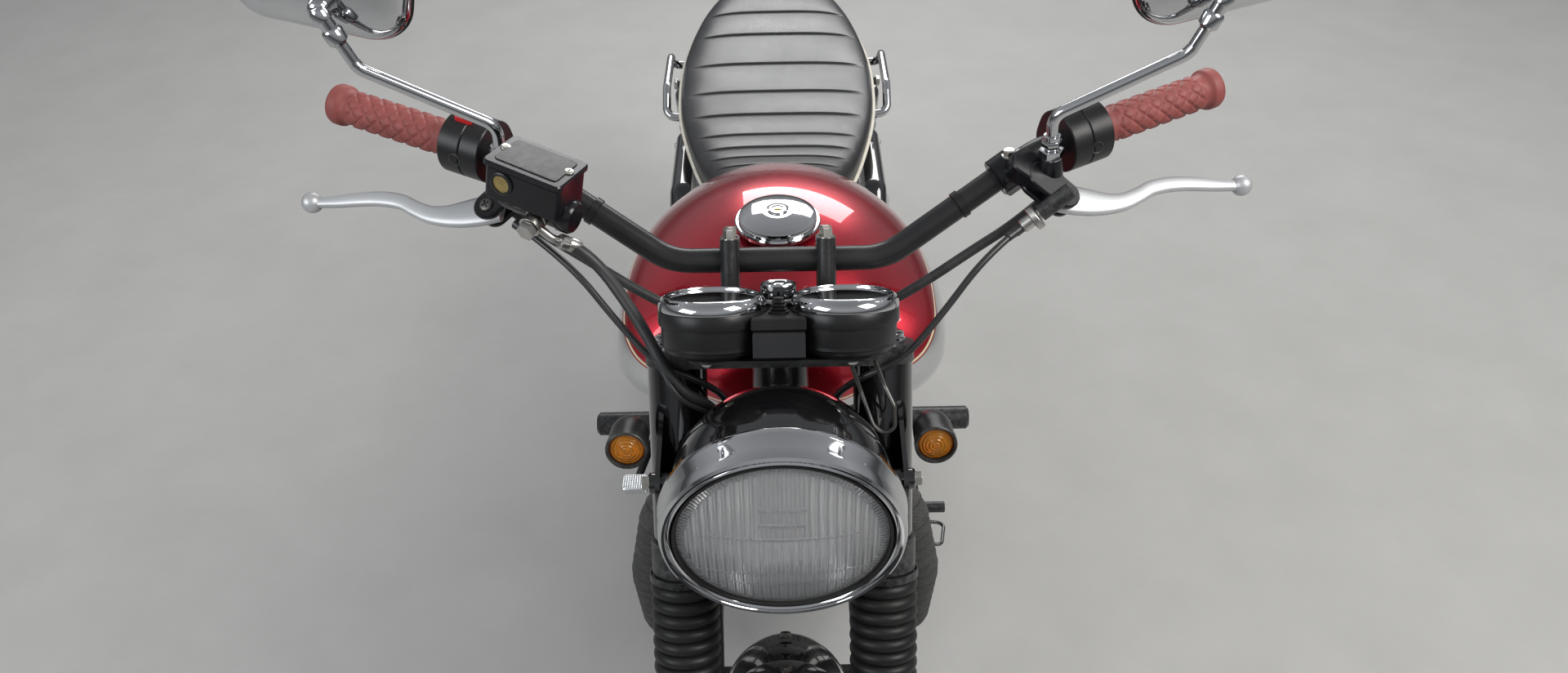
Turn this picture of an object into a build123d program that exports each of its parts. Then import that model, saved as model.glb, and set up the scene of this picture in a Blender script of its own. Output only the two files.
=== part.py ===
"""Classic twin-cylinder roadster motorcycle, standing on its centre stand.

Millimetres, +Z up, the front of the machine towards -Y and its left side towards +X.
The origin is on the floor, at the middle of the machine's length and width.
"""

import os
from math import asin, cos, degrees, pi, radians, sin, sqrt, tan

from build123d import *

os.makedirs("parts", exist_ok=True)

# Clearances
FIT = 0.3
SHAFT_FIT = 0.05

# Wheels and stance
WHEELBASE = 1460.0
FRONT_TYRE_R = 331.0
FRONT_TYRE_W = 100.0
FRONT_RIM_R = 241.0
REAR_TYRE_R = 333.0
REAR_TYRE_W = 130.0
REAR_RIM_R = 229.0
REAR_LIFT = 12.0
RIM_DEPTH = 20.0
SPOKE_R = 1.8
SPOKES = 36
AXLE_R = 8.5
BRAKE_PLATE_X = -55.3
BRAKE_PLATE_T = 10.0

# Mudguards
GUARD_WALL = 2.5
GUARD_CROWN = 0.62
FRONT_GUARD_R = 372.0
FRONT_GUARD_HALF_W = 58.0
REAR_GUARD_R = 392.0
REAR_GUARD_HALF_W = 78.0
REAR_GUARD_END = 78.0

# Steering and fork
RAKE = 27.0
TRAIL = 108.0
FORK_HALF_W = 90.0
FORK_TUBE_R = 19.5
SLIDER_R = 25.0
SLIDER_TOP = 300.0
SLIDER_FOOT = -34.0
FORK_TUBE_FOOT = 96.0
GAITER_R = 31.0
GAITER_RIDGES = 13
LOWER_YOKE = 477.0
LOWER_YOKE_T = 30.0
UPPER_YOKE = 668.0
UPPER_YOKE_T = 16.0
STEM_R = 14.0
HEAD_TUBE_R = 26.0
COVER_R = 26.0
YOKE_GAP = 0.6

# Headlamp
LAMP_R = 101.5
LAMP_AHEAD = 111.39
LAMP_BELOW_YOKE = 122.07
LAMP_DIP = 3.6
LAMP_RIM_DEPTH = 27.0
LAMP_SHELL_R = 96.0
LAMP_SHELL_DEPTH = 137.0
LAMP_GLASS_R = 89.0
LAMP_WALL = 2.0

# Instruments
CLOCK_R = 44.2
CLOCK_DEPTH = 52.0
CLOCK_HALF_GAP = 54.5
BEZEL_H = 15.0

# Handlebar and controls
BAR_R = 11.1
BAR_BEHIND_LAMP = 225.0
BAR_ABOVE_LAMP = 117.0
BAR_FLAT_HALF = 95.0
BAR_BEND_X = 228.0
BAR_BEND_BACK = 48.0
BAR_BEND_RISE = 77.0
BAR_END_X = 400.0
BAR_END_BACK = 129.0
BAR_END_RISE = 93.0
BAR_INNER_BEND = 60.0
BAR_OUTER_BEND = 70.0
RISER_HALF_GAP = 42.5
RISER_W = 17.0
RISER_L = 40.0
RISER_CAP = 9.0
GRIP_R = 16.5
GRIP_L = 130.0
GRIP_FLANGE_R = 19.0
SWITCH_R = 23.0
SWITCH_LOW_R = 27.5
SWITCH_DROP = 7.5
SWITCH_L = 42.0
LEVER_T = 9.0
CABLE_R = 3.0
HARNESS_R = 4.5
HOSE_R = 5.0
CORD_RUN = 20.0
CABLE_BENDS = [50, 50, 25, 25, 30, 20, 15, 10]
MIRROR_W = 140.0
MIRROR_H = 92.0
MIRROR_T = 14.0
MIRROR_TILT = 14.6
MIRROR_STEM_R = 5.0
MIRROR_BOSS_H = 26.0
UNION_AT = (14, -4, -46)
HOSE_AT = (26, -26, -50)
RESERVOIR_L = 68.0
RESERVOIR_W = 46.0
RESERVOIR_H = 36.0
INDICATOR_X = 130.0
INDICATOR_R = 16.5
INDICATOR_TILT = 12.0
STALK_R = 6.0

# Chassis
TUBE_R = 14.0
RAIL_R = 13.0
BACKBONE_R = 21.0
CRADLE_HALF_W = 104.0
CRADLE_Z = 214.0
CRADLE_FRONT_Y = -300.0
UPRIGHT_Y = 130.0
SEAT_RAIL_HALF_W = 96.0
SEAT_RAIL_Z = 762.0
SEAT_RAIL_END_Y = 690.0
BACKBONE_BELOW_YOKE = 68.0
BACKBONE_END_Y = 60.0
PIVOT_Y = 170.0
PIVOT_Z = 345.0
PIVOT_R = 19.0
PIVOT_PLATE_T = 7.0
PIVOT_PLATE_X = 127.0
PIVOT_BOLT_R = 8.0
ARM_HALF_GAP = 100.0
ARM_W = 24.0
SHOCK_X = 142.0
SHOCK_TOP_Y = 530.0
SHOCK_FOOT_Y = 640.0
SHOCK_SPRING_R = 26.0
SHOCK_TOP_Z = 700.0
SHOCK_FOOT_RISE = 30.0
SHOCK_STUD_R = 7.0
SHOCK_EYE_R = 16.0
SHOCK_EYE_HALF = 14.0
CROSS_TUBE_Z = 560.0
GRAB_X = 160.0
GRAB_R = 6.0

# Engine
CASE_HALF_W = 88.0
CASE_FRONT_Y = -222.0
CASE_REAR_Y = 122.0
CASE_BOTTOM_Z = 236.0
CASE_TOP_Z = 468.0
COVER_DEPTH = 62.0
BARREL_Y = -110.0
BARREL_HALF_GAP = 44.0
BARREL_R = 42.0
BARREL_H = 150.0
FIN_HALF_W = 122.0
FIN_HALF_L = 82.0
FIN_T = 3.0
FIN_PITCH = 11.0
HEAD_H = 92.0
ROCKER_H = 30.0
COVER_FLAT = 22.0
ALTERNATOR_R = 84.0
CLUTCH_R = 78.0
CLUTCH_REAR_R = 62.0
CARB_R = 25.0
BOWL_R = 21.0
AIR_BOX_Y = 62.0
AIR_BOX_Z = 572.0
AIR_BOX_W = 160.0
AIR_BOX_L = 240.0
AIR_BOX_H = 166.0
DRIVE_Y = 85.0
DRIVE_Z = 352.0
DRIVE_R = 36.0
CHAIN_W = 14.0
CHAIN_H = 11.0

# Exhaust
PIPE_R = 24.0
PIPE_OUT = 165.0
SILENCER_R = 43.0
SILENCER_X = 178.0
SILENCER_L = 600.0
PIPE_LOW_Z = 256.0
PIPE_TURN_Y = 120.0
SILENCER_Y = 255.0
SILENCER_RISE = 36.0
SILENCER_START_Z = PIPE_LOW_Z + (SILENCER_Y - PIPE_TURN_Y) * SILENCER_RISE / SILENCER_L

# Stands
STAND_PIVOT_Y = 96.0
STAND_PIVOT_Z = 180.0
STAND_R = 13.0
STAND_FOOT_HALF_W = 140.0
STAND_FOOT_Y = 78.0
STAND_LUG_X = 78.0
STAND_LUG_T = 14.0
STAND_BOLT_R = 6.0
SIDE_PIVOT = Vector(136, -130, 200)
SIDE_STOWED = Vector(37, 180, -15).normalized()
SIDE_DEPLOYED = Vector(97, -35, -155).normalized()
SIDE_AXIS = SIDE_STOWED.cross(SIDE_DEPLOYED).normalized()
SIDE_LENGTH = 185.0
SIDE_BOLT_R = 6.0

# Foot controls
PEG_Y = 118.0
PEG_Z = 330.0
PEG_END_X = 288.0
PEG_R = 18.0

# Tail
TAIL_Y = 880.0
TAIL_Z = 735.0
TAIL_W = 92.0
TAIL_H = 66.0
TAIL_DEPTH = 52.0
LENS_DEPTH = 24.0
PLATE_Y = 1050.0
PLATE_Z = 620.0
PLATE_W = 190.0
PLATE_H = 130.0
PLATE_HOLES = 140.0

# Values that follow from those above
FRONT_AXLE_Y = FRONT_TYRE_R - (FRONT_TYRE_R + WHEELBASE + REAR_GUARD_R * sin(radians(REAR_GUARD_END))) / 2
REAR_AXLE_Y = FRONT_AXLE_Y + WHEELBASE
FRONT_AXLE_Z = FRONT_TYRE_R
REAR_AXLE_Z = REAR_TYRE_R + REAR_LIFT
FORK_OFFSET = FRONT_TYRE_R * sin(radians(RAKE)) - TRAIL * cos(radians(RAKE))
SEAT_BASE_Z = SEAT_RAIL_Z + RAIL_R + FIT
SHOCK_FOOT_Z = REAR_AXLE_Z + SHOCK_FOOT_RISE

# The fork's own frame: x across, y square to the legs and backward, z up the legs.
FORK = Plane(
    origin=(0, FRONT_AXLE_Y, FRONT_AXLE_Z),
    x_dir=(1, 0, 0),
    z_dir=(0, sin(radians(RAKE)), cos(radians(RAKE))),
)
lamp_origin = FORK.from_local_coords(Vector(0, -LAMP_AHEAD, UPPER_YOKE - LAMP_BELOW_YOKE))
LAMP_Y, LAMP_Z = lamp_origin.Y, lamp_origin.Z
BAR_Y = LAMP_Y + BAR_BEHIND_LAMP
BAR_Z = LAMP_Z + BAR_ABOVE_LAMP
INDICATOR_Y = LAMP_Y + 98.6
INDICATOR_Z = LAMP_Z + 23
LAMP = Plane(
    origin=(0, LAMP_Y, LAMP_Z),
    x_dir=(1, 0, 0),
    z_dir=(0, cos(radians(LAMP_DIP)), sin(radians(LAMP_DIP))),
)
RESERVOIR = Plane(
    origin=(-194, BAR_Y - 25.4, BAR_Z + 120), x_dir=(0.87, -0.38, -0.22), z_dir=(0.2, 0.0, 0.98)
)
BAR_POINTS = [
    (side * x, BAR_Y + back, BAR_Z + rise)
    for side, x, back, rise in [
        (-1, BAR_END_X, BAR_END_BACK, BAR_END_RISE),
        (-1, BAR_BEND_X, BAR_BEND_BACK, BAR_BEND_RISE),
        (-1, BAR_FLAT_HALF, 0, 0),
        (1, BAR_FLAT_HALF, 0, 0),
        (1, BAR_BEND_X, BAR_BEND_BACK, BAR_BEND_RISE),
        (1, BAR_END_X, BAR_END_BACK, BAR_END_RISE),
    ]
]
BAR_BENDS = [BAR_OUTER_BEND, BAR_INNER_BEND, BAR_INNER_BEND, BAR_OUTER_BEND]
BAR_END = Vector(*BAR_POINTS[-1])
BAR_OUTWARD = (BAR_END - Vector(*BAR_POINTS[-2])).normalized()


def fork(x, back, up):
    """A point in the fork's own frame, as a point of the machine."""
    return FORK.from_local_coords(Vector(x, back, up))


def between_yokes(x, back, share):
    """A point of the fork's frame at a share of the way from the lower yoke's top up to the upper yoke."""
    foot = LOWER_YOKE + LOWER_YOKE_T
    return fork(x, back, foot + share * (UPPER_YOKE - foot))


def on_bar(inboard):
    """A point on the left grip's axis, measured inboard from the bar's end."""
    return BAR_END - BAR_OUTWARD * inboard


def bar_plane(inboard):
    """Square to the left grip's axis, with its z outward and its y upward."""
    return Plane(origin=on_bar(inboard), x_dir=Vector(0, 0, 1).cross(BAR_OUTWARD) * -1, z_dir=BAR_OUTWARD)


def wheel_plane(axle_y, axle_z):
    """A wheel's section: x along the axle, y out along a radius."""
    return Plane(origin=(0, axle_y, axle_z), x_dir=(1, 0, 0), z_dir=(0, -1, 0))


def axle_line(axle_y, axle_z):
    return Axis((0, axle_y, axle_z), (1, 0, 0))


def across(y, z, x=0.0):
    """A plane square to the X axis, with its x backward and its y upward."""
    return Plane(origin=(x, y, z), x_dir=(0, 1, 0), z_dir=(1, 0, 0))


def rod(points, radius, bend=0.0, bore=0.0):
    """A round bar or tube along straight runs joined by tangent arcs."""
    with BuildPart() as run:
        with BuildLine() as path:
            if len(points) > 2:
                FilletPolyline(*points, radius=bend)
            else:
                Line(*points)
        with BuildSketch(Plane(path.line @ 0, z_dir=path.line % 0)):
            Circle(radius)
            if bore:
                Circle(bore, mode=Mode.SUBTRACT)
        sweep()
    return run.part


def bar_of(start, end, radius):
    """A straight round bar between two points."""
    start, end = Vector(*start), Vector(*end)
    return Plane(start, z_dir=end - start).location * Solid.make_cylinder(radius, (end - start).length)


def crowned_section(y, half_w, widest_z, top_z, base_half_w, base_z, shoulder=52.0):
    """A rounded body's section: a flat base, bulging flanks and a crowned top."""
    reach = (1 - sin(radians(shoulder))) / cos(radians(shoulder))
    side_r = (top_z - widest_z - half_w * reach) / (1 - reach)
    lean = radians(shoulder)
    turn = Vector(half_w - side_r + side_r * cos(lean), widest_z + side_r * sin(lean))
    with BuildSketch(Plane(origin=(0, y, 0), x_dir=(1, 0, 0), z_dir=(0, -1, 0))) as section:
        with BuildLine():
            Line((-base_half_w, base_z), (base_half_w, base_z))
            TangentArc((half_w, widest_z), (base_half_w, base_z), tangent=(0, -1))
            TangentArc((half_w, widest_z), (turn.X, turn.Y), tangent=(0, 1))
            ThreePointArc((turn.X, turn.Y), (0, top_z), (-turn.X, turn.Y))
            TangentArc((-half_w, widest_z), (-turn.X, turn.Y), tangent=(0, 1))
            TangentArc((-half_w, widest_z), (-base_half_w, base_z), tangent=(0, -1))
        make_face()
    return section.sketch


def save(part, label):
    """Writes one finished piece to its own file, under its node's name."""
    part.label = label
    export_step(part, f"parts/{label}.step")


def tyre(axle_y, axle_z, tyre_r, tyre_w, rim_r, label):
    """A hollow tyre with its beads seated just above the rim."""
    bead = 0.31 * tyre_w
    shoulder = 0.40 * tyre_w
    shoulder_r = tyre_r - 0.13 * tyre_w
    widest_r = (tyre_r + rim_r) / 2
    wall = 8.0
    seat_r = rim_r + FIT
    with BuildPart() as ring:
        with BuildSketch(wheel_plane(axle_y, axle_z)):
            with BuildLine():
                ThreePointArc((-bead, seat_r), (-tyre_w / 2, widest_r), (-shoulder, shoulder_r))
                ThreePointArc((-shoulder, shoulder_r), (0, tyre_r), (shoulder, shoulder_r))
                ThreePointArc((shoulder, shoulder_r), (tyre_w / 2, widest_r), (bead, seat_r))
                Line((bead, seat_r), (bead - wall, seat_r))
                ThreePointArc(
                    (bead - wall, seat_r), (tyre_w / 2 - wall, widest_r), (shoulder - wall, shoulder_r - wall)
                )
                ThreePointArc(
                    (shoulder - wall, shoulder_r - wall),
                    (0, tyre_r - wall - 2),
                    (wall - shoulder, shoulder_r - wall),
                )
                ThreePointArc(
                    (wall - shoulder, shoulder_r - wall), (wall - tyre_w / 2, widest_r), (wall - bead, seat_r)
                )
                Line((wall - bead, seat_r), (-bead, seat_r))
            make_face()
        revolve(axis=axle_line(axle_y, axle_z))
    save(ring.part, label)


def spoke(axle_y, axle_z, index, flange_x, flange_r, rim_x, rim_r):
    """One laced spoke from a hub flange to the rim's well."""
    side = 1 if index % 2 else -1
    lean = 1 if (index // 2) % 2 else -1
    angle = 2 * pi * index / SPOKES
    hub_angle = angle + lean * radians(50)
    start = (side * flange_x, axle_y + flange_r * sin(hub_angle), axle_z + flange_r * cos(hub_angle))
    end = (side * rim_x, axle_y + rim_r * sin(angle), axle_z + rim_r * cos(angle))
    return bar_of(start, end, SPOKE_R)


def wire_wheel(axle_y, axle_z, rim_r, rim_half_w, hub, label):
    """Rim, hub and laced spokes as one piece. The hub lists discs: radius and two ends along the axle."""
    centre = wheel_plane(axle_y, axle_z)
    floor_r = rim_r - RIM_DEPTH
    with BuildPart() as wheel:
        with BuildSketch(centre):
            with BuildLine():
                FilletPolyline(
                    (-rim_half_w, rim_r),
                    (-rim_half_w + 5, rim_r),
                    (-rim_half_w + 14, floor_r + 5),
                    (rim_half_w - 14, floor_r + 5),
                    (rim_half_w - 5, rim_r),
                    (rim_half_w, rim_r),
                    (rim_half_w - 9, floor_r + 1),
                    (0, floor_r - 2),
                    (9 - rim_half_w, floor_r + 1),
                    radius=0,
                    close=True,
                )
            make_face()
        revolve(axis=axle_line(axle_y, axle_z))
        for radius, start, end in hub:
            with BuildSketch(centre):
                with Locations(((start + end) / 2, (radius + AXLE_R + SHAFT_FIT) / 2)):
                    Rectangle(end - start, radius - AXLE_R - SHAFT_FIT)
            revolve(axis=axle_line(axle_y, axle_z))
        flange_r = hub[1][0] - 4
        flange_x = (hub[1][1] + hub[1][2]) / 2
        add([spoke(axle_y, axle_z, i, flange_x, flange_r, 6, floor_r + 1) for i in range(SPOKES)])
    save(wheel.part, label)


def mudguard(axle_y, axle_z, outer_r, half_w, start, end):
    """A crowned strip round a wheel. Its angles are from straight up, backward positive."""
    edge_drop = GUARD_CROWN * half_w
    with BuildPart() as guard:
        turn = radians(start)
        plane = Plane(origin=(0, axle_y, axle_z), x_dir=(1, 0, 0), z_dir=(0, -cos(turn), sin(turn)))
        with BuildSketch(plane):
            with BuildLine():
                edge_r = outer_r - edge_drop
                outer = ThreePointArc((-half_w, edge_r), (0, outer_r), (half_w, edge_r))
                inner = ThreePointArc(
                    (GUARD_WALL - half_w, outer_r - edge_drop),
                    (0, outer_r - GUARD_WALL),
                    (half_w - GUARD_WALL, outer_r - edge_drop),
                )
                Line(outer @ 0, inner @ 0)
                Line(outer @ 1, inner @ 1)
            make_face()
        revolve(axis=Axis((0, axle_y, axle_z), (-1, 0, 0)), revolution_arc=end - start)
    return guard.part


# Wheels
FRONT_HUB = [(26, -40, 38), (44, 30, 35), (44, -35, -30), (56, -50, -39)]
REAR_HUB = [(34, -50, 76), (94, 26, 32), (94, -32, -26), (92, -50, 28), (56, 32, 76)]
DISC_X = -50.0
DISC_T = 5.0
DISC_R = 150.0
SPROCKET_X = 76.0
SPROCKET_T = 6.0
SPROCKET_R = 92.0

tyre(FRONT_AXLE_Y, FRONT_AXLE_Z, FRONT_TYRE_R, FRONT_TYRE_W, FRONT_RIM_R, "front_tyre")
tyre(REAR_AXLE_Y, REAR_AXLE_Z, REAR_TYRE_R, REAR_TYRE_W, REAR_RIM_R, "rear_tyre")
wire_wheel(FRONT_AXLE_Y, FRONT_AXLE_Z, FRONT_RIM_R, 0.33 * FRONT_TYRE_W, FRONT_HUB, "front_wheel")
wire_wheel(REAR_AXLE_Y, REAR_AXLE_Z, REAR_RIM_R, 0.33 * REAR_TYRE_W, REAR_HUB, "rear_wheel")

with BuildPart() as front_disc:
    with BuildSketch(across(FRONT_AXLE_Y, FRONT_AXLE_Z, DISC_X - DISC_T)):
        Circle(DISC_R)
        Circle(AXLE_R * 3.4, mode=Mode.SUBTRACT)
        with PolarLocations(82, 5):
            SlotOverall(46, 26, rotation=90, mode=Mode.SUBTRACT)
        for ring, shift in ((116, 0), (136, 9)):
            with PolarLocations(ring, 20, start_angle=shift):
                Circle(4, mode=Mode.SUBTRACT)
    extrude(amount=DISC_T)
save(front_disc.part, "front_disc")

with BuildPart() as rear_sprocket:
    with BuildSketch(across(REAR_AXLE_Y, REAR_AXLE_Z, SPROCKET_X)):
        Circle(SPROCKET_R)
        Circle(AXLE_R * 3, mode=Mode.SUBTRACT)
        with PolarLocations(64, 6):
            Circle(13, mode=Mode.SUBTRACT)
    extrude(amount=SPROCKET_T)
save(rear_sprocket.part, "rear_sprocket")

# Fork
with BuildPart() as front_axle:
    with BuildSketch(across(FRONT_AXLE_Y, FRONT_AXLE_Z, -FORK_HALF_W - SLIDER_R - 8)):
        Circle(AXLE_R)
    extrude(amount=2 * (FORK_HALF_W + SLIDER_R + 8))
    inner_side = FORK_HALF_W - SLIDER_R - FIT
    for start, end in ((38 + FIT, inner_side), (-inner_side, DISC_X - FIT)):
        with BuildSketch(across(FRONT_AXLE_Y, FRONT_AXLE_Z, start)):
            Circle(AXLE_R * 1.6)
        extrude(amount=end - start)
    for end in (-FORK_HALF_W - SLIDER_R - 8, FORK_HALF_W + SLIDER_R + FIT):
        with BuildSketch(across(FRONT_AXLE_Y, FRONT_AXLE_Z, end)):
            RegularPolygon(14, 6)
        extrude(amount=8 - FIT)
save(front_axle.part, "front_axle")

with BuildPart() as fork_tubes:
    with BuildSketch(FORK.offset(FORK_TUBE_FOOT)):
        with Locations((-FORK_HALF_W, 0), (FORK_HALF_W, 0)):
            Circle(FORK_TUBE_R)
    extrude(amount=UPPER_YOKE + UPPER_YOKE_T + 5 - FORK_TUBE_FOOT)
    chamfer(fork_tubes.faces().group_by(Axis(FORK.origin, FORK.z_dir))[-1].edges(), 2)
save(fork_tubes.part, "fork_tubes")

GUARD_LUG = 254.0
GUARD_TAB = 0.5
CALIPER_BACK = 72.0
CALIPER_FOOT = 66.0
CALIPER_H = 80.0
CALIPER_LUG_T = 16.0
CALIPER_LUG_X = -FORK_HALF_W - 6
CALIPER_INNER_X = -32.0
with BuildPart() as fork_sliders:
    with BuildSketch(FORK.offset(SLIDER_FOOT)):
        with Locations((-FORK_HALF_W, 0), (FORK_HALF_W, 0)):
            Circle(SLIDER_R)
    extrude(amount=SLIDER_TOP - SLIDER_FOOT)
    chamfer(fork_sliders.faces().group_by(Axis(FORK.origin, FORK.z_dir))[0].edges(), 6)
    with BuildSketch(FORK.offset(GUARD_LUG)):
        for side in (-1, 1):
            with Locations((side * (FRONT_GUARD_HALF_W + GUARD_TAB + FIT + FORK_HALF_W) / 2, 0)):
                Rectangle(FORK_HALF_W - FRONT_GUARD_HALF_W - GUARD_TAB - FIT, 20)
    extrude(amount=24)
    with BuildSketch(FORK.offset(CALIPER_FOOT)):
        with Locations((CALIPER_LUG_X, CALIPER_BACK / 2)):
            Rectangle(CALIPER_LUG_T, CALIPER_BACK, align=(Align.MIN, Align.CENTER))
    extrude(amount=CALIPER_H - 20)
    with BuildSketch(FORK.offset(FORK_TUBE_FOOT - 1)):
        with Locations((-FORK_HALF_W, 0), (FORK_HALF_W, 0)):
            Circle(FORK_TUBE_R + 0.2)
    extrude(amount=SLIDER_TOP, mode=Mode.SUBTRACT)
    for x in (-FORK_HALF_W - 60, FORK_HALF_W - 60):
        with BuildSketch(across(FRONT_AXLE_Y, FRONT_AXLE_Z, x)):
            Circle(AXLE_R + SHAFT_FIT)
        extrude(amount=120, mode=Mode.SUBTRACT)
save(fork_sliders.part, "fork_sliders")

GAITER_FOOT = 284.0
with BuildPart() as fork_gaiters:
    with BuildSketch(Plane(origin=fork(FORK_HALF_W, 0, 0), x_dir=(1, 0, 0), z_dir=-FORK.y_dir)):
        with BuildLine():
            top = LOWER_YOKE - FIT
            pitch = (top - GAITER_FOOT - 26) / GAITER_RIDGES
            first = GAITER_FOOT + 16
            valley = GAITER_R - 5
            Polyline((SLIDER_R + FIT, GAITER_FOOT), (valley + 1.5, GAITER_FOOT), (valley + 1.5, first))
            for i in range(GAITER_RIDGES):
                ThreePointArc(
                    (valley + (1.5 if i == 0 else 0), first + i * pitch),
                    (GAITER_R, first + (i + 0.5) * pitch),
                    (valley + (1.5 if i == GAITER_RIDGES - 1 else 0), first + (i + 1) * pitch),
                )
            last = first + GAITER_RIDGES * pitch
            Polyline(
                (valley + 1.5, last),
                (valley + 1.5, top),
                (FORK_TUBE_R + 2, top),
                (FORK_TUBE_R + 2, SLIDER_TOP + 2),
                (SLIDER_R + FIT, SLIDER_TOP + 2),
                (SLIDER_R + FIT, GAITER_FOOT),
            )
        make_face()
    revolve(axis=Axis(fork(FORK_HALF_W, 0, 0), FORK.z_dir))
    mirror(about=Plane.YZ)
save(fork_gaiters.part, "fork_gaiters")


def yoke_outline(leg_r, stem_r):
    """The flat outline that joins both legs and the steering stem."""
    with BuildSketch() as outline:
        with Locations((-FORK_HALF_W, 0), (FORK_HALF_W, 0)):
            Circle(leg_r)
        with Locations((0, FORK_OFFSET)):
            Circle(stem_r)
        make_hull()
        with Locations((-FORK_HALF_W, 0), (FORK_HALF_W, 0)):
            Circle(FORK_TUBE_R + SHAFT_FIT, mode=Mode.SUBTRACT)
    return outline.sketch


with BuildPart() as lower_yoke:
    with BuildSketch(FORK.offset(LOWER_YOKE)):
        add(yoke_outline(29, 30))
    extrude(amount=LOWER_YOKE_T)
    with BuildSketch(FORK.offset(LOWER_YOKE + 1)):
        with Locations((0, FORK_OFFSET)):
            Circle(STEM_R)
    extrude(amount=UPPER_YOKE + UPPER_YOKE_T + 6 - LOWER_YOKE - 1)
    with BuildSketch(LAMP):
        Circle(LAMP_SHELL_R + 2)
    extrude(amount=LAMP_SHELL_DEPTH - 25, mode=Mode.SUBTRACT)
save(lower_yoke.part, "lower_yoke")

bar_space = rod(BAR_POINTS, BAR_R + SHAFT_FIT, BAR_BENDS)
bar_local = FORK.to_local_coords(Vector(0, BAR_Y, BAR_Z))
with BuildPart() as upper_yoke:
    with BuildSketch(FORK.offset(UPPER_YOKE)):
        add(yoke_outline(27, 26))
        with Locations((0, FORK_OFFSET)):
            Circle(STEM_R + SHAFT_FIT, mode=Mode.SUBTRACT)
    extrude(amount=UPPER_YOKE_T)
    for x in (-RISER_HALF_GAP, RISER_HALF_GAP):
        with BuildSketch(FORK.offset(UPPER_YOKE + UPPER_YOKE_T)):
            with Locations((x, bar_local.Y)):
                SlotOverall(RISER_L, RISER_W, rotation=90)
        extrude(amount=bar_local.Z + BAR_R + RISER_CAP - UPPER_YOKE - UPPER_YOKE_T)
    with BuildSketch(FORK.offset(UPPER_YOKE + UPPER_YOKE_T)):
        with Locations((0, FORK_OFFSET)):
            RegularPolygon(19, 6)
            Circle(STEM_R + SHAFT_FIT, mode=Mode.SUBTRACT)
    extrude(amount=10)
    add(bar_space, mode=Mode.SUBTRACT)
save(upper_yoke.part, "upper_yoke")

# Headlamp
LAMP_SECTION = Plane(origin=LAMP.origin, x_dir=(1, 0, 0), z_dir=-LAMP.y_dir)
LAMP_AXIS = Axis(LAMP.origin, LAMP.z_dir)
bowl_depth = LAMP_SHELL_DEPTH - LAMP_SHELL_R
with BuildPart() as headlamp_shell:
    with BuildSketch(LAMP_SECTION):
        with BuildLine():
            outer = CenterArc((0, bowl_depth), LAMP_SHELL_R, 0, 90)
            inner = CenterArc((0, bowl_depth), LAMP_SHELL_R - LAMP_WALL, 0, 90)
            Polyline(outer @ 0, (LAMP_SHELL_R, 12), (LAMP_SHELL_R - LAMP_WALL, 12), inner @ 0)
            Line(outer @ 1, inner @ 1)
        make_face()
    revolve(axis=LAMP_AXIS)
save(headlamp_shell.part, "headlamp_shell")

with BuildPart() as headlamp_rim:
    with BuildSketch(LAMP_SECTION):
        with BuildLine():
            Polyline(
                (LAMP_GLASS_R + FIT, 9),
                (LAMP_GLASS_R + FIT, -1),
                (LAMP_R - 6, -5),
                (LAMP_R - 1, -2),
                (LAMP_R, 4),
                (LAMP_SHELL_R + 3, LAMP_RIM_DEPTH),
                (LAMP_SHELL_R + FIT, LAMP_RIM_DEPTH),
                (LAMP_SHELL_R + FIT, 9),
                close=True,
            )
        make_face()
    revolve(axis=LAMP_AXIS)
save(headlamp_rim.part, "headlamp_rim")

# A shallow dome, and the bowl behind it: both arcs have their centres on the lamp's axis
GLASS_DOME = 14.0
GLASS_T = 4.0
REFLECTOR_DEPTH = 66.0
with BuildPart() as headlamp_glass:
    dome_r = (LAMP_GLASS_R**2 + GLASS_DOME**2) / (2 * GLASS_DOME)
    half_turn = degrees(asin(LAMP_GLASS_R / dome_r))
    with BuildSketch(LAMP_SECTION):
        with BuildLine():
            outer = CenterArc((0, dome_r - GLASS_DOME), dome_r, -90, half_turn)
            inner = CenterArc((0, dome_r - GLASS_DOME + GLASS_T), dome_r, -90, half_turn)
            Line(outer @ 0, inner @ 0)
            Line(outer @ 1, inner @ 1)
        make_face()
    revolve(axis=LAMP_AXIS)
save(headlamp_glass.part, "headlamp_glass")

with BuildPart() as headlamp_reflector:
    bowl_r = (LAMP_GLASS_R**2 + REFLECTOR_DEPTH**2) / (2 * REFLECTOR_DEPTH)
    half_turn = degrees(asin(LAMP_GLASS_R / bowl_r))
    rim_line = GLASS_T + FIT
    with BuildSketch(LAMP_SECTION):
        with BuildLine():
            centre = rim_line + REFLECTOR_DEPTH - bowl_r
            outer = CenterArc((0, centre), bowl_r, 90 - half_turn, half_turn)
            inner = CenterArc((0, centre - LAMP_WALL), bowl_r, 90 - half_turn, half_turn)
            Line(outer @ 0, inner @ 0)
            Line(outer @ 1, inner @ 1)
        make_face()
        split(bisect_by=Plane(origin=(0, rim_line, 0), z_dir=(0, 1, 0)))
    revolve(axis=LAMP_AXIS)
    with BuildSketch(LAMP.offset(REFLECTOR_DEPTH - 30)):
        Circle(8)
    extrude(amount=34)
save(headlamp_reflector.part, "headlamp_reflector")

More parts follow.
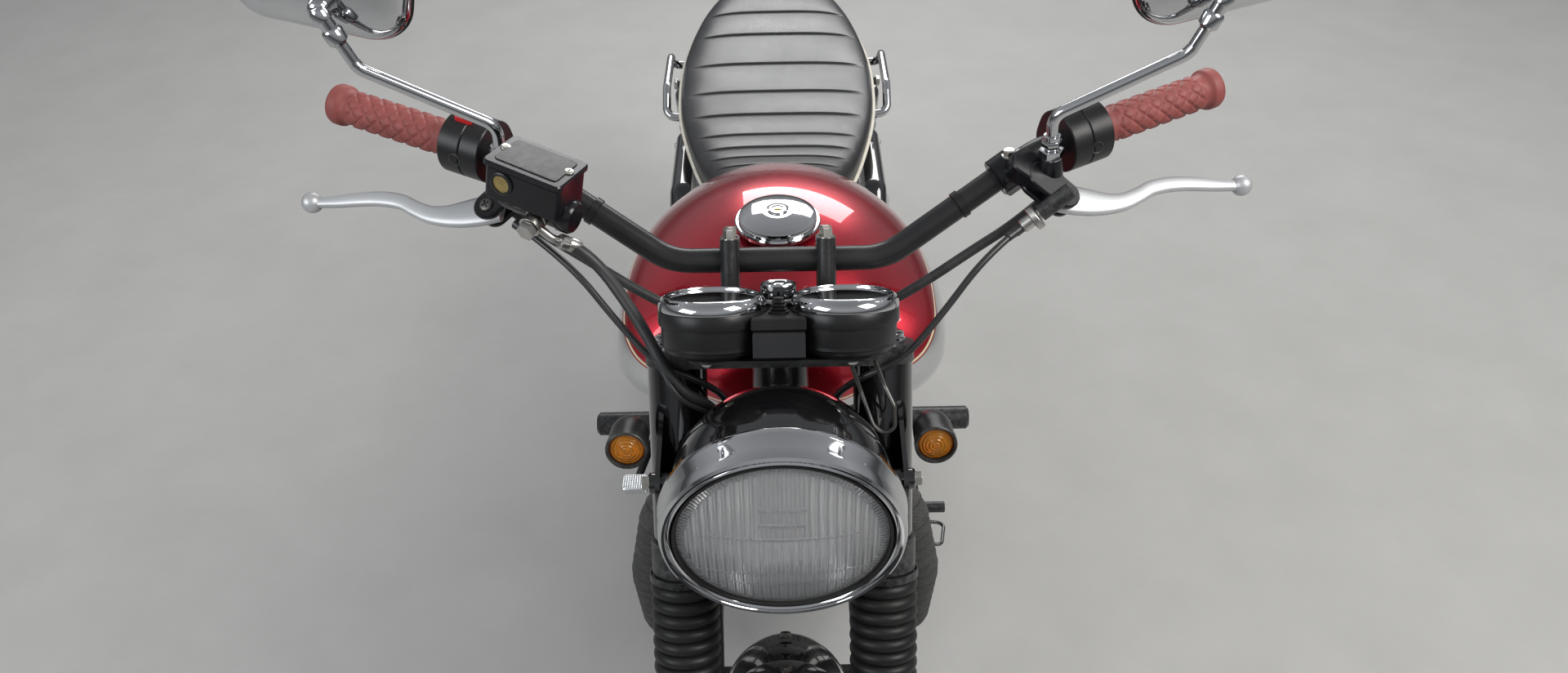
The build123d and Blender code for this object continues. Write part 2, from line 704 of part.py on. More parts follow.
EAR_T = 4.0
EAR_X = LAMP_SHELL_R + 5
LAMP_BOLT_DEPTH = 62.0
lamp_bolt = LAMP.from_local_coords(Vector(0, 0, LAMP_BOLT_DEPTH))
bolt = FORK.to_local_coords(lamp_bolt)
with BuildPart() as fork_covers:
    with BuildSketch(FORK.offset(LOWER_YOKE + LOWER_YOKE_T + FIT)):
        with Locations((FORK_HALF_W, 0)):
            Circle(COVER_R)
    extrude(amount=UPPER_YOKE - LOWER_YOKE - LOWER_YOKE_T - 2 * FIT)
    with BuildSketch(Plane(origin=fork(EAR_X, 0, 0), x_dir=FORK.y_dir, z_dir=(1, 0, 0))):
        with Locations((bolt.Y, bolt.Z)):
            Circle(19)
        with Locations((-12, bolt.Z + 12)):
            Rectangle(4, 92)
        make_hull()
    extrude(amount=EAR_T)
    with BuildSketch(across(lamp_bolt.Y, lamp_bolt.Z, LAMP_SHELL_R - 8)):
        Circle(9)
    extrude(amount=EAR_X + EAR_T + 6 - LAMP_SHELL_R + 8)
    mirror(about=Plane.YZ)
    with BuildSketch(FORK.offset(LOWER_YOKE)):
        with Locations((-FORK_HALF_W, 0), (FORK_HALF_W, 0)):
            Circle(FORK_TUBE_R + 0.4)
    extrude(amount=UPPER_YOKE, mode=Mode.SUBTRACT)
    with BuildSketch(LAMP):
        Circle(LAMP_SHELL_R + FIT)
    extrude(amount=bowl_depth, mode=Mode.SUBTRACT)
    with Locations(LAMP.from_local_coords(Vector(0, 0, bowl_depth))):
        Sphere(LAMP_SHELL_R + FIT, mode=Mode.SUBTRACT)
save(fork_covers.part, "fork_covers")

CALIPER_SLOT = 3.5
with BuildPart() as brake_caliper:
    with BuildSketch(FORK.offset(CALIPER_FOOT)):
        with Locations((CALIPER_LUG_X + CALIPER_LUG_T + FIT, CALIPER_BACK)):
            Rectangle(
                CALIPER_INNER_X - CALIPER_LUG_X - CALIPER_LUG_T - FIT, 62, align=(Align.MIN, Align.CENTER)
            )
    extrude(amount=CALIPER_H)
    with BuildSketch(across(FRONT_AXLE_Y, FRONT_AXLE_Z, DISC_X - DISC_T - CALIPER_SLOT)):
        Circle(DISC_R + 5)
    extrude(amount=DISC_T + 2 * CALIPER_SLOT, mode=Mode.SUBTRACT)
    fillet(brake_caliper.edges().filter_by(Axis.X).group_by(Axis.Y)[-1], 10)
save(brake_caliper.part, "brake_caliper")

with BuildPart() as front_fender:
    add(mudguard(FRONT_AXLE_Y, FRONT_AXLE_Z, FRONT_GUARD_R, FRONT_GUARD_HALF_W, -50, 82))
    for side in (-1, 1):
        with BuildSketch(FORK.offset(GUARD_LUG)):
            with Locations((side * (FRONT_GUARD_HALF_W - GUARD_WALL / 2 + GUARD_TAB / 2), 0)):
                Rectangle(GUARD_WALL + GUARD_TAB, 20)
        extrude(amount=FRONT_GUARD_R - GUARD_CROWN * FRONT_GUARD_HALF_W + 8 - GUARD_LUG)
save(front_fender.part, "front_fender")

# Instruments
CLOCK_BACK = -52.0
CLOCK_FOOT = UPPER_YOKE + UPPER_YOKE_T + 3
BRACKET_T = 3.0
with BuildPart() as instrument_cups:
    with BuildSketch(FORK.offset(CLOCK_FOOT)):
        with Locations((-CLOCK_HALF_GAP, CLOCK_BACK), (CLOCK_HALF_GAP, CLOCK_BACK)):
            Circle(CLOCK_R - 2)
    extrude(amount=CLOCK_DEPTH - BEZEL_H - FIT)
    chamfer(instrument_cups.faces().group_by(Axis(FORK.origin, FORK.z_dir))[0].edges(), 8)
    # The ignition switch between them, and the bracket below
    with BuildSketch(FORK.offset(CLOCK_FOOT - 1)):
        with Locations((0, CLOCK_BACK + 25)):
            Circle(14)
    extrude(amount=CLOCK_DEPTH - 7)
    with BuildSketch(FORK.offset(CLOCK_FOOT - BRACKET_T + FIT)):
        with Locations((0, -42)):
            RectangleRounded(150, 84, 20)
        with Locations((-FORK_HALF_W, 0), (FORK_HALF_W, 0)):
            Circle(FORK_TUBE_R + 1, mode=Mode.SUBTRACT)
    extrude(amount=BRACKET_T - FIT)
save(instrument_cups.part, "instrument_cups")

with BuildPart() as instrument_bezels:
    with BuildSketch(FORK.offset(CLOCK_FOOT + CLOCK_DEPTH - BEZEL_H)):
        with Locations((-CLOCK_HALF_GAP, CLOCK_BACK), (CLOCK_HALF_GAP, CLOCK_BACK)):
            Circle(CLOCK_R)
    extrude(amount=BEZEL_H)
    with BuildSketch(FORK.offset(CLOCK_FOOT + CLOCK_DEPTH - 9)):
        with Locations((-CLOCK_HALF_GAP, CLOCK_BACK), (CLOCK_HALF_GAP, CLOCK_BACK)):
            Circle(CLOCK_R - 5)
    extrude(amount=9, mode=Mode.SUBTRACT)
    chamfer(instrument_bezels.edges().group_by(Axis(FORK.origin, FORK.z_dir))[-1], 1.5)
save(instrument_bezels.part, "instrument_bezels")

with BuildPart() as instrument_glasses:
    with BuildSketch(FORK.offset(CLOCK_FOOT + CLOCK_DEPTH - 6)):
        with Locations((-CLOCK_HALF_GAP, CLOCK_BACK), (CLOCK_HALF_GAP, CLOCK_BACK)):
            Circle(CLOCK_R - 5 - FIT)
    extrude(amount=2.5)
save(instrument_glasses.part, "instrument_glasses")

# Handlebar and its controls
with BuildPart() as handlebar:
    add(rod(BAR_POINTS, BAR_R, BAR_BENDS, bore=BAR_R - 2.5))
save(handlebar.part, "handlebar")

with BuildPart() as grips:
    with BuildSketch(bar_plane(GRIP_L)):
        Circle(GRIP_R)
    extrude(amount=GRIP_L + 6)
    for inboard, thick in ((GRIP_L, 6), (4, 10)):
        with BuildSketch(bar_plane(inboard)):
            Circle(GRIP_FLANGE_R)
        extrude(amount=thick)
    with BuildSketch(bar_plane(GRIP_L + 1)):
        Circle(BAR_R + FIT)
    extrude(amount=GRIP_L + 1 + FIT, mode=Mode.SUBTRACT)
    mirror(about=Plane.YZ)
save(grips.part, "grips")

SWITCH_START = GRIP_L + 2
with BuildPart() as switch_housings:
    with BuildSketch(bar_plane(SWITCH_START + SWITCH_L)):
        Circle(SWITCH_R)
        with Locations((SWITCH_DROP, -SWITCH_DROP)):
            Circle(SWITCH_LOW_R)
        make_hull()
        Circle(BAR_R + SHAFT_FIT, mode=Mode.SUBTRACT)
    extrude(amount=SWITCH_L)
    fillet(switch_housings.faces().filter_by(Plane(origin=(0, 0, 0), z_dir=BAR_OUTWARD)).edges(), 2)
    mirror(about=Plane.YZ)
save(switch_housings.part, "switch_housings")

bend_point = Vector(*BAR_POINTS[-2])
run_in = (bend_point - Vector(*BAR_POINTS[-3])).normalized()
clamp = bend_point - run_in * 32
LEVER_PIVOT = bend_point + Vector(18, -44, -22)
LEVER_TIP = LEVER_PIVOT + Vector(175, 49, -20)
lever_along = (LEVER_TIP - LEVER_PIVOT).normalized()
grip_mid = on_bar(GRIP_L / 2)
LEVER = Plane(
    origin=LEVER_PIVOT,
    x_dir=lever_along,
    z_dir=lever_along.cross(grip_mid - (LEVER_PIVOT + LEVER_TIP) / 2),
)
bar_up = (Vector(0, 0, 1) - BAR_OUTWARD * BAR_OUTWARD.Z).normalized()
mirror_seat = clamp + (LEVER_PIVOT - clamp) * 0.62
hose_start = RESERVOIR.from_local_coords(Vector(*HOSE_AT))
hose_out = (hose_start - RESERVOIR.from_local_coords(Vector(*UNION_AT))).normalized()
with BuildPart() as lever_perches:
    add(bar_of(clamp - run_in * 9, clamp + run_in * 9, 18))
    add(bar_of(clamp, LEVER_PIVOT, 10))
    with BuildSketch(LEVER.offset(-12)):
        Circle(12)
    extrude(amount=24)
    with BuildSketch(LEVER.offset(-LEVER_T / 2 - FIT)):
        Circle(40)
    extrude(amount=LEVER_T + 2 * FIT, mode=Mode.SUBTRACT)
    with BuildSketch(LEVER.offset(-12)):
        Circle(3.5)
    extrude(amount=24)
    add(bar_of(clamp, clamp + (LEVER_PIVOT - clamp) * 0.45, 11))
    add(bar_of(mirror_seat, mirror_seat + bar_up * (MIRROR_BOSS_H - FIT), 10))
    mirror(about=Plane.YZ)
    # The master cylinder and its reservoir, on the right perch
    with BuildSketch(RESERVOIR.offset(-RESERVOIR_H)):
        RectangleRounded(RESERVOIR_L, RESERVOIR_W, 5)
    extrude(amount=RESERVOIR_H)
    with BuildSketch(RESERVOIR.offset(-6)):
        RectangleRounded(RESERVOIR_L + 4, RESERVOIR_W + 4, 6)
    extrude(amount=6)
    body_start = RESERVOIR.from_local_coords(Vector(38, 0, -RESERVOIR_H - 12))
    body_end = RESERVOIR.from_local_coords(Vector(-20, 0, -RESERVOIR_H - 12))
    right_arm = clamp + (LEVER_PIVOT - clamp) * 0.4
    add(bar_of(body_start, body_end, 14))
    add(bar_of(body_end, (-right_arm.X, right_arm.Y, right_arm.Z), 9))
    add(bar_of(RESERVOIR.from_local_coords(Vector(*UNION_AT)), hose_start, 6.5))
    add(bar_space, mode=Mode.SUBTRACT)
save(lever_perches.part, "lever_perches")

with BuildPart() as hand_levers:
    length = (LEVER_TIP - LEVER_PIVOT).length
    with BuildSketch(LEVER.offset(-LEVER_T / 2)):
        Circle(10)
        with BuildLine():
            Polyline((-2, -9), (60, -11), (length, -5), (length, 5), (60, 4), (0, 10), (-2, -9))
        make_face()
        Circle(3.8, mode=Mode.SUBTRACT)
    extrude(amount=LEVER_T)
    with Locations(LEVER_TIP):
        Sphere(8.5)
    mirror(about=Plane.YZ)
save(hand_levers.part, "hand_levers")

# Mirrors
mirror_foot = mirror_seat + bar_up * MIRROR_BOSS_H
MIRROR_MID = Vector(352, BAR_Y + 37.6, BAR_Z + 255)
with BuildPart() as mirrors:
    with BuildSketch(
        Plane(
            origin=MIRROR_MID,
            x_dir=(cos(radians(MIRROR_TILT)), 0, sin(radians(MIRROR_TILT))),
            z_dir=(0, -1, 0),
        )
    ):
        RectangleRounded(MIRROR_W, MIRROR_H, 32)
    extrude(amount=MIRROR_T)
    chamfer(mirrors.faces().sort_by(Axis.Y)[0].edges(), 8)
    stem_end = MIRROR_MID + Vector(0, -MIRROR_T + 2, -20)
    add(
        rod(
            [
                mirror_foot,
                mirror_foot + bar_up * 26,
                MIRROR_MID + Vector(-20, -29, -68),
                stem_end + Vector(0, -16, 0),
                stem_end,
            ],
            MIRROR_STEM_R,
            [16, 20, 6],
        )
    )
    add(bar_of(mirror_foot, mirror_foot + bar_up * 16, 9))
    mirror(about=Plane.YZ)
save(mirrors.part, "mirrors")

# Cables and hoses that the steering holds all the way, each a tube along its real route
clutch_start = Vector(222, BAR_Y - 11, BAR_Z + 48)
behind_lamp = [
    Vector(104, BAR_Y - 99, LAMP_Z + 80),
    Vector(66, BAR_Y - 99, LAMP_Z + 60),
    between_yokes(46, 0.6, 0.791),
    between_yokes(40, 21.5, 0.537),
    fork(38, 21.9, LOWER_YOKE + LOWER_YOKE_T + CORD_RUN + 17.3),
    fork(38, 12, LOWER_YOKE + LOWER_YOKE_T + CORD_RUN),
    fork(38, 12, LOWER_YOKE + LOWER_YOKE_T + FIT),
]
with BuildPart() as control_cables:
    cable = [
        clutch_start,
        Vector(178, BAR_Y - 42, BAR_Z + 32),
        Vector(136, BAR_Y - 74, BAR_Z - 12),
        *behind_lamp,
    ]
    add(rod(cable, CABLE_R, CABLE_BENDS))
    mirror(about=Plane.YZ)
    harness = [
        on_bar(SWITCH_START + SWITCH_L) + Vector(-2, -26, -34),
        Vector(212, BAR_Y + 12, BAR_Z + 27),
        Vector(172, BAR_Y - 4, BAR_Z + 9),
        Vector(134, BAR_Y - 17, BAR_Z - 12),
        Vector(100, BAR_Y - 23, BAR_Z - 32),
        fork(72, 34, UPPER_YOKE + UPPER_YOKE_T + CORD_RUN),
        fork(72, 34, UPPER_YOKE + UPPER_YOKE_T + FIT),
    ]
    loom = rod(harness, HARNESS_R, [45, 45, 45, 45, 12])
    add(loom)
    add(loom.mirror(Plane.YZ))
save(control_cables.part, "control_cables")

with BuildPart() as brake_hose:
    add(
        rod(
            [
                hose_start + hose_out * FIT,
                hose_start + hose_out * 12,
                Vector(-116, BAR_Y - 82, BAR_Z - 4),
                Vector(-88, BAR_Y - 122, LAMP_Z + 72),
                between_yokes(-60, -24.4, 0.796),
                between_yokes(-54, 6.2, 0.642),
                between_yokes(-55, 19.8, 0.448),
                fork(-56, 14.8, LOWER_YOKE + LOWER_YOKE_T + CORD_RUN + 9.2),
                fork(-56, 1, LOWER_YOKE + LOWER_YOKE_T + CORD_RUN),
                fork(-56, 1, LOWER_YOKE + LOWER_YOKE_T + FIT),
            ],
            HOSE_R,
            [12, 60, 40, 30, 25, 16, 14, 10],
        )
    )
    # The lower hose, from the yoke to the caliper behind the right leg
    add(
        rod(
            [
                fork(-64, 34, LOWER_YOKE - FIT),
                fork(-64, 34, LOWER_YOKE - CORD_RUN),
                fork(-64, 46, LOWER_YOKE - 60),
                fork(-66, 62, 300),
                fork(-64, 66, 220),
                fork(-60, CALIPER_BACK, CALIPER_FOOT + CALIPER_H + CORD_RUN),
                fork(-60, CALIPER_BACK, CALIPER_FOOT + CALIPER_H + FIT),
            ],
            HOSE_R,
            [30, 60, 60, 60, 30],
        )
    )
save(brake_hose.part, "brake_hose")

# Front indicators, on stalks from the fork covers' ears
with BuildPart() as front_indicators:
    middle = Vector(INDICATOR_X, INDICATOR_Y, INDICATOR_Z)
    facing = Vector(0, -cos(radians(INDICATOR_TILT)), sin(radians(INDICATOR_TILT)))
    add(bar_of(middle + facing * 22, middle - facing * 19, INDICATOR_R))
    chamfer(front_indicators.edges().group_by(Axis.Y)[-1], 6)
    add(bar_of((EAR_X + EAR_T + FIT, INDICATOR_Y, INDICATOR_Z), middle - Vector(10, 0, 0), STALK_R))
    mirror(about=Plane.YZ)
save(front_indicators.part, "front_indicators")

# Frame
head_low = fork(0, FORK_OFFSET, LOWER_YOKE + LOWER_YOKE_T + YOKE_GAP)
head_high = fork(0, FORK_OFFSET, UPPER_YOKE - YOKE_GAP)
stem_bore = bar_of(
    fork(0, FORK_OFFSET, LOWER_YOKE), fork(0, FORK_OFFSET, UPPER_YOKE + 40), STEM_R + SHAFT_FIT
)
down_start = fork(0, FORK_OFFSET + 22, LOWER_YOKE + LOWER_YOKE_T + 31)
BACKBONE_START = fork(0, FORK_OFFSET, UPPER_YOKE - BACKBONE_BELOW_YOKE)
BACKBONE_FOOT = Vector(0, BACKBONE_END_Y, SEAT_RAIL_Z - 17)
with BuildPart() as main_frame:
    add(bar_of(head_low, head_high, HEAD_TUBE_R))
    add(bar_of(BACKBONE_START, BACKBONE_FOOT, BACKBONE_R))
    add(
        rod(
            [
                (14, down_start.Y, down_start.Z),
                (CRADLE_HALF_W - 8, CRADLE_FRONT_Y - 4, 470),
                (CRADLE_HALF_W, CRADLE_FRONT_Y, CRADLE_Z),
                (CRADLE_HALF_W, UPRIGHT_Y, CRADLE_Z),
                (CRADLE_HALF_W, UPRIGHT_Y, 600),
                (SEAT_RAIL_HALF_W, UPRIGHT_Y + 14, SEAT_RAIL_Z),
            ],
            TUBE_R,
            [90, 60, 60, 90],
        )
    )
    add(
        rod(
            [
                (0, BACKBONE_END_Y, SEAT_RAIL_Z),
                (SEAT_RAIL_HALF_W, BACKBONE_END_Y, SEAT_RAIL_Z),
                (SEAT_RAIL_HALF_W, SEAT_RAIL_END_Y, SEAT_RAIL_Z),
                (0, SEAT_RAIL_END_Y, SEAT_RAIL_Z),
            ],
            RAIL_R,
            [30, 60],
        )
    )
    # Swingarm pivot plate and its weld to the upright
    with BuildSketch(across(0, 0, PIVOT_PLATE_X)):
        with Locations((PIVOT_Y - 20, PIVOT_Z)):
            RectangleRounded(92, 96, 16)
    extrude(amount=PIVOT_PLATE_T)
    with BuildSketch(across(0, 0, CRADLE_HALF_W)):
        with Locations((UPRIGHT_Y, PIVOT_Z)):
            Rectangle(22, 70)
    extrude(amount=PIVOT_PLATE_X - CRADLE_HALF_W + 1)
    # Centre stand's lug under the cradle, and the shock absorber's stud under the seat rail
    with BuildSketch(across(STAND_PIVOT_Y, STAND_PIVOT_Z, STAND_LUG_X)):
        Circle(14)
        with Locations((0, 0)):
            Rectangle(28, CRADLE_Z - STAND_PIVOT_Z + 12, align=(Align.CENTER, Align.MIN))
    extrude(amount=STAND_LUG_T)
    with BuildSketch(across(SHOCK_TOP_Y, SHOCK_TOP_Z, SEAT_RAIL_HALF_W - 6)):
        Circle(15)
        Rectangle(30, SEAT_RAIL_Z - SHOCK_TOP_Z, align=(Align.CENTER, Align.MIN))
    extrude(amount=12)
    stud_end = (SHOCK_X + 20, SHOCK_TOP_Y, SHOCK_TOP_Z)
    add(bar_of((SEAT_RAIL_HALF_W, SHOCK_TOP_Y, SHOCK_TOP_Z), stud_end, SHOCK_STUD_R))
    mirror(about=Plane.YZ)
    # Cross tubes
    for y, z in ((CRADLE_FRONT_Y + 34, CRADLE_Z), (UPRIGHT_Y - 6, CRADLE_Z), (UPRIGHT_Y, CROSS_TUBE_Z)):
        add(bar_of((-CRADLE_HALF_W, y, z), (CRADLE_HALF_W, y, z), 11))
    add(stem_bore, mode=Mode.SUBTRACT)
    with BuildSketch(across(0, 0, -PIVOT_PLATE_X - 20)):
        with Locations((PIVOT_Y, PIVOT_Z)):
            Circle(PIVOT_BOLT_R + SHAFT_FIT)
    extrude(amount=2 * PIVOT_PLATE_X + 40, mode=Mode.SUBTRACT)
    with BuildSketch(across(STAND_PIVOT_Y, STAND_PIVOT_Z, -STAND_LUG_X - 30)):
        Circle(STAND_BOLT_R + SHAFT_FIT)
    extrude(amount=2 * STAND_LUG_X + 60, mode=Mode.SUBTRACT)
    # Side stand's lug, low on the left cradle tube
    add(bar_of(SIDE_PIVOT + SIDE_AXIS * 6, SIDE_PIVOT + SIDE_AXIS * 18, 14))
    add(bar_of(SIDE_PIVOT + SIDE_AXIS * 15, (CRADLE_HALF_W, SIDE_PIVOT.Y + 2, CRADLE_Z), 8))
    add(bar_of(SIDE_PIVOT + SIDE_AXIS * 6, SIDE_PIVOT - SIDE_AXIS * 5.7, SIDE_BOLT_R))
    add(bar_of(SIDE_PIVOT - SIDE_AXIS * 5.7, SIDE_PIVOT - SIDE_AXIS * 11, 9))
save(main_frame.part, "main_frame")

with BuildPart() as swingarm:
    with BuildSketch(across(0, 0, ARM_HALF_GAP)):
        with Locations((PIVOT_Y, PIVOT_Z)):
            Circle(22)
        with Locations((REAR_AXLE_Y + 12, REAR_AXLE_Z)):
            Circle(24)
        make_hull()
    extrude(amount=ARM_W)
    with BuildSketch(across(SHOCK_FOOT_Y, SHOCK_FOOT_Z, ARM_HALF_GAP + 4)):
        Circle(14)
        Rectangle(28, 20, align=(Align.CENTER, Align.MAX))
    extrude(amount=ARM_W - 8)
    add(
        bar_of(
            (ARM_HALF_GAP + ARM_W / 2, SHOCK_FOOT_Y, SHOCK_FOOT_Z),
            (SHOCK_X + 20, SHOCK_FOOT_Y, SHOCK_FOOT_Z),
            SHOCK_STUD_R,
        )
    )
    mirror(about=Plane.YZ)
    for y, radius in ((PIVOT_Y, PIVOT_R), (PIVOT_Y + 75, 17)):
        add(bar_of((-ARM_HALF_GAP - 1, y, PIVOT_Z), (ARM_HALF_GAP + 1, y, PIVOT_Z), radius))
    add(bar_of((-PIVOT_PLATE_X - 16, PIVOT_Y, PIVOT_Z), (PIVOT_PLATE_X + 16, PIVOT_Y, PIVOT_Z), PIVOT_BOLT_R))
    # Chain guard
    with BuildSketch(across(0, 0, SPROCKET_X + SPROCKET_T / 2 - 13)):
        with BuildLine():
            Polyline(
                (250, 424), (REAR_AXLE_Y + 10, 462), (REAR_AXLE_Y + 60, 448), (REAR_AXLE_Y + 60, 444),
                (REAR_AXLE_Y + 10, 458), (250, 420), (250, 424),
            )
        make_face()
    extrude(amount=26)
    with BuildSketch(across(0, 0, SPROCKET_X + SPROCKET_T / 2 + 10)):
        with BuildLine():
            Polyline((250, 424), (REAR_AXLE_Y - 4, 461), (REAR_AXLE_Y - 4, 420), (250, 396), (250, 424))
        make_face()
    extrude(amount=3)
    with BuildSketch(across(0, 0, SPROCKET_X + SPROCKET_T / 2 + 10)):
        with Locations((430, 389)):
            Rectangle(24, 42)
    extrude(amount=5)
    with BuildSketch(Plane.XY.offset(PIVOT_Z + 18)):
        with Locations((SPROCKET_X + SPROCKET_T / 2 + 10, 430)):
            Rectangle(26, 24, align=(Align.MIN, Align.CENTER))
    extrude(amount=5)
    with BuildSketch(across(REAR_AXLE_Y, REAR_AXLE_Z, -ARM_HALF_GAP - 40)):
        Circle(AXLE_R + SHAFT_FIT)
    extrude(amount=2 * ARM_HALF_GAP + 80, mode=Mode.SUBTRACT)
save(swingarm.part, "swingarm")

with BuildPart() as rear_axle:
    reach = ARM_HALF_GAP + ARM_W + 12
    add(bar_of((-reach, REAR_AXLE_Y, REAR_AXLE_Z), (reach, REAR_AXLE_Y, REAR_AXLE_Z), AXLE_R))
    for start, end in ((76.3, ARM_HALF_GAP - FIT), (FIT - ARM_HALF_GAP, BRAKE_PLATE_X - BRAKE_PLATE_T - FIT)):
        add(bar_of((start, REAR_AXLE_Y, REAR_AXLE_Z), (end, REAR_AXLE_Y, REAR_AXLE_Z), AXLE_R * 1.6))
    for start in (ARM_HALF_GAP + ARM_W + FIT, -ARM_HALF_GAP - ARM_W - 8):
        with BuildSketch(across(REAR_AXLE_Y, REAR_AXLE_Z, start)):
            RegularPolygon(14, 6)
        extrude(amount=8 - FIT)
save(rear_axle.part, "rear_axle")

with BuildPart() as rear_brake_plate:
    with BuildSketch(across(REAR_AXLE_Y, REAR_AXLE_Z, BRAKE_PLATE_X - BRAKE_PLATE_T)):
        Circle(88)
        Circle(AXLE_R + SHAFT_FIT, mode=Mode.SUBTRACT)
    extrude(amount=BRAKE_PLATE_T)
    fillet(rear_brake_plate.edges().group_by(Axis.X)[0].sort_by(SortBy.LENGTH)[-1], 6)
    # Torque arm forward to a lug on the swingarm
    arm_x = 8 - ARM_HALF_GAP
    arm_rear = (REAR_AXLE_Y - 60, REAR_AXLE_Z - 38)
    arm_front = (REAR_AXLE_Y - 250, REAR_AXLE_Z - 12)
    add(bar_of((BRAKE_PLATE_X - 6, *arm_rear), (arm_x, *arm_rear), 7))
    add(bar_of((arm_x, *arm_rear), (arm_x, *arm_front), 6))
    add(bar_of((arm_x, *arm_front), (FIT - ARM_HALF_GAP, *arm_front), 8))
save(rear_brake_plate.part, "rear_brake_plate")

with BuildPart() as rear_shocks:
    top = Vector(SHOCK_X, SHOCK_TOP_Y, SHOCK_TOP_Z)
    foot = Vector(SHOCK_X, SHOCK_FOOT_Y, SHOCK_FOOT_Z)
    along = (foot - top).normalized()
    length = (foot - top).length
    coil_start, coil_end = 62, length - 72
    turns = 10
    pitch = (coil_end - coil_start) / turns
    groove = SHOCK_SPRING_R - 9
    with BuildSketch(Plane(top, x_dir=(1, 0, 0), z_dir=along.cross(Vector(1, 0, 0)) * -1)):
        with BuildLine():
            Polyline((0, 12), (14, 12), (14, 22), (24, 22), (24, coil_start), (groove, coil_start))
            for i in range(turns):
                ThreePointArc(
                    (groove, coil_start + i * pitch),
                    (SHOCK_SPRING_R, coil_start + (i + 0.5) * pitch),
                    (groove, coil_start + (i + 1) * pitch),
                )
            Polyline(
                (groove, coil_end), (21, coil_end), (21, length - 24), (14, length - 24), (14, length - 12),
                (0, length - 12), (0, 12),
            )
        make_face()
    revolve(axis=Axis(top, along))
    for eye in (top, foot):
        half = Vector(SHOCK_EYE_HALF, 0, 0)
        add(bar_of(eye - half, eye + half, SHOCK_EYE_R))
        add(bar_of(eye - 2 * half, eye + 2 * half, SHOCK_STUD_R + SHAFT_FIT), mode=Mode.SUBTRACT)
    mirror(about=Plane.YZ)
save(rear_shocks.part, "rear_shocks")

# Stands
with BuildPart() as centre_stand:
    add(bar_of((0, STAND_PIVOT_Y, STAND_PIVOT_Z), (STAND_LUG_X - 1, STAND_PIVOT_Y, STAND_PIVOT_Z), STAND_R))
    add(
        rod(
            [
                (STAND_LUG_X - 16, STAND_PIVOT_Y, STAND_PIVOT_Z),
                (STAND_LUG_X - 14, STAND_PIVOT_Y - 4, STAND_PIVOT_Z - 40),
                (STAND_FOOT_HALF_W, STAND_FOOT_Y, 8),
            ],
            STAND_R - 1,
            [40],
        )
    )
    with BuildSketch(Plane.XY):
        with Locations((STAND_FOOT_HALF_W - 2, STAND_FOOT_Y + 4)):
            RectangleRounded(34, 60, 8)
    extrude(amount=8)
    mirror(about=Plane.YZ)
    add(
        bar_of(
            (-STAND_LUG_X - STAND_LUG_T - 6, STAND_PIVOT_Y, STAND_PIVOT_Z),
            (STAND_LUG_X + STAND_LUG_T + 6, STAND_PIVOT_Y, STAND_PIVOT_Z),
            STAND_BOLT_R,
        )
    )
    split(bisect_by=Plane.XY, keep=Keep.TOP)
save(centre_stand.part, "centre_stand")

with BuildPart() as side_stand:
    with BuildSketch(Plane(SIDE_PIVOT - SIDE_AXIS * 5, x_dir=SIDE_STOWED, z_dir=SIDE_AXIS)):
        with Locations((20, 0)):
            SlotCenterToCenter(2 * 20, 2 * 14)
    extrude(amount=10)
    add(bar_of(SIDE_PIVOT + SIDE_STOWED * 28, SIDE_PIVOT + SIDE_STOWED * SIDE_LENGTH, 9))
    side_bore = bar_of(SIDE_PIVOT - SIDE_AXIS * 30, SIDE_PIVOT + SIDE_AXIS * 30, SIDE_BOLT_R + SHAFT_FIT)
    add(side_bore, mode=Mode.SUBTRACT)
    toe = SIDE_PIVOT + SIDE_STOWED * (SIDE_LENGTH - 10)
    heel = SIDE_PIVOT + SIDE_STOWED * (SIDE_LENGTH - 60)
    add(rod([heel, heel + Vector(82, 0, -12), toe + Vector(82, 0, -12), toe], 2.8, [10, 10]))
    foot_plane = Plane(SIDE_PIVOT + SIDE_STOWED * (SIDE_LENGTH - 3), x_dir=SIDE_AXIS, z_dir=SIDE_STOWED)
    with BuildSketch(foot_plane):
        RectangleRounded(26, 44, 8)
    extrude(amount=5)
save(side_stand.part, "side_stand")


# Engine
def engine_fins(first_z, count, half_w, half_l):
    """A stack of cooling fins round the barrels."""
    with BuildPart() as fins:
        for i in range(count):
            with BuildSketch(Plane.XY.offset(first_z + i * FIN_PITCH)):
                with Locations((0, BARREL_Y)):
                    RectangleRounded(2 * half_w, 2 * half_l, 22)
            extrude(amount=FIN_T)
    return fins.part


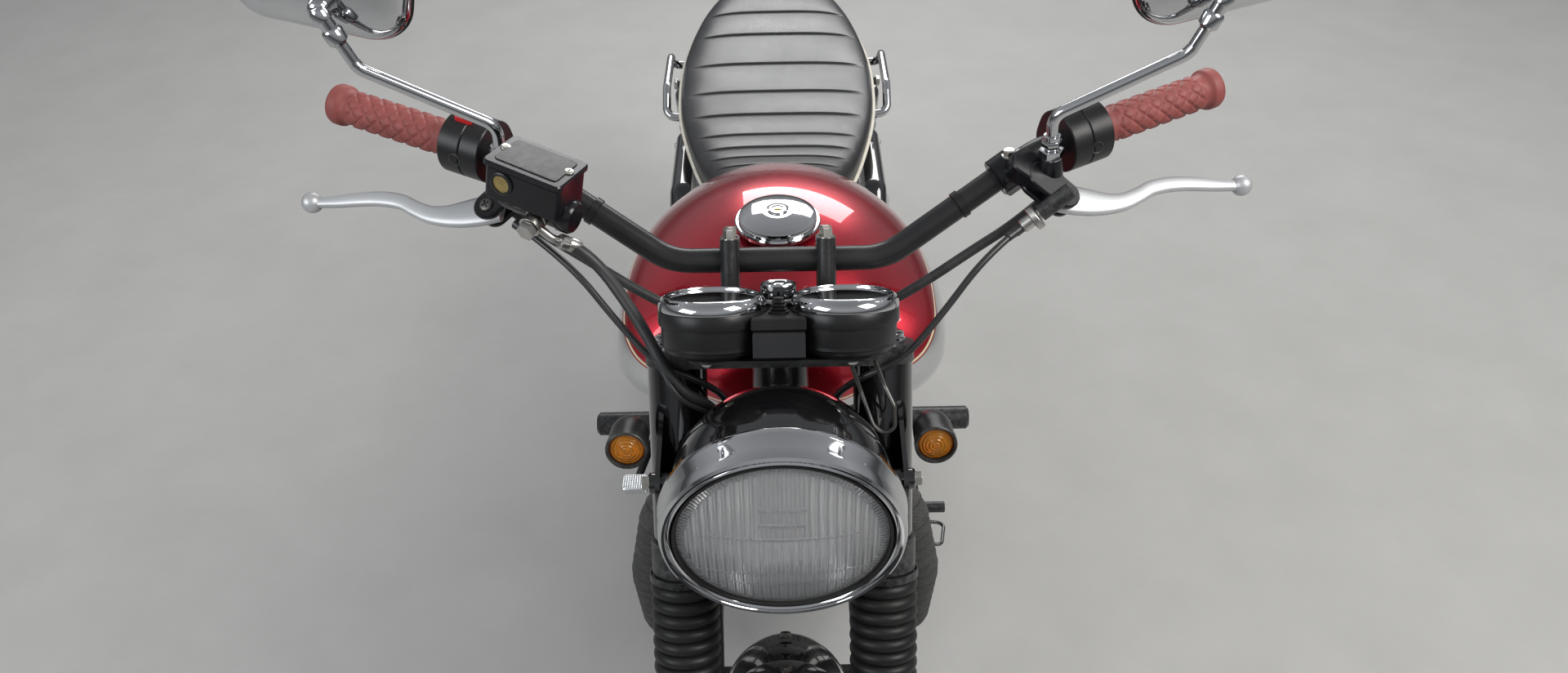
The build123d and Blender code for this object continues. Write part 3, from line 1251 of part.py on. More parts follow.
PORT_Z = CASE_TOP_Z + BARREL_H + 45
HEAD_Z = CASE_TOP_Z + BARREL_H
with BuildPart() as engine_block:
    with BuildSketch(across(0, 0, -CASE_HALF_W)):
        with BuildLine():
            FilletPolyline(
                (CASE_FRONT_Y + 72, CASE_BOTTOM_Z),
                (CASE_REAR_Y - 30, CASE_BOTTOM_Z),
                (CASE_REAR_Y, CASE_BOTTOM_Z + 60),
                (CASE_REAR_Y, CASE_TOP_Z - 60),
                (CASE_REAR_Y - 70, CASE_TOP_Z),
                (CASE_FRONT_Y + 40, CASE_TOP_Z),
                (CASE_FRONT_Y, CASE_TOP_Z - 80),
                (CASE_FRONT_Y, CASE_BOTTOM_Z + 100),
                radius=18,
                close=True,
            )
        make_face()
    extrude(amount=2 * CASE_HALF_W)
    # The drive sprocket's pocket at the left rear
    with BuildSketch(across(DRIVE_Y, DRIVE_Z, SPROCKET_X - 10)):
        Rectangle(120, 112)
    extrude(amount=CASE_HALF_W, mode=Mode.SUBTRACT)
    add(bar_of((SPROCKET_X - 12, DRIVE_Y, DRIVE_Z), (SPROCKET_X, DRIVE_Y, DRIVE_Z), 12))
    add(bar_of((SPROCKET_X - 1, DRIVE_Y, DRIVE_Z), (SPROCKET_X + SPROCKET_T, DRIVE_Y, DRIVE_Z), DRIVE_R))
save(engine_block.part, "engine_block")

with BuildPart() as cylinders:
    with BuildSketch(Plane.XY.offset(CASE_TOP_Z + FIT)):
        with Locations((-BARREL_HALF_GAP, BARREL_Y), (BARREL_HALF_GAP, BARREL_Y)):
            Circle(BARREL_R + 8)
        with Locations((0, BARREL_Y)):
            Rectangle(2 * BARREL_HALF_GAP, 70)
    extrude(amount=BARREL_H - 2 * FIT)
    add(engine_fins(CASE_TOP_Z + 8, 13, FIN_HALF_W, FIN_HALF_L))
save(cylinders.part, "cylinders")

with BuildPart() as cylinder_head:
    with BuildSketch(Plane.XY.offset(HEAD_Z)):
        with Locations((0, BARREL_Y)):
            RectangleRounded(2 * (BARREL_HALF_GAP + BARREL_R + 8), 2 * BARREL_R + 30, 20)
    extrude(amount=HEAD_H)
    add(engine_fins(HEAD_Z + 6, 7, FIN_HALF_W - 3, FIN_HALF_L - 2))
    with BuildSketch(Plane.XY.offset(HEAD_Z + HEAD_H)):
        with Locations((0, BARREL_Y)):
            RectangleRounded(2 * FIN_HALF_W - 20, 2 * FIN_HALF_L - 30, 26)
    extrude(amount=ROCKER_H)
    fillet(cylinder_head.faces().sort_by(Axis.Z)[-1].edges(), 14)
    for x in (-BARREL_HALF_GAP, BARREL_HALF_GAP):
        add(bar_of((x, BARREL_Y - 40, PORT_Z), (x, BARREL_Y - FIN_HALF_L - 6, PORT_Z), PIPE_R + 7))
        add(bar_of((x, BARREL_Y + 40, PORT_Z), (x, BARREL_Y + FIN_HALF_L + 6, PORT_Z), 24))
save(cylinder_head.part, "cylinder_head")

with BuildPart() as engine_covers:
    # Alternator cover ahead, drive sprocket cover behind
    with BuildSketch(across(0, 0, CASE_HALF_W + FIT)):
        with Locations((BARREL_Y - 8, 358)):
            Circle(ALTERNATOR_R)
    extrude(amount=COVER_DEPTH - 14)
    with BuildSketch(across(0, 0, CASE_HALF_W + FIT)):
        with Locations((48, 352)):
            RectangleRounded(122, 120, 30)
    extrude(amount=COVER_FLAT)
    fillet(engine_covers.faces().sort_by(Axis.X)[-1].edges(), 16)
    # Clutch cover on the right
    with BuildSketch(across(0, 0, -CASE_HALF_W - FIT - COVER_DEPTH + 14)):
        with Locations((BARREL_Y, 362)):
            Circle(CLUTCH_R)
        with Locations((BARREL_Y + 110, 350)):
            Circle(CLUTCH_REAR_R)
        make_hull()
    extrude(amount=COVER_DEPTH - 14)
    fillet(engine_covers.faces().sort_by(Axis.X)[0].edges(), 16)
save(engine_covers.part, "engine_covers")

with BuildPart() as carburettors:
    intake = BARREL_Y + FIN_HALF_L + 6
    for x in (-BARREL_HALF_GAP, BARREL_HALF_GAP):
        add(bar_of((x, intake + FIT, PORT_Z), (x, AIR_BOX_Y - FIT, PORT_Z), CARB_R))
        add(bar_of((x, intake + 34, PORT_Z - 52), (x, intake + 34, PORT_Z + 42), BOWL_R))
    add(bar_of((-BARREL_HALF_GAP, intake + 34, PORT_Z), (BARREL_HALF_GAP, intake + 34, PORT_Z), 9))
save(carburettors.part, "carburettors")

with BuildPart() as air_box:
    with BuildSketch(Plane.XY.offset(AIR_BOX_Z)):
        with Locations((0, AIR_BOX_Y)):
            Rectangle(AIR_BOX_W, AIR_BOX_L, align=(Align.CENTER, Align.MIN))
    extrude(amount=AIR_BOX_H)
    fillet(air_box.edges().filter_by(Axis.Z), 12)
    # Crossed by the frame's tubes
    add(bar_of((-120, UPRIGHT_Y, CROSS_TUBE_Z), (120, UPRIGHT_Y, CROSS_TUBE_Z), 12), mode=Mode.SUBTRACT)
    add(bar_of(BACKBONE_START, BACKBONE_FOOT, BACKBONE_R + FIT), mode=Mode.SUBTRACT)
    with BuildSketch(Plane.XY.offset(SEAT_RAIL_Z - RAIL_R - 12)):
        with Locations((0, BACKBONE_END_Y)):
            Rectangle(200, 2 * RAIL_R + 6)
    extrude(amount=60, mode=Mode.SUBTRACT)
save(air_box.part, "air_box")

with BuildPart() as side_covers:
    with BuildSketch(across(0, 0, CRADLE_HALF_W + TUBE_R + FIT)):
        with BuildLine():
            FilletPolyline(
                (96, 700),
                (140, 744),
                (300, 744),
                (330, 700),
                (250, 560),
                (120, 560),
                (88, 620),
                radius=26,
                close=True,
            )
        make_face()
    extrude(amount=30)
    fillet(side_covers.faces().sort_by(Axis.X)[-1].edges(), 16)
    mirror(about=Plane.YZ)
save(side_covers.part, "side_covers")

with BuildPart() as header_pipes:
    add(
        rod(
            [
                (BARREL_HALF_GAP, BARREL_Y - FIN_HALF_L - 6 - FIT, PORT_Z),
                (BARREL_HALF_GAP, BARREL_Y - FIN_HALF_L - 44, PORT_Z),
                (BARREL_HALF_GAP + 22, CRADLE_FRONT_Y + 18, PORT_Z - 12),
                (PIPE_OUT - 27, CRADLE_FRONT_Y - 8, PORT_Z - 76),
                (PIPE_OUT, CRADLE_FRONT_Y + 28, 440),
                (PIPE_OUT, CRADLE_FRONT_Y + 84, PIPE_LOW_Z),
                (SILENCER_X, PIPE_TURN_Y, PIPE_LOW_Z),
                (SILENCER_X, SILENCER_Y, SILENCER_START_Z),
            ],
            PIPE_R,
            [40, 45, 60, 90, 90, 400],
        )
    )
    mirror(about=Plane.YZ)
save(header_pipes.part, "header_pipes")

with BuildPart() as silencers:
    start = Vector(SILENCER_X, SILENCER_Y + FIT, SILENCER_START_Z + 0.02)
    end = start + Vector(0, SILENCER_L, SILENCER_RISE)
    along = (end - start).normalized()
    with BuildSketch(Plane(start, x_dir=(1, 0, 0), z_dir=-(along.cross(Vector(1, 0, 0))))):
        with BuildLine():
            Polyline(
                (0, 0),
                (0, SILENCER_L),
                (20, SILENCER_L),
                (SILENCER_R - 10, SILENCER_L - 12),
                (SILENCER_R, SILENCER_L - 60),
                (SILENCER_R, 130),
                (PIPE_R + 6, 24),
                (PIPE_R + 5, 0),
                (0, 0),
            )
        make_face()
    revolve(axis=Axis(start, along))
    add(bar_of(end - along * 60, end + along * 5, 16), mode=Mode.SUBTRACT)
    mirror(about=Plane.YZ)
save(silencers.part, "silencers")

with BuildPart() as chain:
    with BuildSketch(across(0, 0, SPROCKET_X + SPROCKET_T / 2 - CHAIN_W / 2)):
        with Locations((REAR_AXLE_Y, REAR_AXLE_Z)):
            Circle(SPROCKET_R + CHAIN_H)
        with Locations((DRIVE_Y, DRIVE_Z)):
            Circle(DRIVE_R + CHAIN_H)
        make_hull()
        with BuildSketch(mode=Mode.SUBTRACT):
            with Locations((REAR_AXLE_Y, REAR_AXLE_Z)):
                Circle(SPROCKET_R + 0.6)
            with Locations((DRIVE_Y, DRIVE_Z)):
                Circle(DRIVE_R + 0.6)
            make_hull()
    extrude(amount=CHAIN_W)
save(chain.part, "chain")

# Bodywork
TANK_SECTIONS = [
    # y, half width, height of the widest line, top, half width of the base, height of the base
    (-390, 62, 838, 868, 40, 806),
    (-350, 146, 826, 912, 90, 792),
    (-290, 172, 820, 944, 114, 784),
    (-200, 166, 818, 949, 116, 782),
    (-110, 136, 816, 922, 100, 782),
    (-40, 96, 815, 882, 74, 784),
    (-10, 74, 815, 852, 50, 786),
]
CAP_Y = -271.0
CAP_R = 38.0
CAP_SEAT_Z = 953.0
CAP_NECK_R = 41.0
with BuildPart() as fuel_tank:
    loft([crowned_section(*row) for row in TANK_SECTIONS])
    # Channel over the backbone, and the cap's neck
    with BuildSketch(across(0, 0, -BACKBONE_R - 6)):
        with BuildLine():
            along = (BACKBONE_FOOT - BACKBONE_START).normalized()
            over = Vector(0, -along.Z, along.Y) * (BACKBONE_R + FIT)
            front, rear = BACKBONE_START - along * 40 + over, BACKBONE_FOOT + over
            low = rear.Z - 100
            Polyline((front.Y, front.Z), (rear.Y, rear.Z), (rear.Y, low), (front.Y, low), (front.Y, front.Z))
        make_face()
    extrude(amount=2 * BACKBONE_R + 12, mode=Mode.SUBTRACT)
    with BuildSketch(Plane.XY.offset(CAP_SEAT_Z)):
        with Locations((0, CAP_Y)):
            Circle(CAP_NECK_R)
    extrude(amount=-30)
save(fuel_tank.part, "fuel_tank")

with BuildPart() as fuel_cap:
    with BuildSketch(Plane.XY.offset(CAP_SEAT_Z + FIT)):
        with Locations((0, CAP_Y)):
            Circle(CAP_R)
    extrude(amount=14)
    fillet(fuel_cap.edges().group_by(Axis.Z)[-1], 4)
save(fuel_cap.part, "fuel_cap")

SEAT_TOP = 812.0
with BuildPart() as seat:
    with BuildSketch(Plane.XY.offset(SEAT_BASE_Z)):
        with BuildLine():
            ThreePointArc((72, -4), (108, 110), (130, 228))
            ThreePointArc((130, 228), (137, 390), (106, 589))
            ThreePointArc((106, 589), (0, 700), (-106, 589))
            ThreePointArc((-106, 589), (-137, 390), (-130, 228))
            ThreePointArc((-130, 228), (-108, 110), (-72, -4))
            Line((-72, -4), (72, -4))
        make_face()
    extrude(amount=80)
    with BuildSketch(across(0, 0, -150)):
        with BuildLine():
            Line((-10, SEAT_BASE_Z), (-10, 842))
            ThreePointArc((-10, 842), (110, 814), (240, SEAT_TOP - 2))
            ThreePointArc((240, SEAT_TOP - 2), (450, SEAT_TOP), (640, SEAT_TOP + 12))
            ThreePointArc((640, SEAT_TOP + 12), (690, SEAT_TOP - 2), (705, SEAT_BASE_Z))
            Line((705, SEAT_BASE_Z), (-10, SEAT_BASE_Z))
        make_face()
    extrude(amount=300, mode=Mode.INTERSECT)
    add(bar_of(BACKBONE_START, BACKBONE_FOOT, BACKBONE_R + FIT), mode=Mode.SUBTRACT)
save(seat.part, "seat")

with BuildPart() as grab_rails:
    rail_side = SEAT_RAIL_HALF_W + RAIL_R + FIT
    z = SEAT_RAIL_Z + 1
    add(
        rod(
            [
                (rail_side, 300, z),
                (GRAB_X, 300, z),
                (GRAB_X, 332, z + 30),
                (GRAB_X, 438, z + 30),
                (GRAB_X, 470, z),
                (rail_side, 470, z),
            ],
            GRAB_R,
            [14, 24, 24, 14],
        )
    )
    mirror(about=Plane.YZ)
save(grab_rails.part, "grab_rails")

with BuildPart() as rear_fender:
    add(mudguard(REAR_AXLE_Y, REAR_AXLE_Z, REAR_GUARD_R, REAR_GUARD_HALF_W, -52, REAR_GUARD_END))
    top = REAR_AXLE_Z + sqrt(REAR_GUARD_R**2 - (SEAT_RAIL_END_Y - REAR_AXLE_Y) ** 2)
    with BuildSketch(Plane.XY.offset(top - 6)):
        with Locations((0, SEAT_RAIL_END_Y)):
            Rectangle(50, 26)
    extrude(amount=SEAT_RAIL_Z - RAIL_R - FIT - top + 6)
save(rear_fender.part, "rear_fender")

tail_root = REAR_AXLE_Y + 114
with BuildPart() as tail_lamp:
    with BuildSketch(Plane.XZ.offset(-TAIL_Y)):
        with Locations((0, TAIL_Z)):
            RectangleRounded(TAIL_W, TAIL_H, 20)
    extrude(amount=-TAIL_DEPTH)
    with BuildSketch(across(0, 0, -16)):
        with BuildLine():
            Polyline(
                (tail_root, TAIL_Z + 20),
                (TAIL_Y + 2, TAIL_Z + 20),
                (TAIL_Y + 2, TAIL_Z - 30),
                (tail_root + 32, TAIL_Z - 30),
                (tail_root, TAIL_Z + 20),
            )
        make_face()
    extrude(amount=32)
    add(
        Plane((-REAR_GUARD_HALF_W - 10, REAR_AXLE_Y, REAR_AXLE_Z), z_dir=(1, 0, 0)).location
        * Solid.make_cylinder(REAR_GUARD_R + FIT, 2 * REAR_GUARD_HALF_W + 20),
        mode=Mode.SUBTRACT,
    )
    for side in (-1, 1):
        add(bar_of((side * 40, TAIL_Y + 20, TAIL_Z), (side * 112, TAIL_Y + 20, TAIL_Z), STALK_R))
        add(bar_of((side * 118, TAIL_Y - 6, TAIL_Z), (side * 118, TAIL_Y + 42, TAIL_Z), INDICATOR_R))
save(tail_lamp.part, "tail_lamp")

with BuildPart() as tail_lens:
    with BuildSketch(Plane.XZ.offset(-TAIL_Y - TAIL_DEPTH - FIT)):
        with Locations((0, TAIL_Z)):
            RectangleRounded(TAIL_W - 4, TAIL_H - 4, 18)
    extrude(amount=-LENS_DEPTH)
    fillet(tail_lens.edges().group_by(Axis.Y)[-1], 9)
save(tail_lens.part, "tail_lens")

with BuildPart() as plate_bracket:
    with BuildSketch(Plane.XZ.offset(-PLATE_Y)):
        with Locations((0, PLATE_Z)):
            RectangleRounded(PLATE_W, PLATE_H, 8)
            with GridLocations(PLATE_HOLES, 1, 2, 1):
                Circle(3.2, mode=Mode.SUBTRACT)
    extrude(amount=-3)
    with BuildSketch(Plane.XZ.offset(-PLATE_Y - 1)):
        with Locations((0, PLATE_Z + 40)):
            Rectangle(26, 16)
    extrude(amount=130)
    with BuildSketch(across(REAR_AXLE_Y, REAR_AXLE_Z, -REAR_GUARD_HALF_W)):
        Circle(REAR_GUARD_R + FIT)
    extrude(amount=2 * REAR_GUARD_HALF_W, mode=Mode.SUBTRACT)
save(plate_bracket.part, "plate_bracket")


# Foot controls: a peg each side, the brake pedal on the right and the gear lever on the left
PEDAL_X = -225.0
PEDAL_Y = 20.0
PEDAL_Z = 300.0
GEAR_Y = 6.0
with BuildPart() as foot_controls:
    peg = PIVOT_PLATE_X + PIVOT_PLATE_T + FIT
    add(bar_of((peg, PEG_Y, PEG_Z), (160, PEG_Y, PEG_Z), 9))
    add(bar_of((159, PEG_Y, PEG_Z), (PEG_END_X, PEG_Y, PEG_Z), PEG_R))
    chamfer(foot_controls.edges().group_by(Axis.X)[-1], 4)
    mirror(about=Plane.YZ)
    # Brake pedal
    arm_x = -PIVOT_PLATE_X - PIVOT_PLATE_T - FIT
    add(
        rod(
            [
                (arm_x, PEG_Y - 4, PEG_Z - 24),
                (PEDAL_X + 24, PEG_Y - 4, PEG_Z - 24),
                (PEDAL_X + 4, PEDAL_Y + 30, PEDAL_Z - 12),
                (PEDAL_X, PEDAL_Y + 4, PEDAL_Z - 12),
            ],
            6,
            [18, 18],
        )
    )
    with BuildSketch(Plane.XY.offset(PEDAL_Z - 10)):
        with Locations((PEDAL_X, PEDAL_Y)):
            RectangleRounded(37, 30, 5)
    extrude(amount=10)
    # Gear lever
    shaft_x = CASE_HALF_W + FIT + COVER_FLAT + FIT
    add(
        rod(
            [
                (shaft_x, GEAR_Y + 60, 318),
                (shaft_x + 70, GEAR_Y + 60, 318),
                (shaft_x + 82, GEAR_Y - 20, 312),
                (shaft_x + 82, GEAR_Y - 60, 312),
            ],
            6,
            [18, 18],
        )
    )
    add(bar_of((shaft_x + 82, GEAR_Y - 60, 312), (shaft_x + 122, GEAR_Y - 60, 312), 8))
save(foot_controls.part, "foot_controls")
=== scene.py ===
"""The look of the roadster motorcycle: materials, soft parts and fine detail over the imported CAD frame.

Blender's units are metres. Shapes are worked out in millimetres, the CAD model's unit, and scaled once.
"""

from math import acos, asin, atan2, copysign, cos, exp, pi, radians, sin, sqrt, tan

import bmesh
import bpy
from mathutils import Matrix, Vector

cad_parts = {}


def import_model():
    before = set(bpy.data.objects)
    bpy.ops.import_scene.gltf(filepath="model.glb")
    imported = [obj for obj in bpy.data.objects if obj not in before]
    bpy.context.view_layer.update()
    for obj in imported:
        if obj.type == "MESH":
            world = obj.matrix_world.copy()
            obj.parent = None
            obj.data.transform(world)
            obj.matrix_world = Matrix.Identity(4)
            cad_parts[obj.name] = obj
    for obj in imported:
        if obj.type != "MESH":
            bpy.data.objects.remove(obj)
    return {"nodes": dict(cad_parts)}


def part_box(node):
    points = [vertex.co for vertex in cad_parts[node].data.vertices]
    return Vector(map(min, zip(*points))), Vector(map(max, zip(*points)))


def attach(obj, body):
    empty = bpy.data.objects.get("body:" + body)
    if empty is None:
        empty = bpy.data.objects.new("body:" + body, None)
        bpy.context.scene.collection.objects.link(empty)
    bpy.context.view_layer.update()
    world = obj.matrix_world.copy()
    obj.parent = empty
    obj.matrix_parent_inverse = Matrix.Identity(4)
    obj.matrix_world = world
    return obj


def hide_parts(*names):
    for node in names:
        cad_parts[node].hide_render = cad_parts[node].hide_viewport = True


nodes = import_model()["nodes"]
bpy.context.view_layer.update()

MM = 0.001
TAU = 2 * pi
LEFT, RIGHT = (1, 0, 0), (-1, 0, 0)
BACK, AHEAD = (0, 1, 0), (0, -1, 0)
UP, DOWN = (0, 0, 1), (0, 0, -1)

# The CAD model's own values, in millimetres
AXLE_Y, AXLE_Z = -756.2, 331.0
REAR_Y, REAR_Z = 703.8, 345.0
FRONT_RIM_R, REAR_RIM_R = 241.0, 229.0
RAKE = radians(27)
LAMP_Z, LAMP_DIP = 868.0, radians(3.6)
BAR_RUN = [(0, -382.6, 985), (95, -382.6, 985), (228, -334.6, 1062), (400, -253.6, 1078)]
LEVER_PIVOT = Vector((246, -378.6, 1040))
LEVER_TIP = Vector((421, -329.6, 1020))
CLOCK_X, CLOCK_BACK = 54.5, -52.0
LEG_X = 90
PORT_X, PORT_Z = 44, 663
BLOCK_X, COVER_X = 88.4, 136.3
BARREL_Y = -110
SHOCK_TOP, SHOCK_FOOT = Vector((142, 530, 700)), Vector((142, 640, 375))
DRIVE = Vector((79, 85, 352))
WRAP_LAP = 24.0

# Geometry is gathered here, and piece() empties it
bm = bmesh.new()


def frame_at(origin, z_axis, x_axis=LEFT):
    """A matrix whose z runs along z_axis and whose x lies near x_axis."""
    z = Vector(z_axis).normalized()
    y = z.cross(Vector(x_axis)).normalized()
    return Matrix.Translation(Vector(origin)) @ Matrix((y.cross(z), y, z)).transposed().to_4x4()


FORK = frame_at((0, AXLE_Y, AXLE_Z), (0, sin(RAKE), cos(RAKE)))
LAMP = frame_at((0, -607.6, LAMP_Z), (0, cos(LAMP_DIP), sin(LAMP_DIP)))
BAR_END = Vector(BAR_RUN[3])
BAR_OUT = (BAR_END - Vector(BAR_RUN[2])).normalized()
FLIP = Matrix.Scale(-1, 4, LEFT)


def on(m, x, y, z):
    """A point given in a frame of its own, as a point of the machine."""
    return m @ Vector((x, y, z))


def moved(m, x, y, z):
    """A frame moved along its own axes."""
    return m @ Matrix.Translation((x, y, z))


def axis_of(m, index):
    """The direction of a frame's x, y or z axis."""
    return m.to_3x3().col[index]


def fork(x, back, up):
    """A point in the fork's own frame, as a point of the machine."""
    return on(FORK, x, back, up)


def ring_spots(radius, turns):
    """Points on a circle, at angles in degrees."""
    return [(radius * cos(radians(turn)), radius * sin(radians(turn))) for turn in turns]


def bar_frame(inboard):
    """Square to the left grip's axis, z outward and y upward."""
    return frame_at(BAR_END - BAR_OUT * inboard, BAR_OUT, BAR_OUT.cross(Vector(UP)))


# geometry


def circle(radius, count):
    """Points evenly round a flat circle."""
    return [Vector((radius * cos(TAU * i / count), radius * sin(TAU * i / count), 0)) for i in range(count)]


def loft(rings, material=0, caps=True, loop=False):
    """Joins rings of points into a skin, with lengths along and around it in its UV map."""
    layer = bm.loops.layers.uv.verify()
    made = [[bm.verts.new(p) for p in ring] for ring in rings]
    count = len(rings[0])
    along = [0.0]
    for a, b in zip(rings, rings[1:]):
        along.append(along[-1] + sum((p - q).length for p, q in zip(a, b)) / count)
    around = [0.0]
    middle = rings[len(rings) // 2]
    for i in range(count):
        around.append(around[-1] + (middle[(i + 1) % count] - middle[i]).length)
    steps = len(rings) if loop else len(rings) - 1
    for j in range(steps):
        k = (j + 1) % len(rings)
        for i in range(count):
            n = (i + 1) % count
            corners = [made[j][i], made[j][n], made[k][n], made[k][i]]
            try:
                face = bm.faces.new(corners)
            except ValueError:
                continue
            face.material_index = material
            last = along[j + 1] if j + 1 < len(along) else along[j] + 1
            spots = ((i, along[j]), (i + 1, along[j]), (i + 1, last), (i, last))
            for item, (column, up) in zip(face.loops, spots):
                item[layer].uv = (around[column] * MM, up * MM)
    if caps and not loop:
        for ring in (made[0][::-1], made[-1]):
            try:
                bm.faces.new(ring).material_index = material
            except ValueError:
                pass


def lathe(profile, matrix, count=48, material=0, caps=True, loop=False):
    """Turns (radius, height) points about the matrix's z axis."""
    rings = []
    for radius, height in profile:
        ring = circle(max(radius, 0.01), count)
        rings.append([on(matrix, p.x, p.y, height) for p in ring])
    if matrix.determinant() < 0:
        rings = [ring[::-1] for ring in rings]
    loft(rings, material, caps=caps, loop=loop)


def rounded(corners, bend, steps=6):
    """A path along straight runs with an arc of the given radius at each corner."""
    points = [Vector(p) for p in corners]
    out = [points[0]]
    for i in range(1, len(points) - 1):
        radius = bend[i - 1] if isinstance(bend, list) else bend
        a = (points[i - 1] - points[i]).normalized()
        b = (points[i + 1] - points[i]).normalized()
        half = a.angle(b) / 2
        reach = radius / tan(half)
        reach = min(reach, 0.49 * min((points[i - 1] - points[i]).length, (points[i + 1] - points[i]).length))
        radius = reach * tan(half)
        centre = points[i] + (a + b).normalized() * radius / sin(half)
        start, end = points[i] + a * reach - centre, points[i] + b * reach - centre
        turn = start.angle(end)
        for s in range(steps + 1):
            t = s / steps
            out.append(centre + (start * sin((1 - t) * turn) + end * sin(t * turn)) / sin(turn))
    out.append(points[-1])
    return out


def frames_along(path):
    """A direction and two square axes at each point of a path, without twist."""
    tangents = []
    for i in range(len(path)):
        a, b = path[max(i - 1, 0)], path[min(i + 1, len(path) - 1)]
        tangents.append((b - a).normalized())
    side = tangents[0].orthogonal().normalized()
    if abs(tangents[0].z) < 0.9:
        side = tangents[0].cross(Vector(UP)).normalized()
    out = []
    for tangent in tangents:
        side = (side - tangent * side.dot(tangent)).normalized()
        out.append((tangent, side, tangent.cross(side)))
    return out


def sweep(path, radius, count=14, material=0):
    """A round bar along a path. radius may be a number or a function of the point's index."""
    path = [Vector(p) for p in path]
    rings = []
    for i, (point, (_, side, up)) in enumerate(zip(path, frames_along(path))):
        r = radius(i) if callable(radius) else radius
        rings.append([point + side * p.x + up * p.y for p in circle(r, count)])
    loft(rings, material)


def slab(outline, matrix, low, high, chamfer=0.6, material=0):
    """A plate of a flat outline from low to high, its rims bevelled by pulling the outline in."""
    points = [Vector((p[0], p[1], 0)) for p in outline]
    count = len(points)
    inner = []
    for i, p in enumerate(points):
        a = (p - points[i - 1]).normalized()
        b = (points[(i + 1) % count] - p).normalized()
        normal = Vector((-(a.y + b.y), a.x + b.x, 0)).normalized()
        scale = max(0.5, normal.dot(Vector((-a.y, a.x, 0))))
        inner.append(p + normal * chamfer / scale)
    rings = []
    for source, height in ((inner, low), (points, low + chamfer), (points, high - chamfer), (inner, high)):
        rings.append([on(matrix, p.x, p.y, height) for p in source])
    if matrix.determinant() < 0:
        rings = [ring[::-1] for ring in rings]
    loft(rings, material)


def round_rect(w, h, r, steps=5):
    """A rectangle's outline with round corners, counter-clockwise."""
    out = []
    for i, (across, up) in enumerate(((1, 1), (-1, 1), (-1, -1), (1, -1))):
        turns = [90 * i + 90 * s / steps for s in range(steps + 1)]
        out += [(across * (w / 2 - r) + x, up * (h / 2 - r) + y) for x, y in ring_spots(r, turns)]
    return out


def polar(radii):
    """A flat outline from evenly spaced distances to its middle."""
    count = len(radii)
    return [(r * cos(TAU * i / count), r * sin(TAU * i / count)) for i, r in enumerate(radii)]


def hex_radii(across):
    """A hexagon's edge as 24 distances from its middle."""
    return [across / 2 / cos((TAU * i / 24) % (TAU / 6) - TAU / 12) for i in range(24)]


def bolt(at, axis, size=6.0, height=None, kind="hex", material=0, washer=True):
    """A fastener's head standing on a surface: hex, dome, cap or cross. size is its radius."""
    m = frame_at(at, axis, (0.3, 0.9, 0.2))
    h = height or size * (0.8 if kind != "cap" else 1.1)
    if washer:
        lathe([(size * 1.25, 0), (size * 1.25, 0.7), (size * 1.1, 1.0), (size * 0.6, 1.0)], m, 24, material)
    if kind == "hex":
        flats = size * 1.78
        rings = []
        for scale, z in ((1.0, 0.8), (1.0, h - 0.7), (0.97, h - 0.2), (0.86, h), (0.2, h)):
            rings.append([on(m, p[0] * scale, p[1] * scale, z) for p in polar(hex_radii(flats))])
        loft(rings, material)
        return
    top = {"dome": [(1.0, 0.5), (0.97, 0.45 * h), (0.85, 0.75 * h), (0.62, h)],
           "cap": [(1.0, 0.5), (1.0, h - 0.8), (0.94, h), (0.6, h)],
           "cross": [(1.0, 0.4), (0.96, 0.4 * h), (0.8, 0.62 * h), (0.66, 0.7 * h)]}[kind]
    rings = [[on(m, p.x, p.y, z) for p in circle(size * s, 24)] for s, z in top]
    z = top[-1][1]
    if kind == "cross":
        recess = [size * (0.6, 0.5, 0.16, 0.16, 0.16, 0.5)[i % 6] for i in range(24)]
    else:
        recess = hex_radii(size * 0.98)
    for scale, depth in ((1, z), (1, z - h * 0.4), (0.1, z - h * 0.4)):
        rings.append([on(m, x * scale, y * scale, depth) for x, y in polar(recess)])
    loft(rings, material)


def bolt_circle(m, radius, turns, height, *form, **looks):
    """Bolts on a circle about the axis of m, at angles in degrees."""
    for x, y in ring_spots(radius, turns):
        bolt(on(m, x, y, height), *form, **looks)


def hoop(inner, outer, half, edge):
    """A thin band's profile, as wide as 2 * half inside and 2 * edge outside."""
    return [(inner, -half), (outer, -edge), (outer, edge), (inner, half)]


def collar(inner, outer, half):
    """A thick band's profile with its outer edges cut by 1 mm."""
    outside = [(outer - 1, -half), (outer, 1 - half), (outer, half - 1), (outer - 1, half)]
    return [(inner, -half)] + outside + [(inner, half)]


def place(name, data, body, stands_for):
    """An object that rides on a body, and stands for the CAD nodes named in one string."""
    obj = bpy.data.objects.new(name, data)
    bpy.context.collection.objects.link(obj)
    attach(obj, body)
    if stands_for:
        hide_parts(*stands_for.split())
    return obj


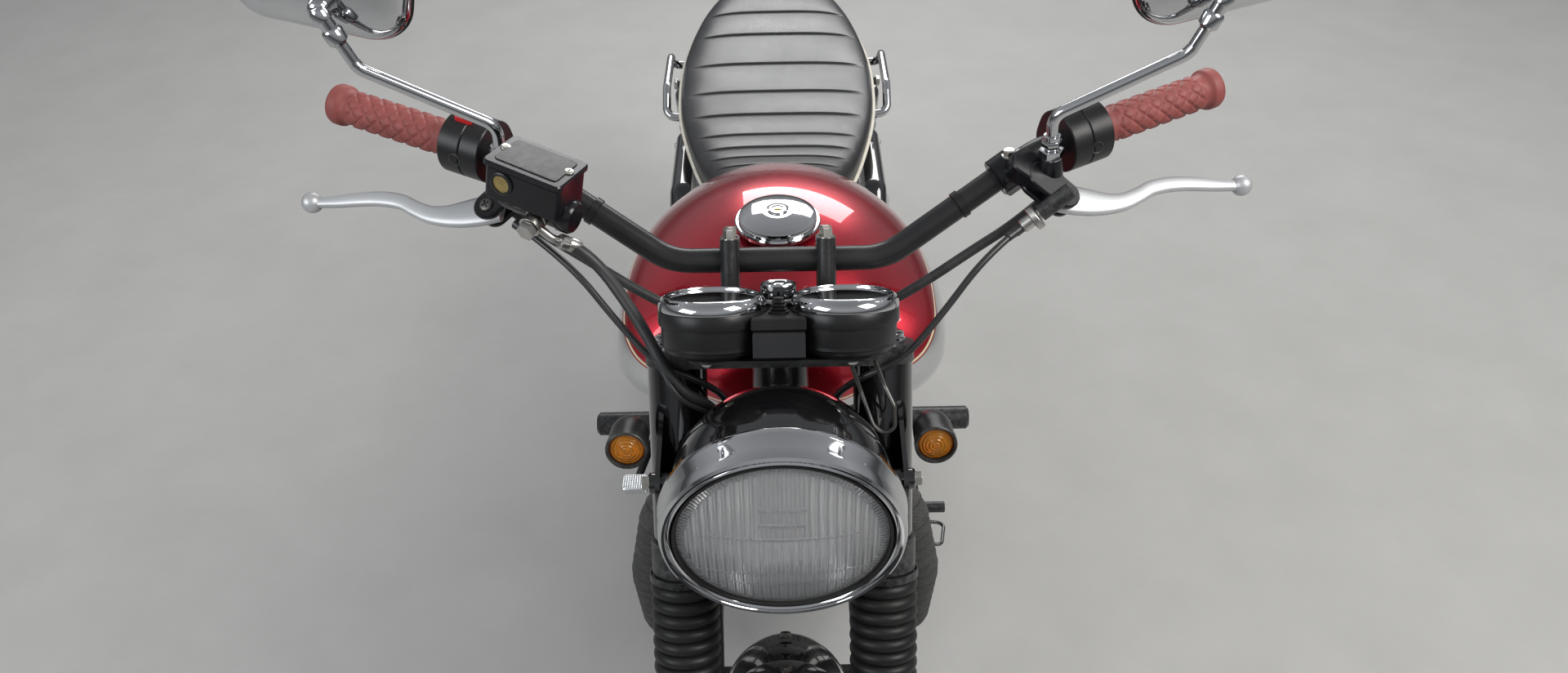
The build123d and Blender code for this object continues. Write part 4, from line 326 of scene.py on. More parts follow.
def piece(name, body, materials, smooth=38, subdivide=0, stands_for="", mirror=False):
    """Writes the gathered geometry as one piece, with its twin on the other side where mirror is set."""
    if mirror:
        twin = bmesh.ops.duplicate(bm, geom=bm.verts[:] + bm.edges[:] + bm.faces[:])["geom"]
        bmesh.ops.transform(bm, matrix=FLIP, verts=[v for v in twin if isinstance(v, bmesh.types.BMVert)])
        bmesh.ops.reverse_faces(bm, faces=[f for f in twin if isinstance(f, bmesh.types.BMFace)])
    bmesh.ops.scale(bm, vec=(MM, MM, MM), verts=bm.verts)
    mesh = bpy.data.meshes.new(name)
    bm.to_mesh(mesh)
    bm.clear()
    mesh.validate()
    for item in materials:
        mesh.materials.append(item)
    mesh.shade_smooth()
    if smooth < 180:
        mesh.set_sharp_from_angle(angle=radians(smooth))
    obj = place(name, mesh, body, stands_for)
    if subdivide:
        mod = obj.modifiers.new("rounding", "SUBSURF")
        mod.levels = mod.render_levels = subdivide
    return obj


def flexible(name, routes, radius, mat, stands_for=""):
    """Cords of one thickness, each a smooth curve through its route's control points, given in millimetres."""
    curve = bpy.data.curves.new(name, "CURVE")
    curve.dimensions = "3D"
    for points in routes:
        spline = curve.splines.new("NURBS")
        spline.points.add(len(points) - 1)
        for target, point in zip(spline.points, points):
            target.co = (point[0] * MM, point[1] * MM, point[2] * MM, 1)
        spline.order_u = 3
        spline.use_endpoint_u = True
        spline.resolution_u = 8
    curve.bevel_depth = radius * MM
    curve.bevel_resolution = 4
    curve.use_fill_caps = True
    curve.materials.append(mat)
    return place(name, curve, "steering", stands_for)


# shared shading


def group(name, inputs, output, kind, build):
    """A shared node group: inputs are (name, default), its one output varies over the surface."""
    tree = bpy.data.node_groups.new(name, "ShaderNodeTree")
    for label, default in inputs:
        tree.interface.new_socket(label, in_out="INPUT", socket_type="NodeSocketFloat").default_value = default
    tree.interface.new_socket(output, in_out="OUTPUT", socket_type=kind)
    start, end = tree.nodes.new("NodeGroupInput"), tree.nodes.new("NodeGroupOutput")
    tree.links.new(build(tree, start.outputs), end.inputs[0])
    return tree


def add(tree, kind, **values):
    """A new node with its properties set."""
    node = tree.nodes.new(kind)
    for key, value in values.items():
        setattr(node, key, value)
    return node


def plug(tree, source, socket):
    """Sets a socket to a number or links it to another socket."""
    if isinstance(source, bpy.types.NodeSocket):
        tree.links.new(source, socket)
    else:
        socket.default_value = source


def maths(tree, operation, a, b=0.0, c=0.0, clamp=False):
    """A maths node over numbers or sockets."""
    node = add(tree, "ShaderNodeMath", operation=operation, use_clamp=clamp)
    for source, socket in zip((a, b, c), node.inputs):
        plug(tree, source, socket)
    return node.outputs[0]


def times(tree, a, b):
    """The product of two numbers or sockets."""
    return maths(tree, "MULTIPLY", a, b)


def size_of(tree, value):
    """A value without its sign."""
    return maths(tree, "ABSOLUTE", value)


def inverse(tree, mask):
    """What a mask leaves free."""
    return maths(tree, "SUBTRACT", 1.0, mask)


def spread(tree, value, low, high, to_low=0.0, to_high=1.0):
    """A value from low to high carried over to another range, and held at its ends."""
    node = add(tree, "ShaderNodeMapRange", clamp=True)
    for source, key in ((value, "Value"), (low, "From Min"), (high, "From Max"), (to_low, "To Min"),
                        (to_high, "To Max")):
        plug(tree, source, node.inputs[key])
    return node.outputs[0]


def noise(tree, scale, detail=4.0, rough=0.55, stretch=None):
    """Noise over the piece's own coordinates, stretched along an axis if asked."""
    where = add(tree, "ShaderNodeTexCoord").outputs["Object"]
    if stretch:
        mapping = add(tree, "ShaderNodeMapping")
        tree.links.new(where, mapping.inputs["Vector"])
        mapping.inputs["Scale"].default_value = stretch
        where = mapping.outputs[0]
    node = add(tree, "ShaderNodeTexNoise")
    tree.links.new(where, node.inputs["Vector"])
    plug(tree, scale, node.inputs["Scale"])
    node.inputs["Detail"].default_value = detail
    node.inputs["Roughness"].default_value = rough
    return node.outputs["Fac"]


def axes(tree, coords="Object"):
    """The three coordinates of a spot."""
    split = add(tree, "ShaderNodeSeparateXYZ")
    tree.links.new(add(tree, "ShaderNodeTexCoord").outputs[coords], split.inputs[0])
    return split.outputs


def bump(tree, height, strength, distance, before=None):
    """A normal from a height, over an earlier normal if there is one."""
    node = add(tree, "ShaderNodeBump")
    tree.links.new(height, node.inputs["Height"])
    plug(tree, strength, node.inputs["Strength"])
    plug(tree, distance, node.inputs["Distance"])
    if before:
        tree.links.new(before, node.inputs["Normal"])
    return node.outputs["Normal"]


def build_smears(tree, given):
    """Hand marks and a film of grime: broad patches broken by fine streaks."""
    broad = noise(tree, 9.0, 5.0, 0.6)
    fine = noise(tree, 85.0, 3.0, 0.7, stretch=(1.0, 1.0, 0.35))
    both = maths(tree, "MULTIPLY_ADD", fine, 0.35, times(tree, broad, 0.75))
    return spread(tree, both, 0.36, 0.74, given["Low"], given["High"])


def build_grain(tree, given):
    """A moulded or cast grain."""
    coarse = noise(tree, given["Scale"], 5.0, 0.6)
    return bump(tree, coarse, given["Strength"], given["Depth"])


def build_dust(tree, given):
    """Dust that settles on what faces up, in soft patches with specks."""
    up = add(tree, "ShaderNodeSeparateXYZ")
    tree.links.new(add(tree, "ShaderNodeNewGeometry").outputs["Normal"], up.inputs[0])
    facing = spread(tree, up.outputs[2], 0.15, 0.95)
    patches = spread(tree, noise(tree, 26.0, 6.0, 0.65), 0.42, 0.72)
    specks = spread(tree, noise(tree, 620.0, 2.0, 0.5), 0.66, 0.74, 0.0, 0.8)
    both = maths(tree, "MAXIMUM", times(tree, patches, 0.5), specks)
    return maths(tree, "MULTIPLY", times(tree, facing, both), given["Amount"], clamp=True)


def build_worn(tree, given):
    """Rubbed edges, from how sharply the surface turns outward."""
    sharp = add(tree, "ShaderNodeNewGeometry").outputs["Pointiness"]
    edge = spread(tree, sharp, 0.515, 0.57)
    broken = spread(tree, noise(tree, 160.0, 5.0, 0.7), 0.4, 0.62)
    return maths(tree, "MULTIPLY", times(tree, edge, broken), given["Amount"], clamp=True)


SMEARS = group("smears", [("Low", 0.1), ("High", 0.3)], "Roughness", "NodeSocketFloat", build_smears)
GRAIN = group("grain", [("Scale", 900.0), ("Strength", 0.2), ("Depth", 0.0004)], "Normal", "NodeSocketVector",
              build_grain)
DUST = group("dust", [("Amount", 0.3)], "Mask", "NodeSocketFloat", build_dust)
WORN = group("worn_edges", [("Amount", 0.5)], "Mask", "NodeSocketFloat", build_worn)


def use(tree, shared, **values):
    """A shared group with its inputs set."""
    node = add(tree, "ShaderNodeGroup")
    node.node_tree = shared
    for key, value in values.items():
        node.inputs[key].default_value = value
    return node.outputs[0]


def mix(tree, mask, a, b):
    """Colour a where mask is 0 and b where it is 1."""
    node = add(tree, "ShaderNodeMix", data_type="RGBA")
    plug(tree, mask, node.inputs["Factor"])
    for source, key in ((a, 6), (b, 7)):
        if isinstance(source, bpy.types.NodeSocket):
            tree.links.new(source, node.inputs[key])
        else:
            node.inputs[key].default_value = (*source, 1)
    return node.outputs[2]


DUST_COLOUR = (0.30, 0.27, 0.22)


def blank(name):
    """A new material with its node tree and its shader."""
    mat = bpy.data.materials.new(name)
    mat.use_nodes = True
    return mat, mat.node_tree, mat.node_tree.nodes["Principled BSDF"]


def surface(name, colour, rough, metal=0.0, second=None, patches=14.0, dust=0.0, worn=None, grain=None, height=None,
            mask=None, **constants):
    """A material with patchy colour, hand marks, dust, rubbed edges and a grain or relief.

    rough is (low, high); worn is (colour, amount); grain is (scale, strength, depth);
    height(tree) and mask(tree) give a relief as (height, strength, depth) and a colour mask with its colour.
    """
    mat, tree, shader = blank(name)
    shade = mix(tree, spread(tree, noise(tree, patches, 5.0, 0.6), 0.35, 0.65), colour,
                second or [c * 0.8 for c in colour])
    if mask:
        for cover, paint in mask(tree):
            shade = mix(tree, cover, shade, paint)
    if worn:
        shade = mix(tree, use(tree, WORN, Amount=worn[1]), shade, worn[0])
    if dust:
        shade = mix(tree, use(tree, DUST, Amount=dust), shade, DUST_COLOUR)
    tree.links.new(shade, shader.inputs["Base Color"])
    tree.links.new(use(tree, SMEARS, Low=rough[0], High=rough[1]), shader.inputs["Roughness"])
    shader.inputs["Metallic"].default_value = metal
    normal = None
    if grain:
        normal = use(tree, GRAIN, Scale=grain[0], Strength=grain[1], Depth=grain[2])
    if height:
        relief = height(tree)
        normal = bump(tree, relief[0], relief[1], relief[2], normal)
    if normal:
        tree.links.new(normal, shader.inputs["Normal"])
    for key, value in constants.items():
        shader.inputs[key.replace("_", " ")].default_value = value
    return mat


def stripes(tree, value, pitch):
    """A wave from 0 to 1 along a coordinate, its period in metres."""
    return spread(tree, maths(tree, "SINE", maths(tree, "MULTIPLY", value, TAU / pitch)), -1.0, 1.0)


# materials

gloss_black = surface("gloss_black", (0.004, 0.004, 0.005), (0.05, 0.16), second=(0.007, 0.007, 0.008), dust=0.04,
                      grain=(38.0, 0.05, 0.0008), Coat_Weight=1.0, Coat_Roughness=0.04)
satin_black = surface("satin_black", (0.013, 0.013, 0.014), (0.28, 0.42), second=(0.020, 0.020, 0.021), dust=0.05,
                      worn=((0.10, 0.10, 0.10), 0.5), grain=(1500.0, 0.12, 0.0002), Specular_IOR_Level=0.35)
frame_black = surface("frame_black", (0.014, 0.014, 0.015), (0.18, 0.36), dust=0.3, grain=(60.0, 0.06, 0.0008),
                      Coat_Weight=0.5, Coat_Roughness=0.15)
moulded_black = surface("moulded_black", (0.010, 0.010, 0.0105), (0.28, 0.40), second=(0.016, 0.016, 0.017),
                        dust=0.04, grain=(1100.0, 0.2, 0.00025), Specular_IOR_Level=0.35)
chrome = surface("chrome", (0.60, 0.605, 0.62), (0.025, 0.10), metal=1.0, second=(0.55, 0.555, 0.57), dust=0.03)
dull_chrome = surface("dull_chrome", (0.72, 0.72, 0.73), (0.10, 0.26), metal=1.0, second=(0.6, 0.6, 0.61),
                      dust=0.25)
satin_alloy = surface("satin_alloy", (0.74, 0.75, 0.76), (0.26, 0.4), metal=0.92, second=(0.66, 0.67, 0.68),
                      dust=0.05, grain=(1300.0, 0.10, 0.0002))
cast_alloy = surface("cast_alloy", (0.58, 0.58, 0.57), (0.34, 0.55), metal=0.85, second=(0.47, 0.47, 0.46),
                     dust=0.3, grain=(620.0, 0.25, 0.0004))
polished_alloy = surface("polished_alloy", (0.76, 0.76, 0.76), (0.10, 0.24), metal=1.0, second=(0.68, 0.68, 0.68),
                         dust=0.12, grain=(90.0, 0.04, 0.0006))
steel = surface("steel", (0.55, 0.54, 0.52), (0.22, 0.42), metal=1.0, second=(0.42, 0.40, 0.37), patches=90.0,
                dust=0.12)
dark_steel = surface("dark_steel", (0.16, 0.155, 0.15), (0.3, 0.5), metal=0.9, second=(0.10, 0.095, 0.09),
                     patches=60.0, dust=0.2)
brass = surface("brass", (0.55, 0.42, 0.18), (0.25, 0.4), metal=1.0, patches=120.0)
rubber = surface("rubber", (0.008, 0.008, 0.008), (0.36, 0.52), second=(0.014, 0.014, 0.014), dust=0.05,
                 grain=(700.0, 0.25, 0.0003), Specular_IOR_Level=0.3)
tyre_rubber = surface("tyre_rubber", (0.020, 0.020, 0.020), (0.62, 0.85), second=(0.035, 0.034, 0.033),
                      patches=30.0, dust=0.6, grain=(520.0, 0.4, 0.0004))
cast_black = surface("cast_black", (0.006, 0.006, 0.008), (0.14, 0.26), second=(0.010, 0.010, 0.012), dust=0.02,
                     grain=(1500.0, 0.03, 0.0001), Specular_IOR_Level=0.4)
lever_alloy = surface("lever_alloy", (0.58, 0.59, 0.60), (0.36, 0.48), metal=0.55, second=(0.53, 0.54, 0.55),
                      dust=0.03, grain=(1300.0, 0.08, 0.0002))
grip_rubber = surface("grip_rubber", (0.31, 0.078, 0.068), (0.5, 0.68), second=(0.25, 0.060, 0.052), patches=60.0,
                      dust=0.05, grain=(900.0, 0.3, 0.00025))
red_switch = surface("red_switch", (0.75, 0.02, 0.02), (0.3, 0.42), patches=60.0)
cream = surface("cream_piping", (0.76, 0.72, 0.62), (0.45, 0.6), second=(0.66, 0.62, 0.52), patches=70.0, dust=0.1,
                grain=(800.0, 0.3, 0.0002))
case_black = surface("case_black", (0.020, 0.020, 0.021), (0.36, 0.55), second=(0.03, 0.03, 0.03), dust=0.12,
                     worn=((0.3, 0.3, 0.29), 0.5), grain=(480.0, 0.16, 0.0003))
nut_colour = surface("plated_nut", (0.66, 0.65, 0.62), (0.16, 0.34), metal=1.0, second=(0.55, 0.53, 0.46),
                     patches=160.0)


# The fin stack's half width and half depth, and how far ahead its middle lies, in metres
FIN_HALF_X, FIN_HALF_Y, FIN_AHEAD = 0.121, 0.081, 0.110


def fin_edges(tree):
    """Machined bright rims, where a fin's face turns out at the edge of the stack."""
    x, y, _ = axes(tree)
    wide = spread(tree, size_of(tree, x), FIN_HALF_X - 0.0002, FIN_HALF_X + 0.0002)
    far = size_of(tree, maths(tree, "ADD", y, FIN_AHEAD))
    deep = spread(tree, far, FIN_HALF_Y - 0.0002, FIN_HALF_Y + 0.0002)
    return [(maths(tree, "MAXIMUM", wide, deep), (0.62, 0.62, 0.61))]


fin_black = surface("fin_black", (0.022, 0.022, 0.023), (0.36, 0.55), second=(0.032, 0.032, 0.032), dust=0.2,
                    grain=(520.0, 0.3, 0.0004), mask=fin_edges)


# The tank's bright panel, in metres: its top, the place of that top, its half length and its fall at the ends
PANEL_TOP, PANEL_AHEAD, PANEL_HALF, PANEL_FALL = 0.884, 0.215, 0.158, 0.052


def tank_paint(tree):
    """Masks for the bright side panels and for the cream line at their rim."""
    _, y, z = axes(tree)
    ahead = maths(tree, "DIVIDE", maths(tree, "ADD", y, PANEL_AHEAD), PANEL_HALF)
    fall = times(tree, times(tree, ahead, ahead), PANEL_FALL)
    gap = maths(tree, "SUBTRACT", maths(tree, "SUBTRACT", PANEL_TOP, fall), z)
    panel = spread(tree, gap, 0.0, 0.0004)
    line = maths(tree, "MULTIPLY", spread(tree, gap, -0.0042, -0.0038),
                 spread(tree, gap, -0.0018, -0.0014, 1.0, 0.0))
    return panel, line


def make_tank_red():
    """A candy lacquer: a bright flake coat under a deep red, with the plated panel and its line."""
    mat, tree, shader = blank("tank_lacquer")
    panel, line = tank_paint(tree)
    shade = mix(tree, spread(tree, noise(tree, 2600.0, 2.0), 0.4, 0.62), (0.34, 0.004, 0.014), (0.54, 0.010, 0.030))
    shade = mix(tree, line, shade, (0.74, 0.66, 0.45))
    shade = mix(tree, panel, shade, (0.60, 0.605, 0.62))
    tree.links.new(shade, shader.inputs["Base Color"])
    metal = maths(tree, "MAXIMUM", panel, times(tree, inverse(tree, line), 0.72))
    tree.links.new(metal, shader.inputs["Metallic"])
    node = add(tree, "ShaderNodeMix", data_type="FLOAT")
    tree.links.new(panel, node.inputs["Factor"])
    tree.links.new(use(tree, SMEARS, Low=0.24, High=0.36), node.inputs[2])
    tree.links.new(use(tree, SMEARS, Low=0.03, High=0.09), node.inputs[3])
    tree.links.new(node.outputs[0], shader.inputs["Roughness"])
    tree.links.new(use(tree, GRAIN, Scale=9.0, Strength=0.03, Depth=0.002), shader.inputs["Coat Normal"])
    shader.inputs["Coat Weight"].default_value = 1.0
    shader.inputs["Coat Roughness"].default_value = 0.02
    return mat


tank_red = make_tank_red()


def leather_relief(tree):
    """Fine hide grain: rounded cells with creases between them."""
    where = add(tree, "ShaderNodeTexCoord").outputs["Object"]
    cells = add(tree, "ShaderNodeTexVoronoi", feature="DISTANCE_TO_EDGE")
    tree.links.new(where, cells.inputs["Vector"])
    cells.inputs["Scale"].default_value = 620.0
    crease = spread(tree, cells.outputs["Distance"], 0.0, 0.14)
    broad = noise(tree, 60.0, 4.0, 0.6)
    return maths(tree, "MULTIPLY_ADD", broad, 0.4, crease), 0.2, 0.0002


leather = surface("seat_vinyl", (0.014, 0.014, 0.015), (0.26, 0.38), second=(0.022, 0.022, 0.024), patches=12.0,
                  dust=0.04, height=leather_relief, Coat_Weight=0.12, Coat_Roughness=0.35)


def wrap_lap(tree, u, v):
    """How far a spot lies from the last overlap of the tape, from 0 to 1."""
    return maths(tree, "FRACT", maths(tree, "DIVIDE", maths(tree, "MULTIPLY_ADD", u, 0.16, v), WRAP_LAP * MM))


def wrap_relief(tree):
    """Woven tape wound round a pipe: slanted overlaps over a fine basket weave."""
    u, v, _ = axes(tree, "UV")
    lap = spread(tree, wrap_lap(tree, u, v), 0.0, 0.12)
    threads = maths(tree, "MAXIMUM", *(stripes(tree, maths(tree, way, u, v), 0.0052)
                                       for way in ("SUBTRACT", "ADD")))
    return maths(tree, "MULTIPLY_ADD", threads, 0.45, times(tree, lap, 1.2)), 0.9, 0.0016


def wrap_fade_and_shade(tree):
    """Painted shade under each overlap of the tape, and faded patches."""
    u, v, _ = axes(tree, "UV")
    # Painted shade: the tape is drawn darker just past each overlap's edge, where the next turn would shadow it
    seam = spread(tree, wrap_lap(tree, u, v), 0.0, 0.10, 0.85, 0.0)
    faded = spread(tree, noise(tree, 45.0, 5.0), 0.55, 0.75, 0.0, 0.6)
    return [(seam, (0.012, 0.012, 0.012)), (faded, (0.11, 0.105, 0.10))]


pipe_wrap = surface("pipe_wrap", (0.050, 0.050, 0.052), (0.8, 0.95), second=(0.075, 0.073, 0.07), patches=120.0,
                    dust=0.25, height=wrap_relief, mask=wrap_fade_and_shade)


def glassy(name, colour, rough=0.02, ior=1.46, relief=None, clear=1.0):
    """Clear or tinted glass and plastic."""
    mat, tree, shader = blank(name)
    shade = mix(tree, spread(tree, noise(tree, 20.0, 3.0), 0.3, 0.7), colour, [c * 0.94 for c in colour])
    tree.links.new(shade, shader.inputs["Base Color"])
    tree.links.new(use(tree, SMEARS, Low=rough, High=rough + 0.04), shader.inputs["Roughness"])
    shader.inputs["Transmission Weight"].default_value = clear
    shader.inputs["IOR"].default_value = ior
    if relief:
        height, strength, depth = relief(tree)
        tree.links.new(bump(tree, height, strength, depth), shader.inputs["Normal"])
    return mat


def flutes(tree):
    """A lamp glass's upright flutes, finer in a block at the middle, with a few thin cross lines and a ribbed rim."""
    x, _, z = axes(tree)
    rise = maths(tree, "SUBTRACT", z, LAMP_Z * MM)
    across = size_of(tree, x)

    def blended(mask, a, b):
        return maths(tree, "ADD", times(tree, mask, a), times(tree, inverse(tree, mask), b))

    block = times(tree, spread(tree, across, 0.019, 0.0193, 1.0, 0.0), spread(tree, rise, 0.011, 0.0113))
    upright = blended(block, times(tree, stripes(tree, x, 0.0034), 0.5), stripes(tree, x, 0.0072))
    lines = None
    for level, half in ((0.044, 0.019), (0.028, 0.019), (0.012, 0.062), (-0.034, 0.070), (-0.050, 0.060)):
        line = spread(tree, size_of(tree, maths(tree, "SUBTRACT", rise, level)), 0.0007, 0.0013, 1.0, 0.0)
        line = times(tree, line, spread(tree, across, half, half + 0.0005, 1.0, 0.0))
        lines = maths(tree, "MAXIMUM", lines, line) if lines else line
    field = maths(tree, "MAXIMUM", upright, times(tree, lines, 1.4))
    radius = maths(tree, "SQRT", maths(tree, "MULTIPLY_ADD", x, x, times(tree, rise, rise)))
    ribs = maths(tree, "SINE", times(tree, maths(tree, "ARCTAN2", rise, x), 150.0))
    return blended(spread(tree, radius, 0.0790, 0.0793), spread(tree, ribs, -1.0, 1.0), field), 1.0, 0.0034


def lens_rings(tree):
    """Rings moulded round an indicator's lens."""
    return stripes(tree, axes(tree, "UV")[1], 0.0030), 0.7, 0.0012


clear_glass = glassy("clear_glass", (0.97, 0.98, 0.98))
lamp_glass = glassy("lamp_glass", (0.98, 0.99, 1.0), 0.03, relief=flutes, clear=0.76)
amber = glassy("amber_lens", (1.0, 0.42, 0.03), 0.06, 1.49, lens_rings, 0.7)


def lens_grid(tree):
    """Square prisms moulded in a tail lamp's lens."""
    x, _, z = axes(tree)
    return maths(tree, "MAXIMUM", stripes(tree, x, 0.0052), stripes(tree, z, 0.0052)), 0.6, 0.0010


red_lens = surface("red_lens", (0.52, 0.006, 0.008), (0.06, 0.14), second=(0.40, 0.004, 0.006), height=lens_grid,
                   Transmission_Weight=0.25, Coat_Weight=1.0)
plate_white = surface("plate_white", (0.62, 0.62, 0.58), (0.3, 0.45), second=(0.54, 0.54, 0.50), dust=0.3,
                      grain=(300.0, 0.05, 0.0003))
reflector = surface("reflector", (0.92, 0.93, 0.94), (0.10, 0.18), metal=1.0, second=(0.86, 0.87, 0.89))
mirror_glass = surface("mirror_glass", (0.88, 0.90, 0.91), (0.01, 0.04), metal=1.0, second=(0.85, 0.87, 0.88))
dial_black = surface("dial_black", (0.012, 0.012, 0.013), (0.45, 0.55))
dial_white = surface("dial_white", (0.80, 0.79, 0.74), (0.5, 0.6))
needle_red = surface("needle_red", (0.70, 0.05, 0.02), (0.4, 0.5))
cord_black = surface("cord_black", (0.018, 0.018, 0.019), (0.26, 0.42), second=(0.028, 0.028, 0.03), patches=40.0,
                     dust=0.05)
loom_tape = surface("loom_tape", (0.014, 0.014, 0.015), (0.45, 0.65), second=(0.03, 0.03, 0.031), patches=80.0,
                    dust=0.06)
hose_rubber = surface("hose_rubber", (0.020, 0.020, 0.021), (0.4, 0.58), second=(0.03, 0.03, 0.031), patches=50.0,
                      dust=0.06)
amber_bulb = surface("amber_bulb", (0.85, 0.35, 0.05), (0.2, 0.3), patches=40.0)

# finishes of the CAD nodes

for finish, names in (
    (gloss_black, "headlamp_shell fork_covers front_fender side_covers rear_fender tail_lamp"),
    (satin_black, "handlebar upper_yoke lower_yoke switch_housings foot_controls"),
    (plate_white, "plate_bracket"),
    (frame_black, "main_frame swingarm centre_stand side_stand"),
    (rubber, "fork_gaiters air_box"),
    (polished_alloy, "fork_sliders"),
    (chrome, "fork_tubes silencers grab_rails front_axle rear_axle"),
    (dull_chrome, "front_wheel rear_wheel"),
    (steel, "front_disc"),
    (case_black, "brake_caliper engine_block"),
    (fin_black, "cylinders cylinder_head"),
    (red_lens, "tail_lens"),
    (cast_alloy, "engine_covers rear_brake_plate carburettors"),
    (dark_steel, "rear_sprocket chain"),
    (reflector, "headlamp_reflector"),
    (moulded_black, "instrument_cups"),
):
    for name in names.split():
        for slot in nodes[name].material_slots:
            slot.material = finish
        if not nodes[name].material_slots:
            nodes[name].data.materials.append(finish)

# headlamp

plated = [(89.6, 1.5), (90.4, -1.0), (92.0, -2.6), (93.4, -1.6), (94.2, -0.6), (95.2, -2.8), (97.4, -3.6),
          (99.6, -1.8), (100.8, 2), (101.3, 8), (101.5, 17), (102.3, 21), (102.6, 24), (102.2, 26.6), (101.0, 27.6),
          (98.8, 27.6), (98.2, 25), (98.0, 10), (89.0, 6)]
lathe(plated, LAMP, 128, 0, loop=True)
lathe([(86.2, 1.2), (87.2, -1.8), (89.4, -1.8), (90.0, 1.2), (89.0, 5), (86.6, 5)], LAMP, 128, 1, loop=True)
bolt(on(LAMP, 0, 101.2, 13), DOWN, 3.2, kind="cross")
piece("headlamp_rim_plated", "steering", [chrome, rubber], 32, stands_for="headlamp_rim")

LENS_R, LENS_RISE, LENS_THICK = 88, 14, 3.2
bulge = (LENS_R ** 2 + LENS_RISE ** 2) / (2 * LENS_RISE)
face = [(r, bulge - 12 - sqrt(bulge ** 2 - r * r)) for r in (0, 6, 14, 24, 34, 44, 54, 64, 72, 79, 84, 87, LENS_R)]
lathe(face + [(r, z + LENS_THICK) for r, z in face[::-1]], LAMP, 96, 0, caps=False)
piece("headlamp_lens", "steering", [lamp_glass], 40, stands_for="headlamp_glass")

lathe([(0.1, 14), (4, 14.5), (7.5, 17), (9, 21), (9, 34), (8, 38), (8, 50)], LAMP, 32, 0, caps=False)
lathe([(8.5, 46), (13, 47), (15, 50), (15, 56), (9, 56)], LAMP, 32, 1)
lathe([(0.1, 10), (5, 10.5), (10, 12), (10.6, 13.5), (9.8, 15), (9.4, 24), (8.9, 24), (9.2, 14.5), (0.1, 12)], LAMP,
      32, 1, caps=False)
piece("headlamp_bulb", "steering", [clear_glass, polished_alloy])

# Bolts through the ears, with their washers, and a rubber ring behind the rim
for side in (1, -1):
    bolt(on(LAMP, side * 111.2, 0, 62), (side, 0, 0), 6.4, 6.5)
piece("lamp_bolts", "steering", [nut_colour])
lathe([(96.2, 27.8), (98.6, 28.0), (99.0, 29.4), (98.4, 30.8), (96.2, 31.0)], LAMP, 96, loop=True)
piece("lamp_seal", "steering", [rubber])

# clocks

for x in (-CLOCK_X, CLOCK_X):
    m = moved(FORK, x, CLOCK_BACK, 0)
    lathe([(6, 687), (31, 687), (36, 688.4), (40.4, 692), (42.4, 698), (42.9, 711.6), (43.4, 712.2), (43.4, 712.8),
           (44.5, 713.4), (44.9, 715), (44.9, 724.4), (44.3, 725.4), (40, 725.4)], m, 96, 0)
    lathe([(43.0, 725.2), (44.2, 725.6), (44.7, 727), (44.4, 730.0), (43.4, 733.0), (41.6, 735.2), (40.2, 736.0),
           (39.8, 735.6), (39.5, 736.4), (38.9, 736.6), (38.5, 735.8), (38.2, 731.5), (38.2, 729)], m, 96, 1,
          caps=False)
    lathe([(0.1, 728.6), (38.4, 728.6)], m, 64, 2, caps=False)
# The block between them, with its parting line, and the plate
slab([(-22, -92), (22, -92), (22, -30), (-22, -30)], FORK, 712.6, 722.8, 1.2)
slab([(-21, -91), (21, -91), (21, -30), (-21, -30)], FORK, 689, 712.0, 1.2)
slab([(-21, -94), (21, -94), (21, -88), (-21, -88)], FORK, 690.5, 711.4, 1.0, 3)
piece("clock_cups", "steering", [moulded_black, chrome, dial_black, gloss_black], 35,
      stands_for="instrument_bezels")

lathe([(5.4, 722.6), (8.4, 723), (8.6, 724.4), (5.2, 725.2), (7.2, 726.6), (5.0, 728), (6.8, 729.4), (4.6, 730.8),
       (6.0, 732.2), (4.0, 733.6), (4.4, 735.4), (0.1, 736)], moved(FORK, 0, -66, 0), 32)
piece("clock_boot", "steering", [rubber], 50)

key = moved(FORK, 0, CLOCK_BACK + 25, 0)
lathe([(14.2, 716), (15.6, 717), (15.8, 719), (14.6, 720), (15.6, 721.4), (15.6, 723), (14.6, 724), (15.2, 725)],
      key, 48, 0, caps=False)
lathe([(15.2, 725), (16.0, 726), (16.0, 728), (15.2, 729)], key, 48, 4, caps=False)
lathe([(15.2, 729), (15.4, 730), (15.3, 739.0), (15.0, 740.0)], key, 48, 3, caps=False)
lathe([(15.0, 740.0), (14.6, 741.2), (13.6, 741.8), (12.9, 741.5), (12.6, 740.6)], key, 48, 1, caps=False)
lathe([(12.6, 740.6), (0.1, 740.6)], key, 48, 3, caps=False)
lathe([(6.4, 740.6), (6.2, 741.4), (5.6, 741.8), (0.1, 741.8)], key, 48, 1, caps=False)
slab([(-0.7, -4), (0.7, -4), (0.7, 4), (-0.7, 4)], key, 741.6, 742.1, 0.1, 2)
piece("ignition_lock", "steering", [moulded_black, chrome, dial_black, gloss_black, cast_alloy], 35)

for x in (-CLOCK_X, CLOCK_X):
    lathe([(0.1, 735.0), (20, 734.9), (38.0, 734.0), (38.4, 733.2), (38.0, 732.6), (0.1, 733.4)],
          moved(FORK, x, CLOCK_BACK, 0), 64, caps=False)
piece("clock_glasses", "steering", [clear_glass], 40, stands_for="instrument_glasses")


